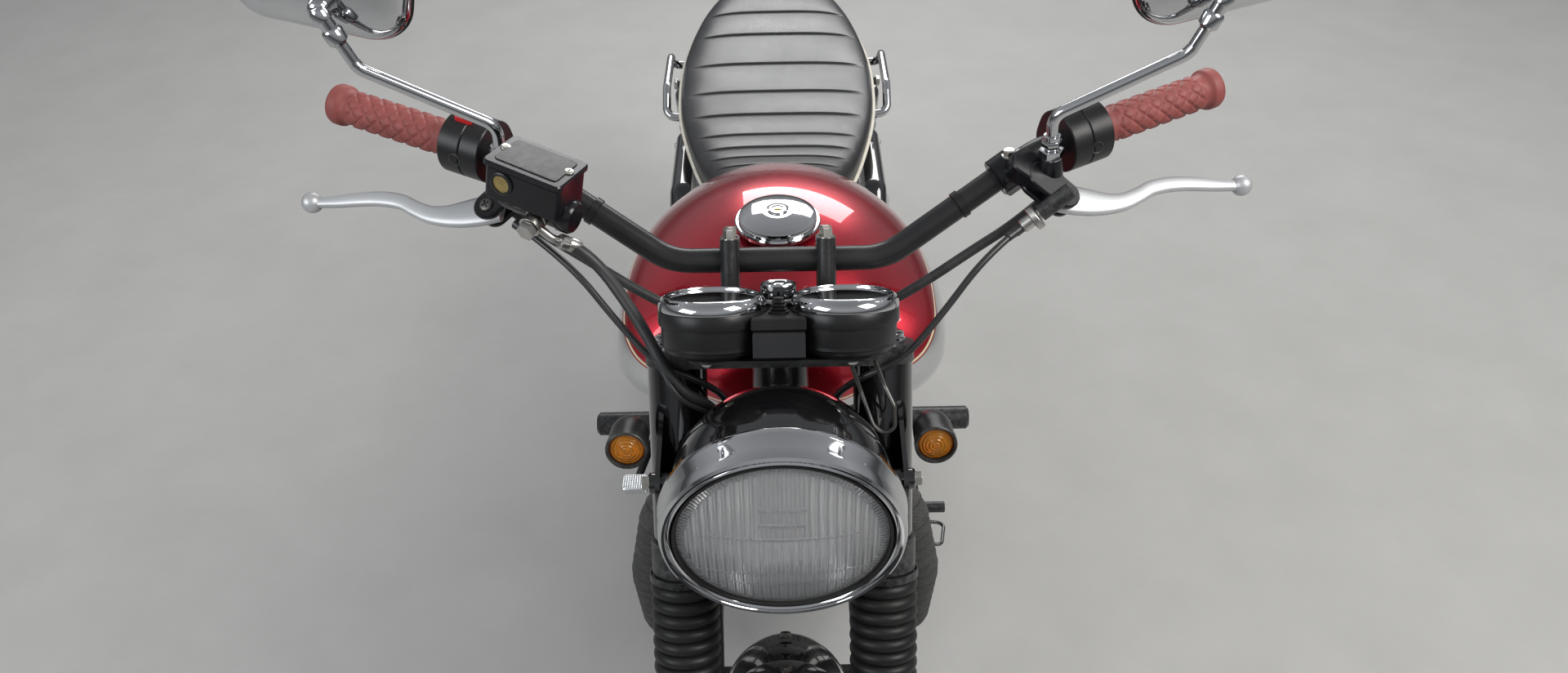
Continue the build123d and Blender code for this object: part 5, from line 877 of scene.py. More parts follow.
def dial_marks(x, top, step, small):
    """Ticks and generic numbers round a dial, and its needle."""
    base = moved(FORK, x, CLOCK_BACK, 729.0)
    span, start = radians(270), radians(225)
    count = top // step
    for i in range(count * small + 1):
        a = start - span * i / (count * small)
        big = i % small == 0
        turned = base @ Matrix.Rotation(a, 4, "Z")
        w, inner = (0.8, 29) if big else (0.4, 31.5)
        slab([(inner, -w), (35, -w), (35, w), (inner, w)], turned, 0, 0.3, 0.05, 0)
    needle = base @ Matrix.Rotation(start, 4, "Z")
    slab([(-8, -1.1), (27, -0.45), (27, 0.45), (-8, 1.1)], needle, 1.6, 2.2, 0.15, 1)
    lathe([(4.6, 0.2), (4.6, 2.6), (3.4, 3.4), (0.1, 3.4)], base, 24, 2, caps=False)
    for i in range(count + 1):
        a = start - span * i / count
        text = bpy.data.curves.new("number", "FONT")
        text.body = str(i * step)
        text.size = 6.4
        text.align_x = text.align_y = "CENTER"
        holder = bpy.data.objects.new("number", text)
        flat = bpy.data.meshes.new_from_object(holder)
        flat.transform(moved(base, 24 * cos(a), 24 * sin(a), 0.25))
        before = len(bm.faces)
        bm.from_mesh(flat)
        bm.faces.ensure_lookup_table()
        for f in bm.faces[before:]:
            f.material_index = 0
        bpy.data.objects.remove(holder)
        bpy.data.meshes.remove(flat)
        bpy.data.curves.remove(text)


dial_marks(CLOCK_X, 120, 20, 4)
dial_marks(-CLOCK_X, 10, 1, 2)
piece("dial_marks", "steering", [dial_white, needle_red, dial_black])

# yokes and risers

for x in (-42.5, 42.5):
    for v in (24.5, 47.5):
        bolt(fork(x, v, 772.4), axis_of(FORK, 2), 5.4, 8.5)
piece("riser_bolts", "steering", [nut_colour])
for x in (-LEG_X, LEG_X):
    m = moved(FORK, x, 0, 0)
    lathe([(17.5, 688.5), (18.6, 689.4), (18.4, 692), (16, 693.4), (9, 693.8), (9, 692.6), (0.1, 692.6)], m, 48,
          caps=False)
m = moved(FORK, 0, 54.04, 0)
lathe([(16.5, 692.5), (17.2, 694), (16.4, 697.4), (13.5, 700.6), (8, 702.4), (0.1, 702.8)], m, 48, caps=False)
piece("fork_caps", "steering", [chrome], 30)
for side in (-1, 1):
    for level in (676, 492):
        bolt(fork(side * 62, -30 if level > 600 else -31, level), axis_of(FORK, 1) * -1, 5, 6, "cap")
piece("yoke_pinch_bolts", "steering", [nut_colour])

# grips


def diamond(s, turn):
    """How far a quilted grip's surface stands: pillows between two families of slanting grooves."""
    near = min(abs(q - round(q)) for q in (s / 15.0 + turn * 7 / TAU, s / 15.0 - turn * 7 / TAU))
    return 1.7 * (1 - exp(-((near / 0.12) ** 2)))


m = bar_frame(0)
GRIP_R, GRIP_FROM, GRIP_TO = 15.1, 12, 112
rings = []
for j in range(132, -1, -1):
    s = GRIP_FROM + (GRIP_TO - GRIP_FROM) * j / 132
    fade = max(min(1, (s - GRIP_FROM) / 6, (GRIP_TO - s) / 6), 0)
    radii = [GRIP_R + diamond(s, TAU * i / 96) * fade for i in range(96)]
    rings.append([on(m, x, y, -s) for x, y in polar(radii)])
loft(rings, caps=False)
lathe([(11.4, -130), (18.2, -130), (19, -128.6), (19, -125.5), (18.2, -124.4), (16.6, -123.6), (15.2, -121),
       (15.1, -112)], m, 96, caps=False)
lathe([(15.1, -12), (15.4, -9), (17.2, -6.6), (18.6, -5.4), (19, -3.6), (19, 3.0), (18.0, 5.2), (15, 6), (6, 6.2),
       (5, 5.2), (0.1, 5)], m, 96, caps=False)
piece("quilted_grips", "steering", [grip_rubber], 75, mirror=True, stands_for="grips")

# levers and perches

along = (LEVER_TIP - LEVER_PIVOT).normalized()
grip_mid = BAR_END - BAR_OUT * 65
lever_up = along.cross(grip_mid - (LEVER_PIVOT + LEVER_TIP) / 2).normalized()
LEVER = frame_at(LEVER_PIVOT, lever_up, along)
REACH = (LEVER_TIP - LEVER_PIVOT).length


def lever_blade():
    """A dog-leg blade that ends in a ball."""
    line = [(-10, 0, 10.5, 4.6), (2, -1, 13, 4.6), (14, -3, 13.4, 4.8), (28, -6, 12, 4.8), (44, -8, 9.6, 4.6),
            (60, -7, 8.0, 4.4), (76, -2, 7.2, 4.3), (88, 3, 7.0, 4.2), (102, 5.5, 7.0, 4.1), (118, 6, 6.8, 4.0),
            (136, 4.5, 6.4, 4.0), (152, 2.4, 5.8, 4.0), (166, 0.8, 5.0, 4.0), (176, 0, 4.6, 4.0)]
    fine = []
    for i in range(len(line) - 1):
        p0, p1, p2, p3 = (line[max(i - 1, 0)], line[i], line[i + 1], line[min(i + 2, len(line) - 1)])
        for s in range(4):
            t = s / 4
            fine.append([0.5 * (2 * b + (c - a) * t + (2 * a - 5 * b + 4 * c - d) * t * t
                                + (3 * b - a - 3 * c + d) * t ** 3) for a, b, c, d in zip(p0, p1, p2, p3)])
    fine.append(line[-1])
    rings = []
    for i, (s, t, half, thick) in enumerate(fine):
        a, b = fine[max(i - 1, 0)], fine[min(i + 1, len(fine) - 1)]
        run = Vector((b[0] - a[0], b[1] - a[1], 0)).normalized()
        side = Vector((-run.y, run.x, 0))
        ring = []
        for k in range(20):
            turn = TAU * k / 20
            c, q = cos(turn), sin(turn)
            ring.append(LEVER @ (Vector((s, t, 0)) + side * half * copysign(abs(c) ** 0.75, c)
                                 + Vector((0, 0, thick * copysign(abs(q) ** 0.7, q)))))
        rings.append(ring)
    loft(rings)
    ball = frame_at(on(LEVER, REACH, 0, 0), lever_up, along)
    lathe([(9.6 * sin(pi * i / 14), -9.6 * cos(pi * i / 14)) for i in range(15)], ball, 28, caps=False)


lever_blade()
piece("hand_lever_blades", "steering", [lever_alloy], 60, mirror=True, stands_for="hand_levers")

RUN_IN = (Vector(BAR_RUN[2]) - Vector(BAR_RUN[1])).normalized()
CLAMP = Vector(BAR_RUN[2]) - RUN_IN * 32
ARM = LEVER_PIVOT - CLAMP
BAR_UP = (Vector(UP) - BAR_OUT * BAR_OUT.z).normalized()
MIRROR_FOOT = CLAMP + ARM * 0.62 + BAR_UP * 26 + RUN_IN * 10
local_clamp = LEVER.inverted() @ CLAMP


def hull(circles):
    """The outline round a few circles given as (x, y, radius), counter-clockwise."""
    points = [(x + r * cos(TAU * i / 40), y + r * sin(TAU * i / 40)) for x, y, r in circles for i in range(40)]
    points = sorted(set((round(x, 4), round(y, 4)) for x, y in points))

    def half(source):
        out = []
        for x, y in source:
            while len(out) > 1:
                (ax, ay), (bx, by) = out[-2:]
                if (bx - ax) * (y - ay) > (by - ay) * (x - ax):
                    break
                out.pop()
            out.append((x, y))
        return out[:-1]

    return half(points) + half(points[::-1])


def perch():
    """A clamp round the bar, with an arm that forks over the lever's root."""
    cx, cy = local_clamp.x, local_clamp.y
    web = hull([(0, 0, 12.5), (cx * 0.5, cy * 0.5, 13), (cx * 0.55 + 6, cy * 0.5 - 6, 10)])
    slab(web, LEVER, 5.2, 10.5, 1.2)
    slab(web, LEVER, -10.5, -5.2, 1.2)
    slab(hull([(cx * 0.42, cy * 0.42, 9), (cx * 0.86, cy * 0.86, 13)]), LEVER, -10, 10, 1.5)
    ring = frame_at(CLAMP, RUN_IN)
    lathe(collar(11.3, 17.6, 10), ring, 48, loop=True)
    bulk = frame_at(CLAMP + ARM.normalized() * 4, RUN_IN, ARM)
    slab(round_rect(26, 30, 4), bulk, -9.4, 9.4, 1.2)
    boss = frame_at(MIRROR_FOOT - BAR_UP * 30, BAR_UP)
    lathe([(11.5, 0), (11.5, 10), (10.2, 26), (9.4, 30)], boss, 32)


perch()
piece("perch_castings", "steering", [cast_black], 40, mirror=True, stands_for="lever_perches")

bolt(on(LEVER, 0, 0, 10.4), lever_up, 6.4, 3.4, "cross", 1, washer=False)
bolt(on(LEVER, 0, 0, -10.4), -lever_up, 6.2, 5, "hex", washer=False)
for out, up in ((2, 17), (19, 12)):
    bolt(CLAMP + ARM.normalized() * out + BAR_UP * up + RUN_IN * 2, BAR_UP, 5.2, 6)
piece("perch_bolts", "steering", [nut_colour, dark_steel], 35, mirror=True)

# reservoir and master cylinder, on the right

POT = frame_at((-194, -408, 1105), (0.2, 0.0, 0.98), (0.87, -0.38, -0.22))
slab(round_rect(68, 46, 5), POT, -36, -6.2, 1.4)
slab(round_rect(72, 50, 5.5), POT, -6.4, -0.6, 1.3)
slab(round_rect(58, 37, 4), POT, -1.0, 0.35, 0.4, 1)
cyl = frame_at(on(POT, 0, 2, -42), axis_of(POT, 0), axis_of(POT, 1))
lathe([(0.1, -30), (9, -30), (12.4, -28), (13.6, -24), (13.6, 26), (14.6, 27), (14.6, 36), (12.4, 39), (0.1, 39)],
      cyl, 40)
slab(round_rect(48, 24, 5), POT, -43, -34, 1)
piece("reservoir", "steering", [cast_black, satin_black], 40)

for x in (-30, 29):
    bolt(on(POT, x, 2, -0.6), axis_of(POT, 2), 4.6, 2.4, "cross", washer=False)
face = frame_at(on(POT, -17, -23.2, -18), axis_of(POT, 1) * -1)
lathe([(10.2, -0.5), (10.2, 1.2), (9.0, 2.0), (7.6, 2.0), (7.4, 0.8)], face, 40, 1, caps=False)
lathe([(7.5, 1.0), (0.1, 1.3)], face, 32, 2, caps=False)
piece("reservoir_screws", "steering", [nut_colour, moulded_black, brass], 35)

# Banjo bolt, eye and crimped end of the brake hose
BANJO = on(POT, 12, -14, -44)
banjo_axis = (axis_of(POT, 1) * -0.9 - axis_of(POT, 2) * 0.25).normalized()
eye = frame_at(BANJO, banjo_axis)
lathe([(0.1, 0), (9.4, 0), (9.4, 2), (8.6, 2.4), (8.6, 9.6), (9.4, 10), (9.4, 12), (0.1, 12)], eye, 32)
bolt(on(eye, 0, 0, 12), banjo_axis, 8.0, 7.5, "hex", washer=False)
HOSE_START = BANJO + banjo_axis * 6 + Vector((14, -5, -12))
hose_way = Vector((0.66, 0.42, -0.62)).normalized()
sweep(rounded([BANJO + banjo_axis * 6, HOSE_START, HOSE_START + hose_way * 12], 8), 3.6, 14)
sleeve = frame_at(HOSE_START + hose_way * 8, hose_way)
lathe([(3.6, 0), (5.6, 0.5), (6.4, 1.5), (6.4, 7), (5.5, 8), (5.5, 9.6), (6.2, 10.6), (6.2, 20), (5.4, 21)], sleeve,
      28)
piece("banjo", "steering", [steel], 35)

# switch housings

SWITCH_MID = (7.5, -7.5)
for low, high in ((-173.5, -154.3), (-153.9, -132.3)):
    slab(hull([(0, 0, 23.4), (*SWITCH_MID, 28)]), bar_frame(0), low, high, 0.9)
m = bar_frame(153)
lathe([(6.2, -1.2), (6.0, 1.0), (5.0, 1.4), (4.2, 0.6), (3.8, -1.0), (0.1, -1.0)],
      frame_at(on(m, 34.6, -8, 2), axis_of(m, 0)), 32, 1)
piece("switch_shells", "steering", [moulded_black, satin_black], 35, mirror=True, stands_for="switch_housings")

for x, y, z, w, h, finish in ((-12, 20.5, 6, 12, 8, 1), (-21, 8, 8, 12, 8, 0), (-22, -4, -6, 10, 7, 0)):
    way = (m.to_3x3() @ Vector((x, y, 0))).normalized()
    slab(round_rect(w, h, 2), frame_at(on(m, x, y, z), way, BAR_OUT), -3, 4.6, 0.8, finish)
piece("switch_buttons", "steering", [rubber, moulded_black], 35, mirror=True)
way = (BAR_UP + Vector((0, -0.15, 0))).normalized()
# On the right alone
slab(round_rect(17, 10, 2), FLIP @ frame_at(on(m, *SWITCH_MID, 6) + way * 27, way, BAR_OUT), -4, 6.0, 0.9)
piece("stop_switch", "steering", [red_switch], 35)

# clutch adjuster, on the left

ADJUST = on(LEVER, -26, -13, 0)
adjust_way = Vector((-0.72, -0.10, -0.60)).normalized()
b = frame_at(ADJUST, adjust_way)
lathe([(5, -16), (5, 0), (10.6, 0.4), (11.4, 1.2), (11.4, 5.6), (10.6, 6.4), (6.2, 6.6), (6.2, 16), (5.4, 17),
       (4.4, 17.4), (4.4, 24), (3.4, 24.5)], b, 40)
piece("clutch_adjuster", "steering", [steel], 35)
sweep([ADJUST - adjust_way * 34, ADJUST - adjust_way * 2], 7.5, 20)
piece("clutch_adjuster_boss", "steering", [satin_black], 35)

# mirrors

MIRROR_MID = Vector((352, -345, 1240))
TILT = radians(14.6)
MIRROR = frame_at(MIRROR_MID, AHEAD, (cos(TILT), 0, sin(TILT)))
back_shell = []
for inset, depth in ((0, 0.4), (-0.4, 3), (0.4, 6), (3.5, 9.4), (9, 12), (17, 13.6), (28, 14.2), (40, 14.4)):
    outline = round_rect(140 - 2 * inset, 92 - 2 * inset, max(32 - inset, 5), 12)
    back_shell.append([on(MIRROR, x, y, depth) for x, y in outline])
loft(back_shell)
outline = [on(MIRROR, x, y, 1.2) for x, y in round_rect(139, 91, 31.5, 12)]
rim = [[p + (MIRROR_MID - p).normalized() * r * cos(a) + Vector(AHEAD) * r * sin(a) for p in outline]
       for r, a in ((2.4, TAU * i / 8) for i in range(8))]
loft(rim, 1, loop=True)
slab(round_rect(136, 88, 30, 12), MIRROR, -0.3, 0.6, 0.2, 2)
foot = MIRROR_FOOT
stem_end = MIRROR_MID + Vector((0, -12, -20))
path = rounded([foot, foot + BAR_UP * 40, Vector((332, -374, 1172)), stem_end + Vector((0, -16, 0)), stem_end],
               [16, 20, 6], 8)
total = len(path)
sweep(path, lambda i: 5.2 if i < total - 12 else 5.0, 18, 3)
nut = frame_at(foot, BAR_UP)
lathe([(9.4, -1), (9.4, 1), (7.4, 1.4)], nut, 32, 3)
for across, low, high in ((18.6, 1, 8.5), (15, 10.5, 17)):
    levels = ((0.92, low), (1, low + 0.8), (1, high - 0.8), (0.92, high), (0.6, high))
    loft([[on(nut, x * k, y * k, z) for x, y in polar(hex_radii(across))] for k, z in levels], 3)
lathe([(6.6, 17), (7.4, 18), (7.2, 21.5), (5.4, 22.5)], nut, 32, 3)
knuckle = Vector((332, -374, 1172))
lean = (stem_end + Vector((0, -16, 0)) - knuckle).normalized()
j = frame_at(knuckle + lean * 22, lean)
lathe([(5.2, 0), (8.4, 3), (8.6, 12), (7.6, 14), (6.4, 15), (6.4, 22), (7.8, 23), (7.8, 30), (5.4, 33)], j, 32, 3)
knob = frame_at(stem_end + Vector((0, -12, 0)), BACK)
lathe([(0.1, -7), (5, -6.6), (8, -4), (9, 0), (9.4, 5), (11, 9), (11.5, 12)], knob, 32, 3)
piece("mirror_heads", "steering", [chrome, rubber, mirror_glass, chrome], 40, mirror=True, stands_for="mirrors")

# tank


def curve_at(table, y):
    """A smooth value from rows whose first column is y."""
    rows = sorted(table)
    if y <= rows[0][0]:
        return list(rows[0][1:])
    if y >= rows[-1][0]:
        return list(rows[-1][1:])
    i = max(k for k in range(len(rows) - 1) if rows[k][0] <= y)
    a, b = rows[i], rows[i + 1]
    before, after = rows[max(i - 1, 0)], rows[min(i + 2, len(rows) - 1)]
    t = (y - a[0]) / (b[0] - a[0])
    out = []
    for k in range(1, len(a)):
        span = b[0] - a[0]
        m0 = (b[k] - before[k]) / (b[0] - before[0]) * span
        m1 = (after[k] - a[k]) / (after[0] - a[0]) * span
        out.append((2 * t ** 3 - 3 * t ** 2 + 1) * a[k] + (t ** 3 - 2 * t ** 2 + t) * m0
                   + (3 * t ** 2 - 2 * t ** 3) * b[k] + (t ** 3 - t ** 2) * m1)
    return out


# Rows of: y, half width, height of the widest line, top, half width of the base, height of the base
TANK = [(-390, 62, 838, 868, 40, 806), (-350, 146, 826, 912, 90, 792), (-290, 172, 820, 944, 114, 784),
        (-200, 166, 818, 949, 116, 782), (-110, 136, 816, 922, 100, 782), (-40, 96, 815, 882, 74, 784),
        (-10, 74, 815, 852, 50, 786)]
TANK_FRONT, TANK_REAR = TANK[0][0], TANK[-1][0]
SHOULDER = radians(52)


def tank_ring(y, shrink=0.0):
    """A section of the tank: a flat base, bellied flanks, round shoulders and a flat crown."""
    half, wide_z, top, base, base_z = curve_at(TANK, y)
    reach = (1 - sin(SHOULDER)) / cos(SHOULDER)
    side_r = (top - wide_z - half * reach) / (1 - reach)
    tx, tz = half - side_r + side_r * cos(SHOULDER), wide_z + side_r * sin(SHOULDER)
    crown_r = (tx * tx + (top - tz) ** 2) / (2 * (top - tz))
    d, h = half - base, wide_z - base_z
    low_r = (d * d + h * h) / (2 * d)
    low_turn = asin(min(1, h / low_r))
    right = [(base * t, base_z) for t in (0.0, 0.25, 0.5, 0.75)]
    right += [(half - low_r + low_r * cos(low_turn * (1 - t / 8)), wide_z - low_r * sin(low_turn * (1 - t / 8)))
              for t in range(9)]
    right += [(half - side_r + side_r * cos(SHOULDER * t / 10), wide_z + side_r * sin(SHOULDER * t / 10))
              for t in range(1, 11)]
    start = asin(tx / crown_r)
    right += [(crown_r * sin(start * (1 - t / 10)), top - crown_r + crown_r * cos(start * (1 - t / 10)))
              for t in range(1, 11)]
    ring = right + [(-x, z) for x, z in right[-2:0:-1]]
    cz = (top + base_z) / 2
    k = 1 - shrink
    return [Vector((x * k, y, cz + (z - cz) * k)) for x, z in ring]


rings = [tank_ring(TANK_FRONT, s) for s in (0.5, 0.25)]
rings += [tank_ring(TANK_FRONT + (TANK_REAR - TANK_FRONT) * i / 96) for i in range(97)]
loft(rings + [tank_ring(TANK_REAR, s) for s in (0.3, 0.6)])
piece("fuel_tank_skin", "frame", [tank_red], 50, subdivide=1, stands_for="fuel_tank")

low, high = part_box("fuel_cap")
cap_z = low.z / MM
cap_y = (low.y + high.y) / 2 / MM
m = frame_at((0, cap_y, cap_z), UP)
lathe([(41.5, -3), (42, 0.6), (41, 2.0), (38.6, 2.0)], m, 96, caps=False)
lathe([(38.2, 1.0), (38.6, 4.4), (37.8, 6.6), (35.6, 8.2), (31, 9.6), (24, 11.0), (16, 12.0), (11, 12.4),
       (10.4, 12.2), (10.0, 11.4), (9.4, 11.2), (9.2, 12.6), (8.4, 13.4), (7.2, 13.5), (6.8, 12.6), (0.1, 12.6)], m,
      96, caps=False)
slab([(-4, -0.7), (4, -0.7), (4, 0.7), (-4, 0.7)], m, 12.5, 13.0, 0.1, 1)
lathe([(3.2, 12.6), (3.2, 13.2), (0.1, 13.2)], moved(m, 0, 0, -0.4), 24, 2, caps=False)
piece("fuel_cap_dome", "frame", [chrome, dial_black, brass], 28, stands_for="fuel_cap")

# seat

SEAT_HALF = [(-12, 66), (30, 84), (110, 108), (228, 131), (330, 138), (420, 136), (520, 122), (589, 104), (640, 80),
             (676, 52), (692, 30), (700, 3)]
SEAT_TOP = [(-12, 846), (20, 836), (70, 822), (130, 814), (228, 810), (330, 811), (450, 816), (560, 822),
            (640, 825), (680, 818), (700, 800)]
SEAMS = [56, 86, 118, 156, 216, 284, 368, 460, 532, 594, 646]


def pleat(y):
    """How deep a sewn seam cuts at y, from 0 to 1, and how full the pad is there."""
    if not SEAMS[0] < y < SEAMS[-1]:
        away = min(abs(y - SEAMS[0]), abs(y - SEAMS[-1]))
        return exp(-((away / 1.9) ** 2)), 0.0
    i = max(k for k in range(len(SEAMS) - 1) if SEAMS[k] <= y)
    gap = SEAMS[i + 1] - SEAMS[i]
    along = (y - SEAMS[i]) / gap
    away = min(along, 1 - along) * gap
    return exp(-((away / 1.9) ** 2)), sin(pi * along) ** 0.8 * min(1.0, gap / 60)


def seat_point(y, turn):
    """A point of the seat's skin; turn runs from 0 at the right base edge over the top to 1."""
    half = curve_at(SEAT_HALF, y)[0]
    top = curve_at(SEAT_TOP, y)[0]
    widest = 790.0
    a = pi * turn
    x = -cos(a)
    lift = sin(a)
    px = half * copysign(abs(x) ** 0.62, x)
    pz = widest + (top - widest) * lift ** 0.62
    groove, full = pleat(y)
    flat = max(0.0, 1 - (abs(px) / (half * 0.93)) ** 6)
    pz += (full * 1.8 - groove * 2.2) * flat * min(1, lift * 1.4)
    return Vector((px, y, pz))


def seat_ring(y):
    """A section of the seat, from its skin round the tucked edge and underneath."""
    half = curve_at(SEAT_HALF, y)[0]
    over = [seat_point(y, i / 48) for i in range(49)]
    tuck = [Vector((half * 0.985, y, 783)), Vector((half * 0.955, y, 777.5)), Vector((half * 0.9, y, 775.8))]
    under = [Vector((half * k, y, 775.6)) for k in (0.6, 0.2, -0.2, -0.6)]
    return over + tuck + under + [Vector((-p.x, y, p.z)) for p in tuck[::-1]]


def densest(y0, y1):
    """Stations along the seat, closer together over each seam."""
    out, y = [], y0
    while y < y1:
        out.append(y)
        y += 1.0 if min(abs(y - seam) for seam in SEAMS) < 5.5 else 4.0
    return out + [y1]


loft([seat_ring(y) for y in densest(-12.0, 699.5)])
seat = piece("seat_pad", "frame", [leather], 180, stands_for="seat")

edge = [y for y in range(-12, 640, 12)] + [640, 650, 660, 668, 676, 682, 688, 692, 695, 697, 698.5]
line = [Vector((-curve_at(SEAT_HALF, y)[0] - 1.6, y, 789.0)) for y in edge]
line += [Vector((0, 701.5, 789.0))] + [Vector((-p.x, p.y, p.z)) for p in line[::-1]]
sweep(line, 2.8, 12)
piece("seat_piping", "frame", [cream], 60)

# Cords on their routes, from the bar's middle: across, backward and upward

BAR_MIDDLE = Vector(BAR_RUN[0])
CABLE_ROUTE = [(222, -11, 48), (178, -42, 32), (136, -74, -12), (104, -99, -37), (66, -99, -57), (46, -85, -89),
               (40, -85, -135), (38, -107, -179)]
LOOM_ROUTE = [(212, 12, 27), (172, -4, 9), (134, -17, -12), (100, -23, -32)]
HOSE_ROUTE = [(-116, -82, -4), (-88, -122, -45), (-60, -107, -77), (-54, -91, -113), (-55, -93, -147),
              (-56, -117, -183)]
LOW_HOSE_ROUTE = [(-64, 34, 476.7), (-64, 34, 457), (-64, 46, 417), (-66, 62, 300), (-64, 66, 220)]


def from_bar(rows, side=1):
    """A route given from the bar's middle, or its twin on the other side."""
    return [BAR_MIDDLE + Vector((side * x, y, z)) for x, y, z in rows]


clutch_end = ADJUST + adjust_way * 18
cables = []
for side in (1, -1):
    route = from_bar(CABLE_ROUTE, side) + [fork(side * 38, 12, 527), fork(side * 38, 12, 507.3)]
    if side > 0:
        route[0] = clutch_end
    cables.append(route)
flexible("control_cable_pair", cables, 3.0, cord_black, "control_cables")
loom_start = BAR_END - BAR_OUT * 173.3 + Vector((-2, -26, -34))
loom = [loom_start] + from_bar(LOOM_ROUTE) + [fork(72, 34, 704), fork(72, 34, 684.3)]
flexible("switch_looms", [loom, [Vector((-p.x, p.y, p.z)) for p in loom]], 4.5, loom_tape)
upper = [HOSE_START + hose_way * 12,
         HOSE_START + hose_way * 40] + from_bar(HOSE_ROUTE) + [fork(-56, 1, 527), fork(-56, 1, 507.3)]
lower = [fork(*p) for p in LOW_HOSE_ROUTE]
low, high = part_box("brake_caliper")
lower += [Vector((-60, (low.y + high.y) / 2 / MM, high.z / MM + above)) for above in (16, -4)]
flexible("brake_hoses", [upper, lower], 5.2, hose_rubber, "brake_hose")

# A thin breather lead that runs under the hose, and the straps and ferrules on the cords
lead = [p + Vector((2, -6.5, -5)) for p in rounded(upper[1:6], 30, 6)]
sweep(lead, 2.2, 12)
for start, ahead in (cable[:2] for cable in cables):
    lathe([(3.1, -4), (4.6, -3.4), (4.6, 7), (3.9, 9), (3.6, 17), (3.1, 17.4)],
          frame_at(start, (Vector(ahead) - Vector(start)).normalized()), 24)
piece("hose_lead", "steering", [cord_black], 40)

for inboard in (214.0, 262.0):
    spot = Vector(BAR_RUN[2]) - RUN_IN * (inboard - 182)
    lathe(hoop(11.3, 12.7, 3.4, 3.0), frame_at(spot, RUN_IN), 40, loop=True)
piece("bar_straps", "steering", [moulded_black], 40, mirror=True)

# The wire that guides the clutch cable past the lamp
wire = rounded([(26, -474, 948), (50, -468, 950), (60, -470, 940), (68.5, -500, 927.5), (77, -524, 913),
                (86, -530, 908), (95, -528, 915), (94, -521, 932), (87, -510, 943), (80, -486, 952)],
               [5, 8, 20, 12, 7, 7, 8, 10], 5)
sweep(wire, 2.0, 12)
bolt((26, -476, 948), (0, -0.5, 0.86), 4.4, 4)
piece("cable_guide", "steering", [dark_steel], 40)

# Front indicators

LAMP_SPOT = Vector((130, -509, 891))
FACING = Vector((0, -0.978, 0.208))
m = frame_at(LAMP_SPOT, FACING)
lathe([(0.1, -20), (5, -19.6), (9.5, -18), (13, -15), (15.4, -10.5), (16.8, -5), (17.2, 2), (17.2, 16), (18.0, 17),
       (18.0, 22.6), (17.2, 23.4), (15.8, 23.2), (15.0, 21.8), (14.8, 18)], m, 64, 0, caps=False)
lathe([(6.2, 0), (6.2, 10), (9.4, 12), (9.4, 14.5), (7, 15.4)], frame_at(LAMP_SPOT - Vector((10, 0, 0)), RIGHT), 32,
      0)
bolt(on(m, 0, -16.4, 6), m.to_3x3() @ Vector(AHEAD), 2.2, 1.4, "cross", 1, washer=False)
piece("indicator_bodies", "steering", [satin_black, nut_colour], 35, mirror=True, stands_for="front_indicators")


def ringed_lens(m, radius, high):
    """A domed lens with five concentric steps."""
    profile = [(radius, 0)]
    for i in range(5):
        outer = radius * (1 - i / 5)
        rise = high * sin(pi / 2 * (i + 1) / 5)
        profile += [(outer * 0.985, rise - 0.1), (outer - radius / 5 * 0.55, rise + 0.55)]
    profile.append((0.1, high + 0.9))
    back = [(0.1, -1.4), (radius, -1.4)]
    lathe(back + profile, m, 64, caps=False)


ringed_lens(frame_at(on(m, 0, 0, 18.4), FACING), 14.8, 4.8)
piece("indicator_lenses", "steering", [amber], 50, mirror=True)
lathe([(14.6, 16.6), (12, 12), (8, 8.5), (3, 7.5), (0.1, 7.5)], m, 48, 0, caps=False)
ball = [(3.6 * sin(pi * i / 10), 11.5 - 3.6 * cos(pi * i / 10)) for i in range(11)]
lathe(ball, m, 20, 1, caps=False)
piece("indicator_cups", "steering", [reflector, amber_bulb], 50, mirror=True)

# Fork: gaiter clamps and the fender's bridge

GAITER_R = 31.6
for level in (288.6, 472):
    lathe(hoop(GAITER_R - 1.2, GAITER_R, 3.4, 3.0), moved(FORK, LEG_X, 0, level), 64, loop=True)
    bolt(fork(LEG_X, -GAITER_R - 1.5, level), FORK.to_3x3() @ Vector((0.9, -0.4, 0)), 2.6, 4.5, "cap", washer=False)
piece("gaiter_clamps", "steering", [satin_black], 35, mirror=True)

GUARD_R, GUARD_HALF, GUARD_DROP = 372.0, 58.0, 0.62 * 58.0


def over_guard(turn, x, lift):
    """A point over the front fender's crown. turn is from straight up, backward, in degrees."""
    crown = (GUARD_HALF ** 2 + GUARD_DROP ** 2) / (2 * GUARD_DROP)
    r = GUARD_R - crown + sqrt(crown ** 2 - x * x) + lift
    a = radians(turn)
    return Vector((x, AXLE_Y + r * sin(a), AXLE_Z + r * cos(a)))


def strap(x0, x1, turn0, turn1, lift0, lift1):
    """A pressed strap over the fender, from edge to edge, with its rims turned down."""
    edge = [(turn0, lift0), (turn0, lift1 - 1), (turn0 + 0.4, lift1), (turn1 - 0.4, lift1), (turn1, lift1 - 1),
            (turn1, lift0)]
    stations = [x0 + (x1 - x0) * j / 24 for j in range(25)]
    loft([[over_guard(turn, x, lift) for turn, lift in edge] for x in stations])


strap(-56.5, 56.5, 23.5, 30.5, 0.2, 3.4)
strap(-17, 17, 30.2, 44, 0.2, 2.6)
strap(-12, 12, 20, 24, 0.2, 2.4)
bolt(over_guard(41, 0, 2.6), over_guard(41, 0, 10) - over_guard(41, 0, 0), 5.4, 5.5, "cap", 2)
bolt(over_guard(27, 0, 3.4), over_guard(27, 0, 10) - over_guard(27, 0, 0), 5.0, 4, "hex", 2)
for side in (-1, 1):
    bolt(fork(side * 59.5, 0, 318), (-side, 0, 0), 4.6, 3.4, "hex", 1, washer=False)
piece("fender_bridge", "steering", [gloss_black, nut_colour, dark_steel], 35)

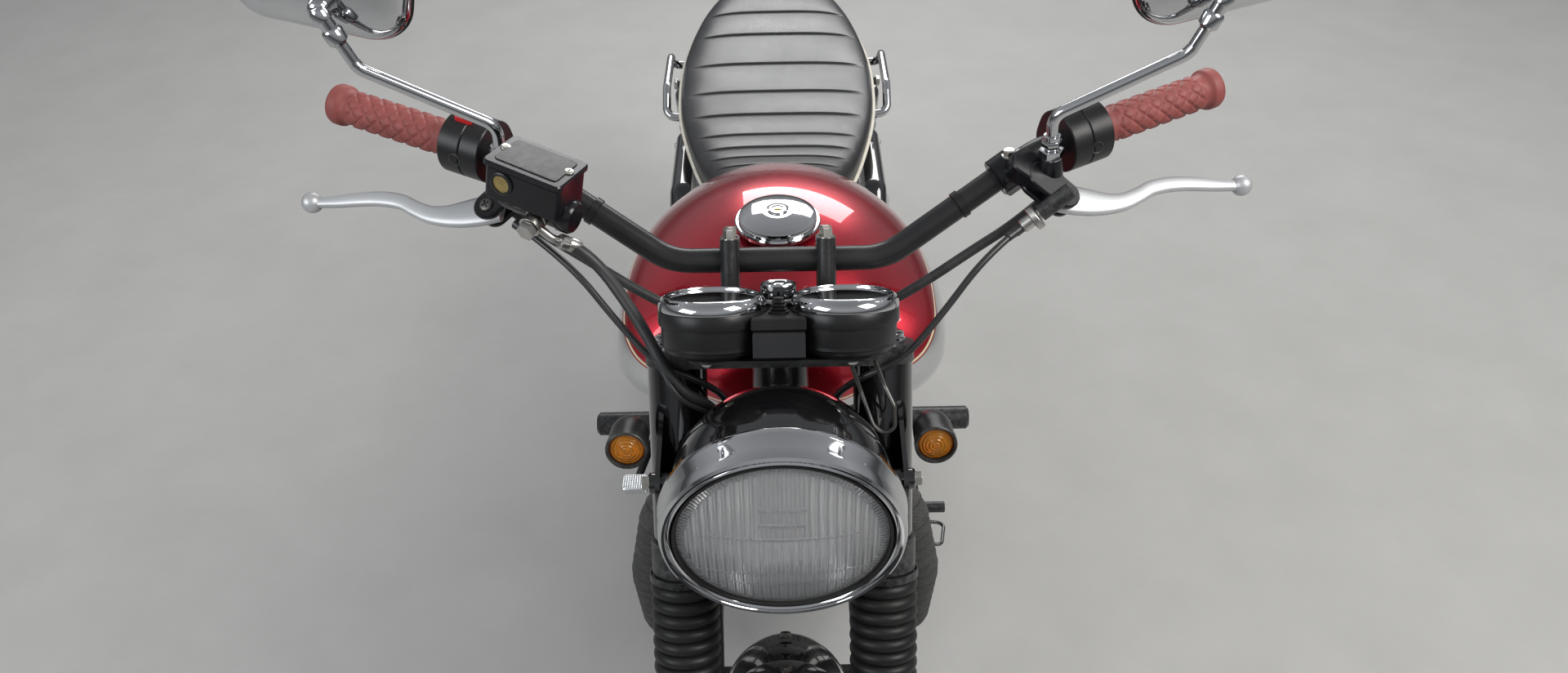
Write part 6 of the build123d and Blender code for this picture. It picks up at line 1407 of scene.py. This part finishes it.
# Header pipes with their woven wrap

PORT = [(PORT_X, -198.3, PORT_Z), (PORT_X, -236, PORT_Z), (66, -282, 651), (138, -308, 587), (165, -272, 440),
        (165, -216, 256), (178, 120, 256), (178, 255, 264.1)]
PORT_BENDS = [40, 45, 60, 90, 90, 400]


def resample(path, step):
    """Points at even spacing along a path."""
    out, left = [path[0]], step
    for a, b in zip(path, path[1:]):
        run = (b - a).length
        while run >= left:
            a = a + (b - a).normalized() * left
            out.append(a)
            run -= left
            left = step
        left -= run
    return out + [path[-1]]


route = resample(rounded(PORT, PORT_BENDS, 16), 2.4)
wrap_end = next(i for i, p in enumerate(route) if p.y > -130 and p.z < 300)
rings = []
frames = frames_along(route)
for i, (point, (_, side, up)) in enumerate(zip(route[5:wrap_end], frames[5:wrap_end])):
    ring = []
    for k in range(40):
        turn = TAU * k / 40
        phase = (i * 2.4 / WRAP_LAP + turn / TAU) % 1.0
        r = 25.0 + 1.5 * phase if phase < 0.94 else 25.0 + 1.4 * (1 - phase) / 0.06
        ring.append(point + side * r * cos(turn) + up * r * sin(turn))
    rings.append(ring)
loft(rings)
piece("pipe_wraps", "frame", [pipe_wrap], 50, mirror=True, stands_for="header_pipes")
sweep(route[:8], 24.4, 40)
sweep(route[wrap_end - 3::3] + [route[-1]], 24, 40)
for i, wide in ((7, 27.4), (wrap_end - 3, 26.8), (wrap_end - 14, 27.0)):
    way = (route[i + 1] - route[i]).normalized()
    profile = [(24.6, -3.2), (wide, -3.2), (wide + 0.5, -2.6), (wide + 0.5, 2.6), (wide, 3.2), (24.6, 3.2)]
    lathe(profile, frame_at(route[i], way), 48, 1, loop=True)
flange = frame_at((PORT_X, -199.5, PORT_Z), AHEAD)
lathe([(24.5, 0), (33, 0), (34, 1), (34, 5.5), (32.5, 6.5), (24.5, 6.5)], flange, 48, 2, loop=True)
bolt_circle(flange, 29.5, (35, 215), 6.5, AHEAD, 5, 5, "hex", 2)
piece("header_pipe_ends", "frame", [chrome, steel, cast_alloy], 40, mirror=True)

# Pegs, pedal and gear lever

PEG_X = 158.5
profile = [(9.6, PEG_X), (15.5, PEG_X), (18.5, PEG_X + 1.5)]
x = PEG_X + 3
while x < 276:
    profile += [(20.2, x), (20.8, x + 1.4), (20.8, x + 6.2), (20.2, x + 7.4), (18.5, x + 8.2), (18.5, x + 10.6)]
    x += 11.5
profile += [(20.6, 278), (22.0, 280), (22.6, 285), (21.8, 288.6), (18.5, 290), (0.1, 290.4)]
lathe([(r, h - PEG_X) for r, h in profile], frame_at((PEG_X, 118, 330), LEFT), 48, 0, caps=False)
piece("peg_rubbers", "frame", [rubber], 40, mirror=True)

top = Matrix.Translation((-225, 20, 0))
slab(round_rect(39, 32, 5.5), top, 289.6, 301.2, 1.6)
for i in range(10):
    for j in range(8):
        px, py = -15.8 + 3.5 * i, -12.3 + 3.5 * j
        loft([[on(top, px + dx * half, py + dy * half, z) for dx, dy in ((-1, -1), (1, -1), (1, 1), (-1, 1))]
              for half, z in ((1.35, 301.0), (0.4, 302.8))])
piece("brake_pedal_pad", "frame", [satin_alloy], 30)
profile = [(8.1, 0), (10.4, 0.4)]
for i in range(6):
    s = 2.0 + 6 * i
    profile += [(11.2, s), (11.2, s + 3.6), (9.8, s + 4.4), (9.8, s + 5.4)]
profile += [(11.4, 38), (11.8, 40), (11, 42), (8, 43), (0.1, 43)]
lathe(profile, frame_at((191.5, -54, 312), LEFT), 36, caps=False)
piece("gear_lever_rubber", "frame", [rubber], 40)

# Tyres with their tread, spoke nipples and valves

TREAD_TURNS = 72
# One side of a tyre 100 wide, from its middle outward: place, depth, zigzag and slanting groove
CUTS = ((5.0, 0, 1, 0), (5.4, 4, 1, 0), (8.0, 4, 1, 0), (8.4, 0, 1, 0), (12, 0, 0, 1), (18, 0, 0, 1), (22.4, 0, 1, 1),
        (22.8, 4, 1, 0), (25.4, 4, 1, 0), (25.8, 0, 1, 0), (30, 0, 0, 1), (36, 0, 0, 1), (39.4, 0, 0, 1))


def tread_columns(width, tyre_r, rim_r):
    """Stations across a tyre from bead to bead: the skin's point, how deep it is cut, its zigzag and its slant."""
    half, mid = width / 2, (tyre_r + rim_r) / 2
    sx, sr = 0.40 * width, tyre_r - 0.13 * width
    crown = (sx ** 2 + (tyre_r - sr) ** 2) / (2 * (tyre_r - sr))
    k = width / 100
    right = [(x * k, drop, zig, slot) for x, drop, zig, slot in CUTS]
    out = []
    for x, drop, zig, slot in right:
        r = tyre_r - crown + sqrt(crown ** 2 - x ** 2)
        out.append((Vector((x, r)) - Vector((x, r - tyre_r + crown)).normalized() * drop, zig, slot))
    wall = [(1, 0.86), (0.98, 0.80), (0.995, 0.74), (0.99, 0.66), (1.005, 0.6), (1.0, 0.5), (0.985, 0.4),
            (0.99, 0.34), (0.97, 0.26), (0.93, 0.18), (0.89, 0.12), (0.82, 0.07), (0.72, 0.03), (0.66, 0.012),
            (0.62, 0.005)]
    for across, up in wall:
        bulge = half * (1 - (2 * up - 1) ** 2 * (0.2 if up > 0.5 else 0.38))
        out.append((Vector((bulge * (0.995 if across < 0.99 else 1.0), rim_r + 0.3 + (sr - rim_r) * up)), 0, 0))
    out += [(Vector((0.31 * width - 7, rim_r + 0.4)), 0, 0), (Vector((half - 9, mid)), 0, 0),
            (Vector((sx - 9, sr - 9)), 0, 0)]
    left = [(Vector((-p.x, p.y)), -zig, slot) for p, zig, slot in out[::-1]]
    return out + left


def tyre(name, y, z, tyre_r, width, rim_r, body, node):
    """A tyre with slanting grooves and zigzag cuts across its crown."""
    columns = tread_columns(width, tyre_r, rim_r)
    steps = ((0.0, 0), (0.03, 1), (0.16, 1), (0.19, 0), (0.58, 0))
    rings = []
    for pitch in range(TREAD_TURNS):
        for part, cut in steps:
            ring = []
            for p, zig, slot in columns:
                slant = 0.30 * abs(p.x) / width if slot else 0.0
                a = TAU * (pitch + part + slant * (1 if p.x > 0 else -1)) / TREAD_TURNS
                wave = abs(((pitch + part) * 0.5) % 1.0 - 0.5) * 4 - 1
                r = p.y - (3.2 if cut and slot else 0)
                ring.append(Vector((p.x + 1.5 * wave * abs(zig), y + r * sin(a), z + r * cos(a))))
            rings.append(ring)
    loft(rings, caps=False, loop=True)
    piece(name, body, [tyre_rubber], 28, stands_for=node)


tyre("front_tread", AXLE_Y, AXLE_Z, 331.0, 100.0, FRONT_RIM_R, "front_wheel", "front_tyre")
tyre("rear_tread", REAR_Y, REAR_Z, 333.0, 130.0, REAR_RIM_R, "rear_wheel", "rear_tyre")


def nipples(name, y, z, rim_r, hub_half, hub_r, body):
    """Spoke nipples at the rim, each aimed along its spoke towards the hub flange, and the valve's stem."""
    floor_r = rim_r - 20
    for i in range(36):
        side, lean = (1 if i % 2 else -1), (1 if (i // 2) % 2 else -1)
        a = TAU * i / 36
        b = a + lean * radians(50)
        start = Vector((side * hub_half, y + hub_r * sin(b), z + hub_r * cos(b)))
        end = Vector((side * 6, y + (floor_r + 1) * sin(a), z + (floor_r + 1) * cos(a)))
        way = (start - end).normalized()
        lathe([(1.0, 1), (3.4, 1.5), (3.4, 5), (2.9, 6), (2.7, 15), (2.0, 16)], frame_at(end, way), 10, caps=False)
    a = TAU * 0.5 / 36
    foot = Vector((0, y + floor_r * sin(a), z + floor_r * cos(a)))
    lathe([(4, 0), (4, 6), (2.6, 7), (2.6, 22), (3.4, 22.4), (3.4, 32), (2.4, 33), (0.1, 33)],
          frame_at(foot, Vector((0, y, z)) - foot), 14, 1)
    piece(name, body, [nut_colour, rubber], 40)


nipples("front_nipples", AXLE_Y, AXLE_Z, FRONT_RIM_R, 32.5, 40, "front_wheel")
nipples("rear_nipples", REAR_Y, REAR_Z, REAR_RIM_R, 29, 90, "rear_wheel")

# Brake: disc bolts, and the caliper's bolts, pins and bleed nipple

for i in range(6):
    a = TAU * (i + 0.5) / 6
    bolt((-55.2, AXLE_Y + 40 * sin(a), AXLE_Z + 40 * cos(a)), RIGHT, 5.0, 4.5, "cap")
piece("disc_bolts", "front_wheel", [steel], 35)
out_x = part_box("brake_caliper")[0].x / MM
for v in (58, 88):
    for up in (84, 126):
        bolt(Vector((out_x, *fork(0, v, up).yz)), RIGHT, 4.6, 5, "cap", 1)
m = frame_at(Vector((out_x, *fork(0, 73, 105).yz)), RIGHT)
lathe([(21, 0), (21, 2.4), (19.5, 3.6), (8, 3.6), (7.4, 2.8), (0.1, 2.8)], m, 48, 0, caps=False)
lathe([(4, 0), (4, 7), (2.4, 8), (2.4, 14), (3.2, 14.6), (3.2, 17), (0.1, 17.4)],
      frame_at(fork(-48, 84, 145.6), axis_of(FORK, 2)), 16, 1)
piece("caliper_bolts", "steering", [case_black, nut_colour], 35)

# Engine: cover bolts, oil filler, plugs and their leads, carburettor fittings


def cover_bosses(x, spots, out):
    """Round lugs at a cover's edge with a bolt in each."""
    for y, z in spots:
        m = frame_at((x, y, z), (out, 0, 0))
        lathe([(8.6, 0), (8.6, 13), (7.8, 14), (0.1, 14)], m, 24, 0, caps=False)
        bolt(on(m, 0, 0, 14), (out, 0, 0), 4.8, 4.6, "cap", 1)


def round_spots(y, z, r, first, last, count):
    """Spots on an arc round a cover, evenly spaced, as (y, z)."""
    turns = [first + (last - first) * i / (count - 1) for i in range(count)]
    return [(y + dy, z + dz) for dy, dz in ring_spots(r, turns)]


cover_bosses(BLOCK_X, round_spots(-118, 358, 84, 50, 310, 7), 1)
for y, z in ((5, 394), (92, 394), (5, 310), (92, 310)):
    bolt((110.3, y, z), LEFT, 4.6, 4.4, "cap", 1)
m = frame_at((COVER_X, -118, 358), LEFT)
lathe([(50, -0.4), (50, 1.8), (48, 3.2), (43, 3.2), (42, 1.6), (16, 1.6), (15, 3.4), (11, 4.4), (0.1, 4.6)], m, 96,
      0, caps=False)
bolt_circle(m, 30, (90, 210, 330), 1.6, LEFT, 3.4, 2.6, "cross", 1, washer=False)
cover_bosses(-BLOCK_X, round_spots(-110, 362, 78, 100, 262, 6) + round_spots(0, 350, 62, -80, 76, 4), -1)
m = frame_at((-COVER_X, -110, 362), RIGHT)
lathe([(52, -0.4), (52, 2.0), (50, 3.4), (46, 3.4), (45, 1.8), (0.1, 1.8)], m, 96, 0, caps=False)
m = frame_at((-COVER_X, 2, 372), RIGHT)
lathe([(15, -0.4), (15, 5), (13.6, 6.4), (9, 6.6), (9, 5), (0.1, 5)], m, 40, 1, caps=False)
slab([(-8, -1.8), (8, -1.8), (8, 1.8), (-8, 1.8)], m, 4.8, 8, 0.4, 1)
m = frame_at((-COVER_X, 8, 326), RIGHT)
lathe([(11, -0.4), (11, 2.2), (9.6, 3.2), (8.6, 3.2), (8.4, 2.2), (0.1, 2.2)], m, 40, 1, caps=False)
piece("cover_fittings", "frame", [cast_alloy, nut_colour], 35)

for side in (-1, 1):
    for y in (-158, -62):
        bolt((side * 88, y, 740.2), UP, 5.6, 6, "cap", 1)
lathe([(19, 0), (19, 1.6), (17, 3), (9, 3.2), (0.1, 3.2)], frame_at((0, BARREL_Y, 740), UP), 48, 0, caps=False)
for x in (-44, 44):
    for y in (-176.6, -43.4):
        lathe([(17, 0), (17, 2.2), (15.6, 3.6), (0.1, 3.6)],
              frame_at((x, y, 726), (0, copysign(1, y - BARREL_Y), 0)), 40, 0, caps=False)
piece("rocker_fittings", "frame", [cast_alloy, nut_colour], 35)

way = Vector((0.86, 0, 0.5)).normalized()
plug_seat = Vector((112, BARREL_Y, 668))
lathe([(10, 0), (10, 5), (6.4, 6), (6.4, 9)], frame_at(plug_seat, way), 24, 2)
lathe([(8.6, 8), (9, 12), (9, 26), (7.6, 29), (7.6, 36), (5.2, 40), (4.4, 46)], frame_at(plug_seat, way), 24, 0)
lead = [plug_seat + way * 44, plug_seat + way * 58, Vector((150, -88, 722)), Vector((128, -52, 752)),
        Vector((84, -24, 768)), Vector((62, -4, 784))]
sweep(rounded(lead, [20, 26, 26, 20], 6), 3.6, 12, 1)
piece("plug_leads", "frame", [rubber, cord_black, steel], 45, mirror=True)

for y in (-17, 58):
    lathe(hoop(25.2, 26.6, 4, 4), frame_at((PORT_X, y, PORT_Z), BACK), 48, 1, loop=True)
    bolt((PORT_X + 28, y, PORT_Z + 4), UP, 2.8, 4, "cap", 1, washer=False)
m = frame_at((44, 12, 705), UP)
lathe([(21.4, -5), (22.8, -4), (22.8, 2), (21, 4.6), (9, 6.4), (8, 9), (4.2, 10), (4.2, 20), (0.1, 20)], m, 40, 0,
      caps=False)
sweep(rounded([(44, 12, 724), (44, 12, 745), (40, -30, 768), (34, -90, 776), (30, -160, 780)], [20, 40, 60], 6),
      3.0, 12, 2)
m = frame_at((44, 12, 640), DOWN)
lathe([(21.2, -3), (24.6, -3), (24.6, 3), (22.6, 4), (22.6, 27), (20, 31), (7, 32), (6, 38), (0.1, 38)], m, 40, 0,
      caps=False)
bolt_circle(m, 20.5, (45, 135, 225, 315), -3.2, UP, 2.2, 2, "cross", 1, washer=False)
lathe([(4, 0), (4, 16), (7, 17), (7, 25), (0.1, 25)], frame_at((66, 12, 668), LEFT), 24, 1)
sweep(rounded([(60, 20, 650), (74, 22, 650), (80, 30, 690), (70, 44, 740), (58, 50, 788)], [12, 30, 30], 6), 4.2,
      12, 2)
piece("carburettor_fittings", "frame", [cast_alloy, nut_colour, rubber], 35, mirror=True)

# Chain: paired side plates and rollers on the loop round both sprockets

WHEEL = Vector((DRIVE.x, REAR_Y, REAR_Z))
SPROCKET_RADII, CHAIN_PITCH = (41.8, 97.8), 15.875


def chain_loop():
    """Pin positions, evenly spaced round the belt line of the two sprockets."""
    r1, r2 = SPROCKET_RADII
    span = WHEEL - DRIVE
    tilt = atan2(span.z, span.y)
    spread_turn = acos((r2 - r1) / span.length)
    path = []
    for centre, r, first, last in ((WHEEL, r2, pi - spread_turn, spread_turn - pi),
                                   (DRIVE, r1, -spread_turn, spread_turn - TAU)):
        for i in range(41):
            a = tilt + first + (last - first) * i / 40
            path.append(centre + Vector((0, r * cos(a), r * sin(a))))
    path.append(path[0])
    total = sum((b - a).length for a, b in zip(path, path[1:]))
    count = int(round(total / CHAIN_PITCH / 2)) * 2
    return resample(path, total / count)[:count]


pins = chain_loop()
for i, pin in enumerate(pins):
    ahead = pins[(i + 1) % len(pins)]
    m = frame_at((pin + ahead) / 2, LEFT, ahead - pin)
    reach = (ahead - pin).length / 2
    plate = [(reach + x, y) for x, y in ring_spots(5.6, range(-90, 91, 30))]
    plate += [(0, 4.1)] + [(-x, -y) for x, y in plate] + [(0, -4.1)]
    inner = i % 2 == 0
    for near, far in ((3.1, 4.6), (-4.6, -3.1)) if inner else ((4.8, 6.2), (-6.2, -4.8)):
        slab(plate, m, near, far, 0.3)
    pm = frame_at(pin, LEFT)
    lathe([(4.4, -3), (4.4, 3)], pm, 10)
    lathe([(2.4, -6.8), (2.4, 6.8)], pm, 8)
piece("chain_links", "frame", [dark_steel], 35, stands_for="chain")

# Shock absorbers with coiled springs

shock_len = (SHOCK_FOOT - SHOCK_TOP).length
shock = frame_at(SHOCK_TOP, SHOCK_FOOT - SHOCK_TOP)
lathe([(8, 12), (13, 13), (14, 20), (22, 21), (25.5, 23), (26.5, 27), (26.5, 60), (25, 62), (16, 62)], shock, 48, 0)
lathe([(6, 60), (6, shock_len - 150)], shock, 24, 0)
foot = moved(shock, 0, 0, shock_len)
lathe([(12, -155), (15.5, -150), (15.5, -30), (12, -22), (8, -12)], foot, 40, 1)
lathe([(15, -76), (24.4, -72), (24.8, -64), (22.6, -60), (21, -56), (21, -36), (15, -32)], foot, 48, 1)
coil = []
turns, start, end = 9.5, 64.5, shock_len - 76
for i in range(int(turns * 28) + 1):
    t = i / (turns * 28)
    squeeze = t + 0.035 * sin(TAU * t) * -1
    a = TAU * turns * t
    coil.append(on(shock, 21.6 * cos(a), 21.6 * sin(a), start + (end - start) * squeeze))
sweep(coil, 4.1, 12, 2)
for eye in (SHOCK_TOP, SHOCK_FOOT):
    lathe(collar(8.2, 16, 13.6), frame_at(eye, LEFT), 40, 1, loop=True)
    lathe(hoop(7.6, 12, 14, 14), frame_at(eye, LEFT), 32, 3, loop=True)
piece("shock_absorbers", "frame", [gloss_black, satin_alloy, chrome, rubber], 40, mirror=True,
      stands_for="rear_shocks")

# Tail, grab rails, silencers, stands and axles: the small fittings

ringed_lens(frame_at((118, 924.2, 735), BACK), 14.2, 4.6)
piece("rear_indicator_lenses", "frame", [amber], 50, mirror=True)
m = frame_at((118, 922, 735), BACK)
lathe([(16.6, -8), (17.4, -7), (17.4, 1.6), (16.4, 2.4), (14.8, 2.4), (14.4, 0.6), (0.1, 0.4)], m, 64, 0,
      caps=False)
lathe([(14.2, 0.7), (12, 0.62), (0.1, 0.6)], m, 48, 1, caps=False)
lathe([(6.2, 0), (7.6, 0.6), (7.6, 4), (9.4, 6), (9.4, 10), (6.2, 12)], frame_at((46, 900, 735), LEFT), 32, 0)
bolt((118, 908, 718.7), DOWN, 2.2, 1.4, "cross", 2, washer=False)
piece("rear_indicator_rims", "frame", [satin_black, reflector, nut_colour], 35, mirror=True)

face = Matrix.Translation((0, 932, 735)) @ Matrix.Rotation(radians(-90), 4, "X")
slab(round_rect(94.6, 68.6, 21, 8), face, -6, -0.6, 0.8)
for x in (-34, 34):
    bolt((x, 956.4, 735), BACK, 3.0, 1.8, "cross", 1, washer=False)
for x in (-70, 70):
    bolt((x, 1053.1, 620), BACK, 5.2, 4.6, "dome", 1)
for x, z in ((-8, 662), (8, 662), (-8, 652), (8, 652)):
    bolt((x, 1053.1, z), BACK, 3.2, 2.6, "hex", 1)
piece("tail_fittings", "frame", [satin_black, nut_colour], 35)

for y in (300, 470):
    lathe([(6.2, 0), (9.6, 0.4), (9.6, 2.4), (8.4, 3.4), (6.2, 3.4)], frame_at((109.6, y, 763), LEFT), 32, 0,
          loop=True)
piece("grab_rail_collars", "frame", [chrome], 35, mirror=True)

silencer = frame_at((178, 255.3, 264.1), (0, 600, 36))
lathe([(29.6, 2), (31.6, 2), (32, 3), (32, 16), (31.6, 17), (29.6, 17)], silencer, 64, 0, loop=True)
bolt(on(silencer, 35, -2, 9), silencer.to_3x3() @ Vector(BACK), 3.6, 5, "hex", 1)
lathe([(16.2, 570), (18.6, 596), (20.6, 601.6), (22.4, 602.4), (23.2, 600.4), (22.6, 598.4)], silencer, 64, 0,
      caps=False)
for up in (134, 544):
    lathe([(43.0, up - 1.2), (43.6, up - 0.6), (43.6, up + 0.6), (43.0, up + 1.2)], silencer, 72, 0, loop=True)
slab([(-9, 0), (9, 0), (7, 26), (-7, 26)], frame_at(on(silencer, -41, 0, 300), silencer.to_3x3() @ Vector(RIGHT),
                                                    BACK), 0, 4, 0.6, 2)
piece("silencer_fittings", "frame", [chrome, nut_colour, frame_black], 40, mirror=True)

for x, y, z, size in ((143.6, 170, 345, 11), (136.2, REAR_Y, REAR_Z, 13), (162.2, *SHOCK_TOP.yz, 8),
                      (162.2, *SHOCK_FOOT.yz, 8)):
    for side in (1, -1):
        bolt((side * (x - 0.6), y, z), (side, 0, 0), size, size * 0.75)
for side in (-1, 1):
    m = frame_at((side * 112, 737, 345), BACK)
    lathe([(4, -18), (4, 12)], m, 16, 0)
    bolt((side * 112, 744, 345), BACK, 5.5, 6)
piece("axle_nuts", "frame", [nut_colour], 35)


def spring(a, b, radius, wire, turns):
    """A coiled tension spring between two points, with a short straight lead at each end."""
    a, b = Vector(a), Vector(b)
    m = frame_at(a, b - a)
    long = (b - a).length
    path = [a, on(m, 0, 0, 8)]
    for i in range(int(turns * 10) + 1):
        t = i / (turns * 10)
        turn = TAU * turns * t
        path.append(on(m, radius * cos(turn), radius * sin(turn), 10 + (long - 20) * t))
    path += [on(m, 0, 0, long - 8), b]
    sweep(path, wire, 8)


spring((60, 84, 158), (60, 36, 212), 6.2, 1.5, 14)
spring((64, 84, 158), (64, 36, 212), 3.6, 1.2, 18)
piece("stand_springs", "frame", [dark_steel], 40)

for y, z in ((122, 588), (300, 716)):
    bolt((148.4, y, z), LEFT, 5.0, 3.6, "dome")
piece("side_cover_bolts", "frame", [nut_colour], 35, mirror=True)

# floor, light and camera

bmesh.ops.create_grid(bm, x_segments=2, y_segments=2, size=14.0)
mesh = bpy.data.meshes.new("floor")
bm.to_mesh(mesh)
bm.free()
floor = bpy.data.objects.new("floor", mesh)
bpy.context.collection.objects.link(floor)
floor_mat, tree, shader = blank("floor")
patches = spread(tree, noise(tree, 5.0, 8.0, 0.65), 0.3, 0.7)
tree.links.new(mix(tree, patches, (0.42, 0.415, 0.40), (0.46, 0.455, 0.44)), shader.inputs["Base Color"])
shader.inputs["Roughness"].default_value = 0.85
mesh.materials.append(floor_mat)

world = bpy.data.worlds.new("studio")
bpy.context.scene.world = world
world.use_nodes = True
tree = world.node_tree
sky = tree.nodes["Background"]
ramp = add(tree, "ShaderNodeValToRGB")
tree.links.new(spread(tree, axes(tree, "Generated")[2], -0.2, 1.0), ramp.inputs[0])
stops = [(0.0, 0.30), (0.17, 0.16), (0.21, 0.20), (0.32, 0.60), (0.6, 0.95), (1.0, 0.60)]
while len(ramp.color_ramp.elements) < len(stops):
    ramp.color_ramp.elements.new(0.5)
for element, (spot, value) in zip(ramp.color_ramp.elements, stops):
    element.position = spot
    element.color = (value * 0.97, value, value * 1.04, 1)
tree.links.new(ramp.outputs[0], sky.inputs["Color"])
sky.inputs["Strength"].default_value = 0.48


def lamp(name, at, towards, size, power, colour=(1, 1, 1)):
    """A soft light panel."""
    light = bpy.data.lights.new(name, "AREA")
    light.shape = "RECTANGLE"
    light.size, light.size_y = size
    light.energy = power
    light.color = colour
    obj = bpy.data.objects.new(name, light)
    obj.location = at
    obj.rotation_euler = (Vector(towards) - Vector(at)).to_track_quat("-Z", "Y").to_euler()
    bpy.context.collection.objects.link(obj)


lamp("key", (2.2, -1.4, 3.2), (0, -0.2, 0.8), (1.6, 1.6), 90, (1.0, 0.98, 0.95))
lamp("fill", (-2.6, -2.0, 2.4), (0, -0.2, 0.7), (2.0, 1.4), 46, (0.94, 0.97, 1.0))
lamp("back", (0.4, 3.0, 2.6), (0, 0.2, 0.8), (2.4, 1.2), 60)

camera = bpy.data.cameras.new("camera")
camera.lens = 27.45
camera.sensor_width = 36.0
camera.clip_start = 0.02
view = bpy.data.objects.new("camera", camera)
view.location = (0.004, -1.257, 1.595)
view.rotation_euler = (Matrix.Rotation(radians(51.4), 3, "X") @ Matrix.Rotation(radians(-1.07), 3, "Z")).to_euler()
bpy.context.collection.objects.link(view)
bpy.context.scene.camera = view
bpy.context.scene.view_settings.view_transform = "Standard"
